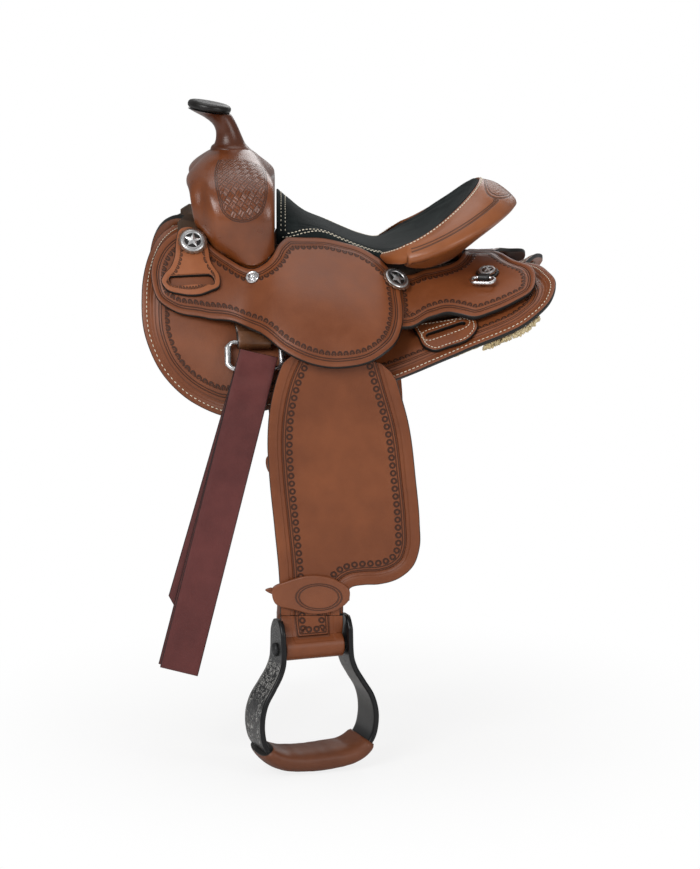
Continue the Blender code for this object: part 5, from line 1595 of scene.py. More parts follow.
@dataclass
class Jockeys:
    """Seat jockeys, rear jockeys and the slotted rigging plates."""

    finishes: Finishes
    leather: float = 0.0042
    seat_gap: float = 0.0013
    seat: tuple = (
        (-0.166, 0.079, 1), (-0.187, 0.091), (-0.208, 0.119), (-0.213, 0.146), (-0.205, 0.168),
        (-0.188, 0.174), (-0.154, 0.168), (-0.120, 0.157), (-0.103, 0.161), (-0.073, 0.179),
        (-0.045, 0.188), (-0.009, 0.190), (0.022, 0.183), (0.043, 0.165), (0.053, 0.135),
        (0.053, 0.102), (0.048, 0.078),
    )
    opening: tuple = (
        (-0.079, 0.068), (-0.084, 0.079), (-0.092, 0.089), (-0.104, 0.0955), (-0.116, 0.0955),
        (-0.129, 0.0935), (-0.145, 0.0915),
    )
    rear: tuple = (
        (0.0415, 0.0655, 1), (0.066, 0.0605), (0.088, 0.0545), (0.112, 0.039), (0.126, 0.0014, 1),
        (0.158, 0.0014, 1), (0.176, 0.040), (0.193, 0.062), (0.197, 0.085), (0.191, 0.106),
        (0.172, 0.115), (0.148, 0.121), (0.130, 0.123), (0.115, 0.117), (0.103, 0.114), (0.088, 0.118),
        (0.062, 0.130), (0.044, 0.137, 1), (0.044, 0.100),
    )
    plate: tuple = (
        (0.063, 0.1065, 1), (0.070, 0.128), (0.077, 0.149), (0.087, 0.157), (0.103, 0.154), (0.124, 0.148),
        (0.131, 0.139), (0.130, 0.1065, 1),
    )
    slot_start: tuple = (0.083, 0.1310)
    slot_end: tuple = (0.116, 0.1215)
    slot_width: float = 0.0088
    tuck_at: float = 0.082
    tuck: float = 0.020
    stitch: Stitch = Stitch(width=0.0010)
    rings: tuple = ((0.0004, 0.00030), (0.0012, 0.0), (0.0046, 0.0), (0.0056, 0.0006), (0.0086, 0.0006),
                    (0.0096, 0.0), (0.0154, 0.0))

    def under(self, along: float, girth: float) -> float:
        """Inner face of the seat jockey."""
        return BACK.lift(along, girth) - self.leather

    def rear_lift(self, along: float, girth: float) -> float:
        """Outer face of the rear jockey, which goes under the seat jockey at its front."""
        return BACK.lift(along, girth) - (self.leather + LOOSE_AIR) * eased((self.tuck_at - along) / self.tuck)

    def seat_edge(self) -> list[Vector]:
        """Outline of the seat jockey; its upper edge follows the edge of the seat.

        Returns:
            Closed outline in the flat.
        """
        seam = []
        for along in (0.030, 0.009, -0.011, -0.030, -0.050, -0.069):
            half = station(SEAT_STATIONS, 2, along) + self.seat_gap
            corner = (1,) if along in (0.030, -0.069) else ()
            seam.append((along, BACK.girth_at(along, half, self.under), *corner))
        return curve_through(self.seat + tuple(seam) + self.opening, 0.0025)

    def build(self) -> None:
        """Build both sides."""
        track = (JOCKEY_TOOLING.stamp_at, JOCKEY_TOOLING.pitch)
        seat = panel(self.seat_edge(), self.leather, 0.006, rings=self.rings, track=track)
        rear = panel(curve_through(self.rear, 0.0025), self.leather, 0.006, rings=self.rings, track=track)
        edge = curve_through(self.plate, 0.0025)
        hole = stadium(self.slot_start, self.slot_end, self.slot_width)
        plate = panel(edge, self.leather, 0.006, [hole])
        rows = (offset_line(edge, 0.0036), offset_line(hole, -0.0048))
        top = LAYER_AIR + self.leather
        for name, side in SIDES:
            piece("seat_jockey_leather_" + name, settle(seat, bent(self.under, BACK.lift, side)), "tree",
                  [self.finishes.jockey], ["seat_jockey_" + name])
            bm = settle(rear, bent(lambda x, g: self.rear_lift(x, g) - self.leather, self.rear_lift, side))
            piece("rear_jockey_leather_" + name, bm, "tree", [self.finishes.jockey],
                  ["rear_jockey_" + name])
            bm = settle(plate, bent(level(LAYER_AIR), level(top), side))
            piece("rigging_plate_leather_" + name, bm, "tree", [self.finishes.plain],
                  ["rear_rigging_plate_" + name])
            parts = [stitches(row + row[:1], lambda x, g: BACK.at(x, g, top + STITCH_LIFT, side)[0], self.stitch)
                     for row in rows]
            piece("plate_stitches_" + name, merge(parts), "tree", [self.finishes.thread])
        for flat in (seat, rear, plate):
            flat.free()


@dataclass
class Seat:
    """Padded suede seat with its double row of stitching."""

    finishes: Finishes
    pad: float = 0.011
    climb_at: float = -0.060
    climb: float = 0.040
    sides_end: float = 0.036
    side_stitch: Stitch = Stitch(width=0.0013)
    rows: tuple = (0.0050, 0.0095)
    depths: tuple = ((-0.0042, 0.0022), (-0.0006, 0.0062))
    rings: tuple = ((0.0006, 0.0011), (0.0016, 0.0004), (0.0030, 0.0002), (0.0045, 0.0009), (0.0060, 0.0002),
                    (0.0080, 0.0001), (0.0095, 0.0009), (0.0110, 0.0001), (0.0150, 0.0))

    def edge(self) -> list[Vector]:
        """Edge of the seat in plan.

        Returns:
            Closed outline.
        """
        points = [row for row in SEAT_STATIONS if row[0] < RIM_CENTRE - 0.01]
        left = [(row[0], -row[2], 1) if row is points[0] else (row[0], -row[2]) for row in points]
        rim = []
        for degrees in range(-RIM_END, RIM_END + 1, 14):
            angle = math.radians(degrees)
            rim.append((RIM_CENTRE + RIM_LENGTH * math.cos(angle),
                        RIM_HALF_WIDTH * math.sin(angle)))
        right = [(point[0], -point[1], *point[2:]) for point in reversed(left)]
        return curve_through(left + rim + right, 0.003)

    def build(self) -> None:
        """Build the pad and its stitches."""
        edge = self.edge()
        flat = panel(edge, self.pad, 0.005, rings=self.rings, rim=0.0024)

        def place(x: float, y: float, up: float) -> Vector:
            """Lay the pad on the ground seat, with soft unevenness in its filling."""
            swell = noise.noise(Vector((x * 22.0, y * 22.0, 3.0))) * 0.0007
            return Vector((x, y, seat_top(x, y) - self.pad + (self.pad + swell) * up))

        pad = piece("padded_seat", settle(flat, place), "tree", [self.finishes.suede], ["seat_pad"], 70.0)
        flat.free()
        start = SEAT_STATIONS[0][0]
        sides = [spot for spot in edge if spot.x < self.sides_end]
        first = max(range(len(sides)), key=lambda index: (sides[index] - sides[index - 1]).length)
        sides = sides[first:] + sides[:first]
        parts = []
        for distance, (front, rear) in zip(self.rows, self.depths):
            for sign in (-1, 1):
                wall = sorted((spot for spot in sides if spot.y * sign > 0 and spot.x > distance + start),
                              key=lambda spot: spot.x)
                line = [Vector((spot.x, spot.y)) for spot in wall]

                def on_edge(x: float, y: float) -> Vector:
                    """Point on the pad's side face in front and on its top further back.

                    Args:
                        x: Place along the saddle.
                        y: Place across, from the row's path.

                    Returns:
                        The point in space.
                    """
                    half = station(SEAT_STATIONS, 2, x)
                    part = eased((x - self.climb_at) / self.climb)
                    depth = front + (rear - front) * part - (y - sign * half) * sign
                    inner = half - max(depth, 0.0)
                    return Vector((x, sign * (inner + STITCH_LIFT), seat_top(x, inner) + min(depth, 0.0)))

                parts.append(stitches(line, on_edge, self.side_stitch))
            x = distance + start
            half = station(SEAT_STATIONS, 2, x) - 0.001
            line = [Vector((x, half * number / 20)) for number in range(-20, 21)]
            parts.append(stitches(line, lambda x, y: Vector((x, y, seat_top(x, y) - 0.0004)), Stitch()))
        piece("seat_stitches", merge(parts), "tree", [self.finishes.thread])


@dataclass
class Cantle:
    """Rolled cantle: cover, stitching round the rim and a stamped panel at its back."""

    finishes: Finishes
    leather: float = 0.0032
    rim_low: float = 0.092
    rim_rise: float = 0.061
    rim_power: float = 1.4
    roll_width: float = 0.041
    roll_drop: float = 0.024
    end_width: float = 0.0060
    end_drop: float = 0.0105
    rim_gap: float = 0.0007
    foot_air: float = 0.0030
    end_rise: float = 0.0070
    foot_centre: float = 0.045
    foot_length: float = 0.079
    foot_half_width: float = 0.079
    panel_half: tuple = (0.42, 0.36)
    front_end: float = 0.034
    stitch: Stitch = Stitch(0.0042, 0.0035, 0.0016)

    def rim(self, angle: float) -> tuple[Vector, Vector]:
        """Rim at an angle round the seat, and the direction outwards in plan.

        Args:
            angle: Angle from the rear of the seat.

        Returns:
            The rim's point and the direction outwards.
        """
        cosine = max(math.cos(angle), 0.0)
        spot = Vector((RIM_CENTRE + RIM_LENGTH * math.cos(angle), RIM_HALF_WIDTH * math.sin(angle),
                       self.rim_low + self.rim_rise * cosine ** self.rim_power))
        out = Vector((math.cos(angle) * RIM_HALF_WIDTH, math.sin(angle) * RIM_LENGTH, 0.0))
        return spot, out.normalized()

    def foot(self, angle: float) -> Vector:
        """Foot of the cantle's back at an angle, just over the jockeys.

        Args:
            angle: Angle from the rear of the seat.

        Returns:
            The foot's point.
        """
        along = self.foot_centre + self.foot_length * math.cos(angle)
        across = self.foot_half_width * math.sin(angle)
        end = (1.0 - max(math.cos(angle), 0.0)) ** 2
        height = BACK.height_over(along, abs(across), BACK.lift)
        foot = Vector((along, across, height + self.foot_air + self.end_rise * end))
        foot.xy = foot.xy.lerp(self.rim(angle)[0].xy, 0.75 * end)
        return foot

    def roll(self, angle: float) -> tuple[float, float]:
        """Width and drop of the roll at an angle.

        Args:
            angle: Angle from the rear of the seat.

        Returns:
            Width and drop.
        """
        part = max(math.cos(angle * 0.95), 0.0) ** 0.8
        return (self.end_width + (self.roll_width - self.end_width) * part,
                self.end_drop + (self.roll_drop - self.end_drop) * part)

    def shape(self, angle: float) -> tuple:
        """Rim, direction outwards, width, drop and foot at an angle."""
        return *self.rim(angle), *self.roll(angle), self.foot(angle)

    def tip(self, side: int, part: float) -> tuple:
        """The same for the thin end that runs forward along the seat; part is 1 at its point.

        Args:
            side: -1 for the near side, 1 for the off side.
            part: 0 where the thin end starts, to 1 at its point.

        Returns:
            Rim, direction outwards, width, drop and foot.
        """
        rim, out, wide, drop, foot = self.shape(side * math.radians(RIM_END))
        along = rim.x + (self.front_end - rim.x) * part
        start, here = (station(SEAT_STATIONS, 2, x) for x in (rim.x, along))
        offset = (abs(rim.y) - start) * (1.0 - part) ** 2
        height = station(SEAT_STATIONS, 3, along) + (rim.z - station(SEAT_STATIONS, 3, rim.x)) * (1.0 - part)
        spot = Vector((along, side * (here + offset + 0.0004), height + 0.0003))
        slope = (station(SEAT_STATIONS, 2, along + 0.002) - station(SEAT_STATIONS, 2, along - 0.002)) / 0.004
        way = out.lerp(Vector((-slope, side, 0.0)).normalized(), part).normalized()
        wide, drop = wide * (1.0 - 0.72 * part), drop * (1.0 - 0.70 * part)
        low = spot + way * wide * 0.6
        band = spot.z - 0.0085 + 0.0030 * part
        low.z = min(band + (foot.z - band) * (1.0 - part) ** 6, spot.z - 0.0040)
        return spot, way, wide, drop, low

    def section(self, shape: tuple, skin: float) -> list[Vector]:
        """Outer line of the cantle from rim to foot, moved inwards by a skin.

        Args:
            shape: Rim, direction outwards, width, drop and foot.
            skin: How far inwards the line lies.

        Returns:
            Points from rim to foot.
        """
        rim, out, wide, drop, foot = shape
        edge = rim + out * wide - UP * drop
        crown = rim + out * wide * 0.5 - UP * drop * 0.25
        under = edge - out * 0.0035 - UP * 0.0065 * min(wide / 0.006, 1.0)
        waist = under.lerp(foot, 0.55)
        return [rim + out * self.rim_gap - UP * skin, crown - UP * skin, edge - (out + UP * 0.6) * skin,
                under - out * skin * 0.9 + UP * skin * 0.3, waist - out * skin * 0.8 + UP * skin * 0.6,
                foot - out * skin]

    def build(self) -> None:
        """Build the cover and the stitches."""
        count, fine, ends = 120, 30, 12
        shapes = [self.tip(-1, 1.0 - number / ends) for number in range(ends)]
        shapes += [self.shape(math.radians(RIM_END * (2 * number / count - 1)))
                   for number in range(count + 1)]
        shapes += [self.tip(1, (number + 1) / ends) for number in range(ends)]
        rows, uvs, rim_line, runs = [], [], [], [0.0]
        for number, shape in enumerate(shapes):
            thin = min(number, len(shapes) - 1 - number) / ends
            outer = path_through(self.section(shape, 0.0), fine)
            inner = path_through(self.section(shape, self.leather * min(0.4 + 0.6 * thin, 1.0)), fine)
            rows.append(outer + list(reversed(inner)) + outer[:1])
            if rim_line:
                runs.append(runs[-1] + (outer[1] - rim_line[-1][1]).length)
            rim_line.append(outer)
            faces = [(runs[-1], index * 0.0025) for index in range(fine + 1)]
            uvs.append(faces + [(runs[-1], WALL)] * (fine + 1) + faces[:1])
        bm = loft(rows, uvs)
        shade = bm.verts.layers.float.new("panel")
        for vert in bm.verts:
            vert[shade] = self.inside_panel(vert.co)
        piece("cantle_roll", bm, "tree", [self.finishes.roll], ["cantle_cover"], 60.0)

        def place(x: float, y: float) -> Vector:
            """Point on the rim by its run along it.

            Args:
                x: Run along the rim.
                y: Distance outwards from the row.

            Returns:
                The point in space.
            """
            cell = max(index for index in range(len(runs) - 1) if runs[index] <= max(x, 0.0))
            part = (x - runs[cell]) / (runs[cell + 1] - runs[cell])
            middle = [one.lerp(two, part) for one, two in zip(rim_line[cell][:4], rim_line[cell + 1][:4])]
            across = (middle[3] - middle[0]).normalized()
            return middle[0] + across * (0.0024 + y) + UP * 0.0003

        bm = stitches([Vector((run, 0.0)) for run in runs], place, self.stitch)
        piece("cantle_stitches", bm, "tree", [self.finishes.thread])

    def inside_panel(self, spot: Vector) -> float:
        """Distance inside the half-oval panel, and the roll's double line where the panel isn't.

        Args:
            spot: Point of the cover.

        Returns:
            Metres inside, below 0 outside.
        """
        angle = math.atan2(spot.y / RIM_HALF_WIDTH, (spot.x - RIM_CENTRE) / RIM_LENGTH)
        rim, out = self.rim(angle)
        wide = self.roll(angle)[0]
        across = (spot - rim).dot(out) / wide
        drop = rim.z - spot.z
        if across < 0.02 or drop > self.roll_drop + 0.002 or spot.x < RIM_CENTRE + 0.011:
            return OUTSIDE
        oval = math.hypot(angle / self.panel_half[0], (across - 0.50) / self.panel_half[1])
        inside = (1.0 - oval) * self.panel_half[1] * wide
        if inside > -0.001:
            return inside
        return max(0.0013 - abs(across - 0.70) * wide, inside)


@dataclass
class Fork:
    """Swelled fork with its stamped panels."""

    finishes: Finishes
    foot: tuple = (-0.105, 0.0850)
    bar: float = 0.024
    foot_air: float = 0.0020
    top: float = 0.1885
    half_width: float = 0.113
    thickness: float = 0.026
    # The front face, rear face and thickness at parts of the way from a foot to the crest.
    parts: tuple = (0.0, 0.10, 0.30, 0.50, 0.75, 1.0)
    fronts: tuple = (-0.157, -0.160, -0.167, -0.172, -0.176, -0.164)
    backs: tuple = (-0.0815, -0.082, -0.082, -0.082, -0.084, -0.092)
    thick: tuple = (0.010, 0.016, 0.022, 0.026, 0.026, 0.026)
    opening: tuple = ((-0.159, 0.080), (-0.145, 0.0915), (-0.129, 0.0935), (-0.116, 0.0955), (-0.104, 0.0955),
                      (-0.092, 0.089), (-0.084, 0.079), (-0.079, 0.068))
    # How far up its arm the cover leaves the jockey's edge, and how much further at its front.
    foot_part: float = 0.32
    front_foot_part: float = 0.26
    slope_at: float = -0.143
    slope: float = 0.016
    crown_from: float = 0.45
    crown_run: float = 0.45
    droops: tuple = (0.012, 0.018)
    skin: float = 0.0042
    panel: tuple = ((-0.1430, 0.1750), (-0.1410, 0.1450), (-0.1340, 0.1270), (-0.1230, 0.1200),
                    (-0.1120, 0.1195), (-0.0980, 0.1260), (-0.0905, 0.1420), (-0.0905, 0.1620),
                    (-0.0960, 0.1760), (-0.1080, 0.1835), (-0.1250, 0.1850), (-0.1380, 0.1820))

    def path(self) -> list[Vector]:
        """Middle of the fork's arch as (across, up), foot to foot.

        Returns:
            Points of the arch.
        """
        foot, lean = BACK.at(self.foot[0], self.foot[1], self.bar + self.foot_air, 1)
        low = Vector((foot.y, foot.z))
        rise = Vector((lean.y, lean.z))
        crest = self.top - self.thickness / 2
        wide = self.half_width - self.thickness / 2
        half = [low, low + rise * 0.007, Vector((wide - 0.001, 0.106)), Vector((wide - 0.0005, 0.125)),
                Vector((wide * 0.90, 0.143)), Vector((wide * 0.66, crest - 0.0180)),
                Vector((wide * 0.36, crest - 0.0070)), Vector((0.0, crest))]
        return [Vector((-spot.x, spot.y)) for spot in half] + [spot.copy() for spot in reversed(half[:-1])]

    def ring(self, spot: Vector, along: Vector, part: float, sides: int, skin: float = 0.0) -> list[Vector]:
        """One section of the fork.

        Args:
            spot: Middle of the section as (across, up).
            along: Direction of the arch there.
            part: 0 at a foot to 1 at the crest.
            sides: Steps round the section.
            skin: How far inside the cover it lies.

        Returns:
            Points round the section.
        """
        front = smooth_value(self.parts, self.fronts, part) + skin
        back = smooth_value(self.parts, self.backs, part) - skin
        thick = smooth_value(self.parts, self.thick, part) / 2 - skin
        out = -left_of(along)
        side = -1 if spot.x < 0 else 1
        crown = eased((part - self.crown_from) / self.crown_run)
        ring = []
        for cosine, sine in spokes(sides):
            x = (front + back) / 2 + (back - front) / 2 * boxed(cosine, 0.75)
            through = boxed(sine, 0.75)
            flat = spot + out * thick * through
            droop = self.droops[cosine > 0] * crown * abs(cosine) ** 2.2
            point = Vector((x, flat.x, flat.y - droop))
            near = held((self.slope_at - x) / self.slope)
            down = 1.0 - eased(part / (self.foot_part + self.front_foot_part * near))
            if down > 0.0:
                girth = station(self.opening, 1, x) - 0.0022
                height = BACK.lift(x, girth) - 0.0008 + (0.0023 - skin / 2) * through
                point = point.lerp(BACK.at(x, girth, height, side)[0], down)
            ring.append(point)
        return ring

    def arch(self, steps: int, sides: int, skin: float = 0.0, margin: int = 0) -> bmesh.types.BMesh:
        """The fork's arch, or its core a skin inside it.

        Args:
            steps: Steps along the arch.
            sides: Steps round it.
            skin: How far inside the cover it lies.
            margin: Steps left out at each foot.

        Returns:
            The mesh.
        """
        spots = path_through(self.path(), steps)
        runs = runs_along(spots)
        rows, uvs = [], []
        for number in range(margin, steps - margin + 1):
            part = min(number, steps - number) / (steps / 2)
            ring = self.ring(spots[number], -heading(spots, number), part, sides, skin)
            rows.append(ring)
            uvs.append([(runs[number], point.x + 0.3) for point in ring])
        return loft(rows, uvs)

    def build(self) -> None:
        """Build the cover and its core."""
        bm = self.arch(150, 72)
        border = Border(curve_through(self.panel, 0.002))
        shade = bm.verts.layers.float.new("panel")
        for vert in bm.verts:
            vert[shade] = self.inside_panel(vert.co, border)
        piece("swell_cover", bm, "tree", [self.finishes.swell], ["fork_cover"], 60.0)
        piece("fork_wood", self.arch(60, 24, self.skin, 4), "tree", [self.finishes.wood], ["fork_core"])

    def inside_panel(self, spot: Vector, border: Border) -> float:
        """Distance inside the stamped panel on the fork's side.

        Args:
            spot: Point of the cover.
            border: The panel's outline in side view.

        Returns:
            Metres inside, below 0 outside.
        """
        if abs(spot.y) < 0.045:
            return OUTSIDE
        away = border.measure(spot.x, spot.z)[1]
        count = 0
        points = border.points
        for first, second in zip(points, points[1:] + points[:1]):
            if (first.y > spot.z) != (second.y > spot.z):
                if spot.x < first.x + (spot.z - first.y) / (second.y - first.y) * (second.x - first.x):
                    count += 1
        return away if count % 2 else -away


@dataclass
class Horn:
    """Horn with its wrapped neck and capped top."""

    finishes: Finishes
    cap: float = 0.0238
    cap_thickness: float = 0.0098
    cap_tilt: float = math.radians(10.5)
    cap_centre: tuple = (-0.1530, 0.0, 0.2264)
    # Front and rear of the neck as x, z and x, z, and its half width.
    neck: tuple = (
        (-0.1529, 0.1752, -0.1034, 0.1730, 0.0220), (-0.1507, 0.1876, -0.1073, 0.1842, 0.0200),
        (-0.1469, 0.1916, -0.1133, 0.1910, 0.0158), (-0.1452, 0.1984, -0.1177, 0.2006, 0.0128),
        (-0.1457, 0.2062, -0.1215, 0.2096, 0.0120), (-0.1496, 0.2134, -0.1254, 0.2174, 0.0126),
        (-0.1584, 0.2202, -0.1284, 0.2222, 0.0150), (-0.1694, 0.2262, -0.1302, 0.2232, 0.0192),
        (-0.1752, 0.2298, -0.1308, 0.2222, 0.0220),
    )

    def build(self) -> None:
        """Build the neck and the cap."""
        normal = Vector((math.sin(self.cap_tilt), 0.0, math.cos(self.cap_tilt)))
        rows, uvs = [], []
        for number, values in enumerate(path_through([Vector(row) for row in self.neck], 60)):
            front, rear = Vector((values[0], 0.0, values[1])), Vector((values[2], 0.0, values[3]))
            rows.append([(front + rear) / 2 + (rear - front) / 2 * cosine + Vector((0.0, values[4] * sine, 0.0))
                         for cosine, sine in spokes(56)])
            uvs.append([(column * 0.002, 0.01 + number * 0.0008) for column in range(57)])
        piece("horn_neck", loft(rows, uvs), "tree", [self.finishes.neck], ["horn_wrap"])
        radius, thick = self.cap, self.cap_thickness
        profile = [(0.0, 0.0002), (radius * 0.60, 0.0002), (radius * 0.92, thick * 0.10),
                   (radius * 0.985, thick * 0.30), (radius, thick * 0.50), (radius * 0.985, thick * 0.70),
                   (radius * 0.93, thick * 0.88), (radius * 0.82, thick * 0.98), (radius * 0.70, thick),
                   (radius * 0.4, thick), (0.0, thick)]
        piece("horn_cap_leather", turned(profile, Vector(self.cap_centre), normal, 72), "tree",
              [self.finishes.black], ["horn_cap"], 60.0)


@dataclass
class Ornaments:
    """Star conchos, screws, latigo keepers and the rear ties with their loops."""

    finishes: Finishes
    radius: float = 0.0158
    height: float = 0.0048
    lobes: int = 16
    air: float = 0.0009
    front_at: tuple = (-0.169, 0.0995)
    seat_at: tuple = (0.0475, 0.0800)
    screw_at: tuple = (-0.105, 0.1065)
    screw_radius: float = 0.0076
    rear_at: tuple = (0.146, 0.0640)
    rear_radius: float = 0.0105
    rosette: float = 0.0125
    rosette_thickness: float = 0.0024
    tie_leather: float = 0.0015
    tie_width: float = 0.012
    loop_length: float = 0.029
    loop_width: float = 0.0155
    loop_wire: float = 0.0022
    keeper_leather: float = 0.0046
    keeper: tuple = (
        (-0.1690, 0.0830), (-0.1830, 0.0900), (-0.1870, 0.1060), (-0.1880, 0.1200), (-0.1920, 0.1320),
        (-0.1990, 0.1420), (-0.2020, 0.1500), (-0.1980, 0.1555), (-0.1800, 0.1565), (-0.1630, 0.1510),
        (-0.1500, 0.1410), (-0.1395, 0.1290), (-0.1400, 0.1200), (-0.1490, 0.1110), (-0.1515, 0.1000),
        (-0.1560, 0.0890),
    )
    keeper_start: tuple = (-0.1890, 0.1460)
    keeper_end: tuple = (-0.1500, 0.1290)
    keeper_width: float = 0.0086

    def concho(self, at: Vector, normal: Vector, radius: float, height: float) -> bmesh.types.BMesh:
        """Star concho: scalloped copper edge, silver rim with a ring of dots, star on black.

        Args:
            at: Middle of its back.
            normal: Direction that it faces.
            radius: Its radius.
            height: Its height.

        Returns:
            Mesh with materials 0 silver, 1 copper, 2 black.
        """
        edge = turned([(0.0, 0.0), (radius * 0.90, 0.0), (radius * 0.98, height * 0.12), (radius, height * 0.26),
                       (radius * 0.96, height * 0.40), (radius * 0.84, height * 0.46), (0.0, height * 0.46)],
                      Vector(), UP, self.lobes * 8)
        for vert in edge.verts:
            if math.hypot(vert.co.x, vert.co.y) > radius * 0.88:
                wave = abs(math.cos(math.atan2(vert.co.y, vert.co.x) * self.lobes / 2))
                vert.co.x *= 0.935 + 0.065 * wave
                vert.co.y *= 0.935 + 0.065 * wave
        for face in edge.faces:
            face.material_index = 1
        rim = turned([(radius * 0.54, height * 0.58), (radius * 0.57, height * 0.72), (radius * 0.62, height * 0.78),
                      (radius * 0.72, height * 0.72), (radius * 0.80, height * 0.64), (radius * 0.84, height * 0.50),
                      (radius * 0.83, height * 0.40), (radius * 0.54, height * 0.40), (radius * 0.54, height * 0.58)],
                     Vector(), UP, 72)
        floor = turned([(0.0, height * 0.60), (radius * 0.56, height * 0.56), (radius * 0.56, height * 0.42),
                        (0.0, height * 0.42)], Vector(), UP, 48)
        for face in floor.faces:
            face.material_index = 2
        star = bmesh.new()
        bmesh.ops.create_circle(star, cap_ends=False, radius=radius * 0.56, segments=10)
        points = sorted(star.verts, key=lambda vert: math.atan2(vert.co.y, vert.co.x))
        for number, vert in enumerate(points):
            reach = radius * (0.25 if number % 2 else 0.585)
            angle = math.tau * (number - 0.5) / 10 + math.pi / 2 + math.tau / 20
            vert.co = (reach * math.cos(angle), reach * math.sin(angle), height * 0.66)
        bmesh.ops.contextual_create(star, geom=star.edges[:])
        bmesh.ops.recalc_face_normals(star, faces=star.faces[:])
        bmesh.ops.poke(star, faces=star.faces[:])
        crown = max(star.verts, key=lambda vert: -vert.co.xy.length)
        crown.co.z = height * 0.98
        walls = bmesh.ops.extrude_edge_only(star, edges=[edge for edge in star.edges if edge.is_boundary])
        for item in walls["geom"]:
            if isinstance(item, bmesh.types.BMVert):
                item.co.z = height * 0.50
        dots = bmesh.new()
        for number in range(28):
            angle = math.tau * number / 28
            spot = Vector((radius * 0.76 * math.cos(angle), radius * 0.76 * math.sin(angle), height * 0.66))
            bmesh.ops.create_icosphere(dots, subdivisions=1, radius=radius * 0.042,
                                       matrix=Matrix.Translation(spot))
        bm = merge([edge, rim, floor, star, dots])
        bmesh.ops.recalc_face_normals(bm, faces=bm.faces[:])
        turn(bm, at, normal)
        return bm

    def build(self) -> None:
        """Build both sides."""
        edge = curve_through(self.keeper, 0.0018)
        hole = stadium(self.keeper_start, self.keeper_end, self.keeper_width)
        keeper = panel(edge, self.keeper_leather, 0.004, [hole])

        def top(along: float, girth: float) -> float:
            """Outer face of the keeper."""
            return BACK.lift(along, girth) + LAYER_AIR + self.keeper_leather

        for name, side in SIDES:
            bm = settle(keeper, bent(lambda x, g: BACK.lift(x, g) + LAYER_AIR, top, side))
            piece("keeper_leather_" + name, bm, "tree", [self.finishes.keeper],
                  ["latigo_keeper_" + name])
            for row, at, face in (("front", self.front_at, top), ("seat", self.seat_at, BACK.lift)):
                spot, normal, _, _ = BACK.frame(*at, side, face)
                bm = self.concho(spot + normal * TOUCH, normal, self.radius, self.height)
                piece(f"{row}_star_{name}", bm, "tree", self.finishes.concho,
                      [f"{row}_concho_{name}"], 35.0)
            self.screw(name, side)
            self.rear_tie(name, side)
        keeper.free()

    def screw(self, name: str, side: int) -> None:
        """Washer and domed screw under the fork.

        Args:
            name: Name of the side.
            side: -1 for the near side, 1 for the off side.
        """
        spot, normal, _, _ = BACK.frame(*self.screw_at, side, BACK.lift)
        wide = self.screw_radius
        profile = [(0.0, 0.0), (wide * 0.9, 0.0), (wide, 0.0016), (wide * 0.96, 0.0026), (wide * 0.86, 0.0032),
                   (wide * 0.66, 0.0030), (wide * 0.56, 0.0024), (wide * 0.52, 0.0024), (wide * 0.50, 0.0038),
                   (wide * 0.42, 0.0050), (wide * 0.25, 0.0059), (wide * 0.14, 0.0060), (wide * 0.12, 0.0052),
                   (0.0, 0.0052)]
        bm = turned(profile, spot + normal * TOUCH, normal, 40)
        piece("swell_washer_" + name, bm, "tree", [self.finishes.steel], ["swell_screw_" + name], 40.0)

    def rear_tie(self, name: str, side: int) -> None:
        """Concho on a black rosette whose tie holds a slotted loop.

        Args:
            name: Name of the side.
            side: -1 for the near side, 1 for the off side.
        """
        spot, normal, down, across = BACK.frame(*self.rear_at, side, BACK.lift)
        base = spot + normal * TOUCH
        leather, thread = self.tie_leather, self.loop_wire
        radius = thread + TOUCH + leather / 2
        reach = self.rosette + 0.004
        low = leather / 2 + TOUCH
        line = [Vector((-0.004, low)), Vector((reach - 0.006, low))]
        line += arc((reach, radius + low), radius, -90, 90, 14)
        line += [Vector((reach - 0.0035, radius * 2 + low - 0.0006))]
        air = self.air

        def lay(width: float, flat: Vector) -> Vector:
            """Place on the tie."""
            return spot + normal * air + across * width + down * flat.x + normal * flat.y

        half = self.tie_width / 2
        wide, thick = self.rosette, self.rosette_thickness
        disc = turned([(0.0, 0.0), (wide * 0.96, 0.0), (wide, thick * 0.3), (wide, thick * 0.9),
                       (wide * 0.95, thick * 1.1), (0.0, thick * 1.1)], Vector(), UP, 96)
        for vert in disc.verts:
            if vert.co.xy.length > wide * 0.8:
                wave = 0.94 + 0.06 * abs(math.cos(math.atan2(vert.co.y, vert.co.x) * 9))
                vert.co.x *= wave
                vert.co.y *= wave
        turn(disc, base, normal)
        bm = merge([strap(line, leather, lay, -half, half, 0.0005, 4), disc])
        piece("rear_tie_leather_" + name, bm, "tree", [self.finishes.black],
              ["rear_tie_" + name])
        bm = self.concho(base + normal * (thick + air), normal, self.rear_radius, self.height * 0.8)
        piece("rear_star_" + name, bm, "tree", self.finishes.concho, ["rear_concho_" + name], 35.0)
        pivot = spot + normal * air + down * reach + normal * (radius + low)
        half = self.loop_length / 2 - self.loop_width / 2
        drop = self.loop_width / 2 - thread
        path = stadium((-half, drop), (half, drop), self.loop_width - 2 * thread, 18)
        bm = wire(path, thread, lambda a, b, c: pivot + across * a + down * b + normal * c)
        piece("rear_slotted_loop_" + name, bm, "loop_" + name, [self.finishes.steel],
              ["rear_loop_" + name])


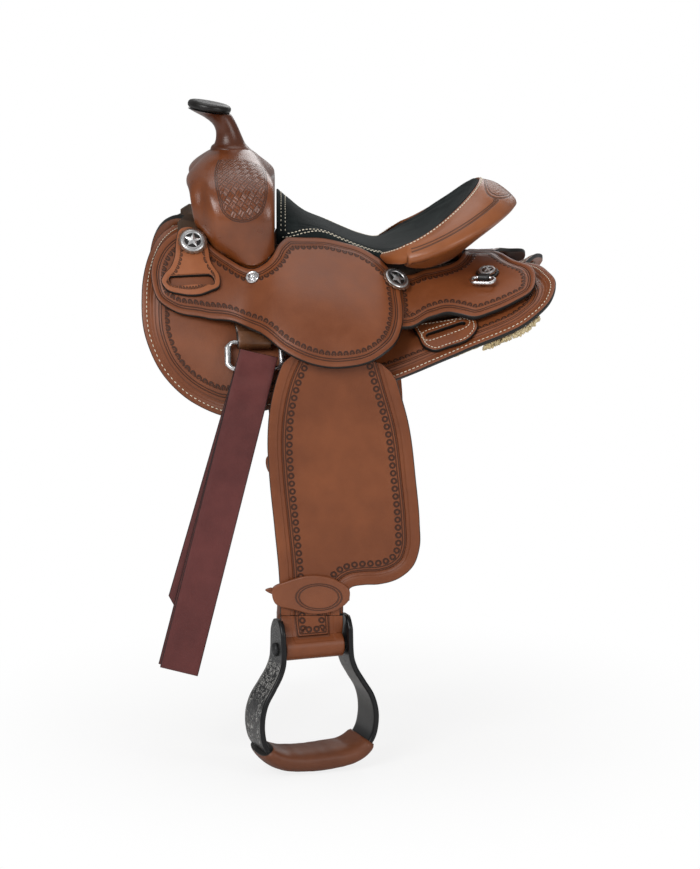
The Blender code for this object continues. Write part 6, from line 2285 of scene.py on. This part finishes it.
@dataclass
class Rigging:
    """Rigging straps, dees and the near latigo."""

    finishes: Finishes
    x: float = -0.1035
    strap_leather: float = 0.0034
    strap_width: float = 0.036
    strap_top: float = 0.1270
    dee_girth: float = 0.166
    dee_wire: float = 0.0025
    dee_width: float = 0.0550
    dee_drop: float = 0.030
    dee_corner: float = 0.006
    dee_heel: float = 0.0065
    dee_air: float = 0.0013
    dee_swell: float = 0.0034
    latigo_leather: float = 0.0028
    latigo_air: float = 0.0012
    ease: float = 0.042
    pinch: float = 0.027
    width: float = 0.0415
    tilt: float = math.radians(14.2)
    latigo_top: tuple = (-0.0985, -0.0135)
    length: float = 0.352
    tail_length: float = 0.300
    tail_shift: float = 0.011
    point: float = 0.022
    middle_shift: float = 0.0025

    def build(self) -> None:
        """Build both sides."""
        height = LAYER_AIR + self.strap_leather + self.dee_air + self.dee_wire
        radius = self.dee_wire + self.dee_air + self.strap_leather / 2
        run = self.dee_girth - self.strap_top
        line = [Vector((-run * (1 - number / 10), -radius)) for number in range(10)]
        line += arc((0, 0), radius, -90, 90, 20)
        line += [Vector((-0.005, radius)), Vector((-0.009, radius - 0.0010))]
        half = self.strap_width / 2
        for name, side in SIDES:
            spot, normal, down, across = BACK.frame(self.x, self.dee_girth, side, level(height))
            ahead = BACK.at(self.x + 0.03, self.dee_girth, height, side)[0] - spot
            lower = BACK.at(self.x, self.dee_girth + 0.03, height, side)[0] - spot
            slant = math.atan2(ahead.z, -lower.z)

            def lay(width: float, flat: Vector) -> Vector:
                """Place on the strap, bent over the skirt above the dee.

                Args:
                    width: Place across the strap.
                    flat: Place in the strap's side view.

                Returns:
                    The point in space.
                """
                along = self.x + width * math.cos(slant) - flat.x * math.sin(slant)
                girth = self.dee_girth + width * math.sin(slant) + flat.x * math.cos(slant)
                straight = spot + across * width + down * flat.x + normal * flat.y
                bent_spot = BACK.at(along, girth, height + flat.y, side)[0]
                return straight.lerp(bent_spot, held(-flat.x / run))

            bm = strap(line, self.strap_leather, lay, -half, half, 0.0010, 10)
            piece("rigging_roll_" + name, bm, "tree", [self.finishes.bronze],
                  ["rigging_strap_" + name])
            wide, corner, heel = self.dee_width / 2, self.dee_corner, self.dee_heel
            path = [Vector((-wide + corner, 0.0)), Vector((0.0, 0.0)), Vector((wide - corner, 0.0))]
            path += arc((wide - corner, corner), corner, -90, 0, 8)[1:]
            path += arc((wide - heel, self.dee_drop - heel), heel, 0, 90, 10)
            path += [Vector((0.0, self.dee_drop))]
            path += arc((-wide + heel, self.dee_drop - heel), heel, 90, 180, 10)
            path += arc((-wide + corner, corner), corner, 180, 270, 8)[:-1]
            radius_in, drop = wide - self.dee_wire, self.dee_drop

            def cast(a: float, b: float, c: float) -> Vector:
                """Place on the dee, whose sides swell outwards.

                Args:
                    a: Place across the dee.
                    b: Distance below its upper bar.
                    c: Height off its plane.

                Returns:
                    The point in space.
                """
                side_part = max((abs(a) - radius_in) / (2 * self.dee_wire), 0.0)
                more = self.dee_swell * side_part * math.sin(math.pi * held(b / drop)) ** 0.7
                return spot + across * math.copysign(abs(a) + more, a) + down * b + normal * c

            bm = wire(path, self.dee_wire, cast)
            piece("steel_dee_" + name, bm, "dee_" + name, [self.finishes.steel],
                  ["rigging_dee_" + name])
            if side < 0:
                self.latigo(spot + down * self.dee_drop, across)

    def latigo(self, bar: Vector, bar_way: Vector) -> None:
        """Latigo over the dee's lower bar, down, and folded up again outside.

        Args:
            bar: Middle of the dee's lower bar.
            bar_way: Direction of the bar.
        """
        long = Vector((-math.sin(self.tilt), 0.0, -math.cos(self.tilt)))
        wide = Vector((math.cos(self.tilt), 0.0, -math.sin(self.tilt)))
        top = Vector((self.latigo_top[0], 0.0, self.latigo_top[1]))
        half, leather = self.width / 2, self.latigo_leather
        radius = self.dee_wire + self.dee_air + leather / 2
        layer = leather + LAYER_AIR
        bar_at = (top.z - bar.z) / -long.z
        skew = bar_way.y / bar_way.x
        end = self.length

        def clear(s: float) -> float:
            """How far out the strap hangs to clear the skirt."""
            spots = [top + long * s + wide * half * part for part in (-1.0, 0.0, 1.0)]
            return max(BACK.reach(spot.x, spot.z) for spot in spots) + self.latigo_air + leather / 2

        hang = max(clear(bar_at + step) for step in (0.030, 0.045, 0.060))
        bar_in = -bar.y - radius

        def rear_out(s: float) -> float:
            """How far out the rear layer is."""
            part = held((s - bar_at) / self.ease)
            return bar_in + (hang - bar_in) * math.sin(part * math.pi / 2)

        def middle_out(s: float) -> float:
            """How far out the middle layer is."""
            part = held((s - bar_at) / self.pinch)
            return rear_out(s) + layer + (2 * radius - layer) * (1.0 + math.cos(math.pi * part)) / 2

        stops = [bar_at + self.ease * (1.0 - number / 10) for number in range(10)] + [bar_at + self.ease * 0.05]
        line = [(self.tail_length, hang, 0.0), (self.tail_length - self.point, hang, 0.0),
                ((stops[0] + self.tail_length) / 2, hang, 0.0)]
        line += [(s, rear_out(s), 0.0) for s in stops]
        line += [(bar_at - radius * math.sin(math.radians(a)), -bar.y - radius * math.cos(math.radians(a)), 0.0)
                 for a in range(0, 181, 12)]
        line += [(s, middle_out(s), 1.0) for s in reversed(stops)]
        line += [((stops[0] + end) / 2, hang + layer, 1.0), (end, hang + layer, 1.0)]
        centre = hang + layer * 1.5
        line += [(end + layer / 2 * math.sin(math.radians(a)), centre - layer / 2 * math.cos(math.radians(a)), 2.0)
                 for a in range(18, 180, 18)]
        line += [(end, hang + 2 * layer, 2.0), ((stops[0] + end) / 2, hang + 2 * layer, 2.0)]
        front = 1.5 * self.latigo_air
        line += [(s, middle_out(s) + layer + front * (1.0 - (s - bar_at) / self.ease), 2.0) for s in stops]
        out = middle_out(bar_at) + layer + front
        line += [(bar_at - 0.006, out, 2.0), (0.0, out, 2.0)]
        shifts = (-self.tail_shift / self.tail_length, -self.middle_shift / end, 0.0)
        skewed = Vector((1.0 / math.cos(self.tilt), 0.0, 0.0))
        numbers = {}

        def lay(width: float, flat: Vector) -> Vector:
            """Place on the latigo: width, then (run down, out); its layer is the nearest one.

            Args:
                width: Place across the strap.
                flat: Place in the strap's side view.

            Returns:
                The point in space.
            """
            s, away = flat
            layer_number = numbers[min(numbers, key=lambda key: (key[0] - s) ** 2 + (key[1] - away) ** 2)]
            twist = max(1.0 - max(s - bar_at, 0.0) / self.ease, 0.0)
            way_over = wide.lerp(skewed, twist if layer_number < 2 else 0.0)
            shift = shifts[int(layer_number)] * max(s - bar_at, 0.0)
            if layer_number < 1:
                point = held((s - self.tail_length) / self.point + 1.0)
                width = half - (half - width) * (1.0 - 0.5 * point)
            spot = top + long * s + way_over * width + wide * shift
            spot.y = -away + skew * (spot.x - bar.x) * twist
            return spot

        for s, away, number in line:
            numbers[(s, away)] = number
        bm = strap([Vector((s, away)) for s, away, _ in line], leather, lay, -half, half, 0.0006, 6)
        piece("latigo_strap", bm, "latigo", [self.finishes.latigo], ["latigo"])


@dataclass
class Fenders:
    """Stirrup leathers, fenders, hobble straps and the turning ends of the leathers."""

    finishes: Finishes
    leather: float = 0.0045
    y: float = 0.1620
    top: float = -0.0130
    hinge_rise: float = 0.0020
    shoulder: float = -0.045
    squeeze: float = 0.125
    x: float = -0.0350
    pivot_z: float = 0.012
    width: float = 0.052
    neck_centre: float = -0.0435
    neck_width: float = 0.0670
    neck_end: float = -0.2945
    loop_z: float = -0.3295
    rise: float = 0.0762
    forward: float = 0.008
    tail_top: float = -0.132
    hobble_leather: float = 0.0036
    hobble_air: float = 0.0030
    band_z: float = -0.2785
    band_rise: float = 0.0062
    band_height: float = 0.0125
    sleeve: float = 0.0080
    stirrup_top: float = 0.0705
    loop_air: float = 0.00175
    # Turn of the near and the off stirrup at rest, and how much of it is gone at the turned leather's top.
    turns: tuple = (math.radians(20.0), math.radians(-90.0))
    untwist: tuple = (1.0, 0.0)
    untwist_from: float = 0.010
    end_leather: float = 0.0024
    strap_end: tuple = ((0.0015, 0.0105, 1), (-0.0070, 0.0135), (-0.0130, 0.0110), (-0.0080, 0.0075),
                        (0.0015, 0.0050, 1))
    oval_at: tuple = (0.0075, 0.0045)
    oval_half: tuple = (0.0245, 0.0145)
    bend: float = 0.0015
    outline: tuple = (
        (-0.0520, 0.030, 1), (-0.0615, 0.004), (-0.0790, -0.036), (-0.0870, -0.069), (-0.0900, -0.109),
        (-0.0885, -0.141), (-0.0830, -0.200), (-0.0785, -0.250), (-0.0770, -0.2945), (-0.0770, -0.330, 1),
        (-0.0100, -0.330, 1), (-0.0092, -0.275), (-0.0020, -0.2650), (0.0120, -0.2620), (0.0270, -0.2615),
        (0.0500, -0.2545), (0.0640, -0.2420), (0.0710, -0.2220), (0.0710, -0.1950), (0.0670, -0.1500),
        (0.0590, -0.0880), (0.0470, -0.0440), (0.0360, -0.005), (0.0280, 0.030, 1),
    )
    corners: tuple = ((-0.0790, -0.036), (-0.0755, -0.0250), (-0.0620, -0.013), (-0.0080, -0.013),
                      (0.0300, -0.0240), (0.0400, -0.0325), (0.0470, -0.0440))
    hobble: tuple = (
        (-0.0850, -0.2640), (-0.0700, -0.2570), (-0.0400, -0.2505), (-0.0170, -0.2560), (-0.0030, -0.2690),
        (-0.0045, -0.2780), (-0.0150, -0.2870), (-0.0400, -0.2925), (-0.0620, -0.2880), (-0.0830, -0.2800),
    )
    rings: tuple = ((0.0004, 0.00030), (0.0012, 0.0), (0.0105, 0.0), (0.0116, 0.0011), (0.0143, 0.0013),
                    (0.0153, 0.0), (0.0196, 0.0), (0.0268, 0.0))

    def shift(self, side: int) -> tuple[float, float]:
        """How much higher and how much further forward a side's leather hangs."""
        return (self.rise, self.forward) if side > 0 else (0.0, 0.0)

    def build(self) -> None:
        """Build both sides."""
        for name, side in SIDES:
            rise, forward = self.shift(side)
            self.upper(name, side, forward)

            def fit(x: float, z: float) -> Vector:
                """Shorten the fender below its shoulder."""
                part = held((self.shoulder - z) / self.squeeze)
                return Vector((x - forward, z + rise * part))

            outline = [fit(*spot) for spot in curve_through(self.outline, 0.0028)]
            corners = [fit(*spot) for spot in self.corners]
            cuts = [((0.0, self.neck_end + rise), (0.0, -1.0))]
            for first, second in zip(corners, corners[1:]):
                cuts.append((first, (-(second - first).y, (second - first).x)))
            self.plate("fender_leather_" + name, outline, side, self.y, self.leather, "fender_" + name,
                       self.finishes.fender, ["fender_" + name], self.rings,
                       (FENDER_TOOLING.stamp_at, FENDER_TOOLING.pitch), cuts)
            neck = Vector((self.neck_centre - forward, rise))
            half = self.neck_width / 2
            tail = [(neck.x - half, self.tail_top + rise, 1), (neck.x + half, self.tail_top + rise, 1),
                    (neck.x + half, self.neck_end + rise, 1), (neck.x - half, self.neck_end + rise, 1)]
            self.plate("tail_leather_" + name, curve_through(tail, 0.004), side,
                       self.y - TOUCH - self.leather, self.leather, "fender_" + name, self.finishes.plain,
                       ["leather_tail_" + name])
            self.hobble_strap(name, side, neck)
            self.turning_end(name, side, neck)

    def plate(self, name: str, outline: Sequence[Vector], side: int, inner: float, thickness: float, body: str,
              finish: bpy.types.Material, nodes: Sequence[str], rings: tuple = LEATHER_RINGS,
              track: tuple = (0.0, 0.010), cuts: Sequence[tuple] = ()) -> None:
        """Flat leather in a plane of constant y.

        Args:
            name: Name of the piece.
            outline: Its outline in (x, z).
            side: -1 or 1.
            inner: How far out its inner face is.
            thickness: Its thickness.
            body: Body that it rides on.
            finish: Its material.
            nodes: Nodes that it replaces.
            rings: Rings of its border.
            track: Where the run along it is measured, and the pitch fitted to it.
            cuts: Straight cuts.
        """
        flat = panel(outline, thickness, 0.008, rings=rings, track=track, cuts=cuts)
        bm = settle(flat, lambda x, z, up: Vector((x, side * (inner + thickness * up), z)))
        flat.free()
        piece(name, bm, body, [finish], nodes)

    def upper(self, name: str, side: int, forward: float) -> None:
        """Leather from the tree's bar over to the fender's top.

        Args:
            name: Name of the side.
            side: -1 for the near side, 1 for the off side.
            forward: How much further forward the leather hangs.
        """
        middle = self.y + self.leather / 2
        line = [Vector((self.y - 0.036, self.pivot_z + 0.006)), Vector((self.y - 0.027, self.pivot_z + 0.0045)),
                Vector((self.y - 0.016, self.pivot_z - 0.001)), Vector((middle - 0.0065, self.top + 0.0115)),
                Vector((middle, self.top + self.hinge_rise + TOUCH))]
        pivot = self.x - forward
        half = self.width / 2
        bm = strap(line, self.leather, lambda width, flat: Vector((pivot + width, side * flat.x, flat.y)), -half,
                   half)
        piece("stirrup_strap_" + name, bm, "leather_" + name, [self.finishes.plain],
              ["stirrup_leather_" + name])

    def hobble_strap(self, name: str, side: int, neck: Vector) -> None:
        """Hobble strap: shaped face with a bare oval border, and a band round the neck.

        Args:
            name: Name of the side.
            side: -1 for the near side, 1 for the off side.
            neck: Middle of the fender's neck in x, and how much higher it hangs.
        """
        face_in = self.y + self.leather + TOUCH
        thickness = self.hobble_leather
        outline = [Vector((x + neck.x - self.neck_centre, z + neck.y)) for x, z in
                   curve_through(self.hobble, 0.0018)]
        flat = panel(outline, thickness, 0.0045)
        face = settle(flat, lambda x, z, up: Vector((x, side * (face_in + thickness * up), z)))
        flat.free()
        left = neck.x - self.neck_width / 2 - self.hobble_air
        right = neck.x + self.neck_width / 2 + self.hobble_air
        back = self.y - 2 * TOUCH - self.leather
        low = self.band_z + self.band_rise - self.band_height / 2 + neck.y
        half, front = thickness / 2, face_in + thickness * 0.5
        path = [Vector((left - half, front)), Vector((left - half, back + 0.002))]
        path += arc((left + self.bend, back + self.bend), self.bend + half, 180, 270, 6)
        path += arc((right - self.bend, back + self.bend), self.bend + half, 270, 360, 6)
        path += [Vector((right + half, back + 0.002)), Vector((right + half, front))]
        bm = strap(path, thickness, lambda width, flat: Vector((flat.x, side * flat.y, low + width)), 0.0,
                   self.band_height, 0.0008, 5)
        tail = [Vector((neck.x - side * (left + x - neck.x), low + z)) for x, z in
                curve_through(self.strap_end, 0.0012)]
        if side > 0:
            tail.reverse()
        flat = panel(tail, self.end_leather, 0.004)
        end = settle(flat, lambda x, z, up: Vector((x, side * (self.y + self.end_leather * up), z)))
        flat.free()
        bm = merge([face, bm, end])
        ring = bm.verts.layers.float.new("panel")
        centre = Vector((neck.x + self.oval_at[0], self.band_z + self.oval_at[1] + neck.y))
        long, high = self.oval_half
        for vert in bm.verts:
            x, z = (vert.co.x - centre.x) / long, (vert.co.z - centre.y) / high
            vert[ring] = (1.0 - math.hypot(x, z)) * high if abs(vert.co.y) > face_in else OUTSIDE
        piece("hobble_leather_" + name, bm, "fender_" + name, [self.finishes.hobble],
              ["hobble_strap_" + name])

    def turning_end(self, name: str, side: int, neck: Vector) -> None:
        """End of the leather that is turned and goes round the stirrup's bolt.

        Args:
            name: Name of the side.
            side: -1 for the near side, 1 for the off side.
            neck: Middle of the fender's neck in x, and how much higher it hangs.
        """
        axis = Vector((neck.x, side * (self.y - TOUCH / 2), self.loop_z + neck.y))
        turned_by, untwist = self.turns[side > 0], self.untwist[side > 0]
        pitch = self.leather + TOUCH
        radius = self.sleeve + TOUCH + self.leather / 2
        top = self.neck_end - TOUCH * 2 - self.loop_z
        half = self.stirrup_top / 2 - self.loop_air
        line = [Vector((pitch / 2, top - number * 0.0015)) for number in range(16)]
        line += arc((0, 0), radius, 58, -238, 44)
        line += [Vector((-pitch / 2, top - number * 0.0015)) for number in reversed(range(16))]

        def spin(height: float) -> Matrix:
            """Turn of the leather at a height over its axis."""
            part = eased((height - self.untwist_from) / (top - self.untwist_from))
            return Matrix.Rotation(turned_by * (1.0 - untwist * part), 4, "Z")

        def lay(width: float, flat: Vector) -> Vector:
            """Place on the turned end."""
            level_spot = spin(flat.y) @ Vector((width, side * flat.x, 0.0))
            return Vector((axis.x + level_spot.x, axis.y + level_spot.y, axis.z + flat.y))

        bm = strap(line, self.leather, lay, -half, half, 0.0010, 40)
        uv = bm.loops.layers.uv["edge"]
        for face in bm.faces:
            for loop in face.loops:
                flat = spin(loop.vert.co.z - axis.z).inverted() @ (loop.vert.co - axis)
                if flat.y * side > 0.0 and loop[uv].uv.y > 0.0:
                    sides, foot = half - abs(flat.x), flat.z + 0.0035
                    loop[uv].uv = (flat.z if sides < foot else flat.x, min(sides, max(foot, 0.005)))
                elif loop[uv].uv.y > 0.0:
                    loop[uv].uv = (0.0, 0.005)
        piece("turned_leather_" + name, bm, "turn_" + name, [self.finishes.fender],
              ["leather_loop_" + name])


@dataclass
class Stirrups:
    """Engraved stirrups with their bolts and leather-wrapped treads."""

    finishes: Finishes
    metal: float = 0.0055
    top_width: float = 0.0705
    half: tuple = (
        (0.0000, 0.0320), (0.0000, 0.0120), (0.0000, -0.0040), (0.0006, -0.0120), (0.0040, -0.0230),
        (0.0125, -0.0380), (0.0220, -0.0540), (0.0265, -0.0720), (0.0262, -0.0860), (0.0225, -0.1000),
        (0.0140, -0.1110), (0.0000, -0.1180),
    )
    tread_drop: float = 0.1215
    crown_depth: float = 0.023
    shoulder: float = 0.020
    top_depth: float = 0.034
    depth: float = 0.052
    wrap_top: float = -0.1040
    wrap_thickness: float = 0.0240
    wrap_edge: float = 0.0045
    bolt: float = 0.0040
    nut: float = 0.0075
    nut_thickness: float = 0.0042

    def line(self, step: float) -> list[Vector]:
        """Middle of the metal, from one top end down round the tread to the other.

        Args:
            step: Spacing of the points.

        Returns:
            Points in the stirrup's plane.
        """
        narrow = self.top_width / 2 + self.metal / 2
        right = [(narrow + wider, height) for wider, height in self.half]
        tread = [(narrow * 0.55, -self.tread_drop + 0.001), (0.0, -self.tread_drop)]
        left = [(-x, z) for x, z in reversed(right + tread[:1])]
        return curve_through(right + tread + left, step, closed=False)

    def depth_at(self, height: float) -> float:
        """Depth of the metal at a height above the bolt.

        Args:
            height: Height above the bolt.

        Returns:
            The depth.
        """
        crown = self.half[0][1]
        part = held((crown - height) / (crown + self.tread_drop * 0.6))
        depth = self.top_depth + (self.depth - self.top_depth) * part
        if height > self.shoulder:
            depth += (self.crown_depth - depth) * (height - self.shoulder) / (crown - self.shoulder)
        return depth

    def build(self, fenders: Fenders) -> None:
        """Build both stirrups.

        Args:
            fenders: The fenders that they hang from.
        """
        for name, side in SIDES:
            rise, forward = fenders.shift(side)
            axis = Vector((fenders.neck_centre - forward, side * (fenders.y - TOUCH / 2), fenders.loop_z + rise))
            spin = Matrix.Rotation(fenders.turns[side > 0], 4, "Z")

            def world(a: float, b: float, z: float) -> Vector:
                """Place in the stirrup's own axes."""
                flat = spin @ Vector((a, side * b, 0.0))
                return Vector((axis.x + flat.x, axis.y + flat.y, axis.z + z))

            self.frame(name, world)
            self.bolts(name, axis, spin @ Vector((1, 0, 0)))
            self.tread(name, world)

    def frame(self, name: str, world: Place) -> None:
        """The stirrup's metal with its engraved faces.

        Args:
            name: Name of the side.
            world: Map from the stirrup's own axes to space.
        """
        rows, uvs = [], []
        line = self.line(0.0022)
        runs = runs_along(line)
        half, ease, spans = self.metal / 2, 0.0016, 14
        for index, spot in enumerate(line):
            out = left_of(heading(line, index))
            half_depth = self.depth_at(spot.y) / 2
            end = min(index, len(line) - 1 - index)
            half_depth -= 0.0030 * max(1.0 - end / 3.0, 0.0) ** 2
            flat = [-half_depth + ease + (2 * half_depth - 2 * ease) * number / spans for number in range(spans + 1)]
            section = [(width, half) for width in flat]
            section += [(half_depth - 0.0005, half * 0.72), (half_depth, 0.0), (half_depth - 0.0005, -half * 0.72)]
            section += [(width, -half) for width in reversed(flat)]
            section += [(-half_depth + 0.0005, -half * 0.72), (-half_depth, 0.0), (-half_depth + 0.0005, half * 0.72)]
            section.append(section[0])
            row, ring = [], []
            for width, up in section:
                flat_spot = spot + out * up
                row.append(world(flat_spot.x, width, flat_spot.y))
                outer = up > half * 0.9
                ring.append((min(runs[index], runs[-1] - runs[index]), half_depth - abs(width) if outer else WALL))
            rows.append(row)
            uvs.append(ring)
        piece("engraved_stirrup_" + name, loft(rows, uvs), "stirrup_" + name,
              [self.finishes.engraved], ["stirrup_" + name], 55.0)

    def bolts(self, name: str, axis: Vector, across: Vector) -> None:
        """Bolt with a domed nut at each end.

        Args:
            name: Name of the side.
            axis: Middle of the bolt.
            across: Direction of the bolt.
        """
        reach = self.top_width / 2 + self.metal
        outer = reach + TOUCH + self.nut_thickness
        half = [(0.0, outer), (self.nut * 0.35, outer - 0.0001), (self.nut * 0.70, outer - 0.0006),
                (self.nut * 0.92, outer - 0.0016), (self.nut, outer - 0.0028), (self.nut, reach + TOUCH),
                (self.bolt, reach + TOUCH)]
        profile = [(radius, -height) for radius, height in half] + list(reversed(half))
        piece("stirrup_nuts_" + name, turned(profile, axis, across, 40), "stirrup_" + name,
              [self.finishes.iron], ["stirrup_bolt_" + name], 40.0)

    def tread(self, name: str, world: Place) -> None:
        """Leather wrapped round the tread.

        Args:
            name: Name of the side.
            world: Map from the stirrup's own axes to space.
        """
        step = 0.0026
        line = self.line(step)
        wrapped = [index for index, spot in enumerate(line) if spot.y < self.wrap_top]
        last = len(wrapped) - 1
        rows, uvs = [], []
        run = 0.0
        for index, number in enumerate(wrapped):
            spot = line[number]
            up = left_of(heading(line, number))
            part = abs(2 * index / last - 1.0)
            full = 1.0 - 0.26 * part ** 3
            tip = 1.0 - 0.10 * max((part - 0.93) / 0.07, 0.0) ** 2
            half_y = (self.depth / 2 + self.wrap_edge) * (0.80 + 0.20 * full) * tip
            half_z = self.wrap_thickness / 2 * full * tip
            run += step
            row, ring = [], []
            for cosine, sine in spokes(40):
                y, z = half_y * boxed(cosine, 0.72), half_z * boxed(sine, 0.72)
                crease = noise.noise(Vector((spot.x * 38.0, y * 30.0, z * 60.0)))
                crease += 0.6 * noise.noise(Vector((spot.x * 120.0, y * 26.0, z * 90.0 + 4.0)))
                scale = 1.0 + 0.055 * crease
                row.append(world(spot.x + up.x * z * scale, y * (1.0 + 0.020 * crease), spot.y + up.y * z * scale))
                ring.append((run, min(run, (last + 1) * step - run)))
            rows.append(row)
            uvs.append(ring)
        piece("tread_leather_" + name, loft(rows, uvs), "stirrup_" + name, [self.finishes.tread],
              ["tread_wrap_" + name], 60.0)


@dataclass
class Studio:
    """Plain white studio and the photograph's camera."""

    azimuth: float = math.radians(-1.0)
    elevation: float = math.radians(10.5)
    distance: float = 4.0
    target: tuple = (0.0, 0.0, -0.130)
    # Focal length of 3636 pixels in a photograph 869 high, as millimetres on a 36 mm sensor.
    lens: float = 3636.0 * 36.0 / 869.0
    # Name, place, size and power of each lamp.
    lamps: tuple = (
        ("key", (-1.5, -2.6, 1.7), 1.5, 60.0), ("fill", (2.2, -2.2, 0.9), 1.2, 24.0),
        ("top", (0.2, 0.4, 2.6), 1.8, 20.0), ("rear", (0.8, 2.8, 1.4), 1.6, 18.0),
    )

    def build(self, floor_z: float) -> None:
        """Build the floor, world, lamps and camera.

        Args:
            floor_z: Height of the floor.
        """
        self.floor(floor_z)
        self.world()
        for name, place, size, power in self.lamps:
            self.lamp(name, Vector(place), size, power)
        self.camera()

    def floor(self, height: float) -> None:
        """Pale floor that shows white with a soft shadow.

        Args:
            height: Height of the floor.
        """
        graph = Graph("studio_floor")
        output = graph.tree.nodes["Material Output"]
        graph.dress((0.86, 0.86, 0.86), graph.plus(graph.times(graph.noise(3.0), 0.05), 0.72))
        split = graph.node("ShaderNodeSeparateXYZ")
        graph.put(split.inputs[0], graph.object)
        far = graph.math("SQRT", graph.plus(graph.math("POWER", split.outputs[0], 2.0),
                                            graph.math("POWER", split.outputs[1], 2.0)))
        white = graph.smooth(far, 0.12, 0.55)
        glow = graph.node("ShaderNodeEmission")
        glow.inputs["Color"].default_value = (1.0, 1.0, 1.0, 1.0)
        glow.inputs["Strength"].default_value = 1.0
        rays = graph.node("ShaderNodeLightPath")
        seen = graph.times(rays.outputs["Is Camera Ray"], graph.plus(graph.times(white, 0.18), 0.82))
        mixed = graph.node("ShaderNodeMixShader")
        graph.put(mixed.inputs[0], seen)
        graph.put(mixed.inputs[1], graph.shader.outputs[0])
        graph.put(mixed.inputs[2], glow.outputs[0])
        graph.put(output.inputs["Surface"], mixed.outputs[0])
        bm = bmesh.new()
        bmesh.ops.create_grid(bm, x_segments=2, y_segments=2, size=12.0)
        bmesh.ops.translate(bm, verts=bm.verts[:], vec=(0.0, 0.0, height))
        mesh = bpy.data.meshes.new("studio_floor")
        bm.to_mesh(mesh)
        bm.free()
        mesh.materials.append(graph.material)
        floor = bpy.data.objects.new("studio_floor", mesh)
        bpy.context.scene.collection.objects.link(floor)
        floor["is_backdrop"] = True

    def world(self) -> None:
        """White surroundings, brighter to the camera than to the object."""
        world = bpy.data.worlds.new("studio")
        world.use_nodes = True
        bpy.context.scene.world = world
        tree = world.node_tree
        sky = tree.nodes["Background"]
        sky.inputs["Color"].default_value = (1.0, 1.0, 1.0, 1.0)
        rays = tree.nodes.new("ShaderNodeLightPath")
        level_node = tree.nodes.new("ShaderNodeMapRange")
        level_node.inputs["To Min"].default_value = 0.30
        level_node.inputs["To Max"].default_value = 1.0
        seen = tree.nodes.new("ShaderNodeMath")
        seen.operation = "MAXIMUM"
        tree.links.new(rays.outputs["Is Camera Ray"], seen.inputs[0])
        tree.links.new(rays.outputs["Is Transmission Ray"], seen.inputs[1])
        tree.links.new(seen.outputs[0], level_node.inputs["Value"])
        tree.links.new(level_node.outputs["Result"], sky.inputs["Strength"])

    def lamp(self, name: str, place: Vector, size: float, power: float) -> None:
        """Square soft lamp aimed at the saddle.

        Args:
            name: Name of the lamp.
            place: Where it stands.
            size: Width of its square.
            power: Its power in watts.
        """
        light = bpy.data.lights.new(name, "AREA")
        light.shape = "SQUARE"
        light.size = size
        light.energy = power
        lamp = bpy.data.objects.new(name, light)
        lamp.location = place
        lamp.rotation_euler = (Vector(self.target) - place).to_track_quat("-Z", "Y").to_euler()
        bpy.context.scene.collection.objects.link(lamp)

    def camera(self) -> None:
        """Camera at the photograph's viewing angle."""
        data = bpy.data.cameras.new("photo_camera")
        data.sensor_fit = "AUTO"
        data.sensor_width = 36.0
        data.lens = self.lens
        camera = bpy.data.objects.new("photo_camera", data)
        flat = math.cos(self.elevation)
        away = Vector((math.sin(self.azimuth) * flat, -math.cos(self.azimuth) * flat, math.sin(self.elevation)))
        camera.location = Vector(self.target) + away * self.distance
        camera.rotation_euler = (-away).to_track_quat("-Z", "Y").to_euler()
        bpy.context.scene.collection.objects.link(camera)
        bpy.context.scene.camera = camera


def main() -> None:
    """Load the frame, build the saddle's looks on it and set up the studio."""
    logging.basicConfig(level=logging.INFO, format="%(message)s")
    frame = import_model()
    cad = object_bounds()
    scene = bpy.context.scene
    scene.view_settings.view_transform = "Standard"
    finishes = Finishes()
    Skirts(finishes).build()
    Tree(finishes, frame["nodes"]).build()
    Jockeys(finishes).build()
    Seat(finishes).build()
    Cantle(finishes).build()
    Fork(finishes).build()
    Horn(finishes).build()
    Ornaments(finishes).build()
    Rigging(finishes).build()
    fenders = Fenders(finishes)
    fenders.build()
    Stirrups(finishes).build(fenders)
    Studio().build(cad[0][2] - 0.0005)


if __name__ == "__main__":
    main()
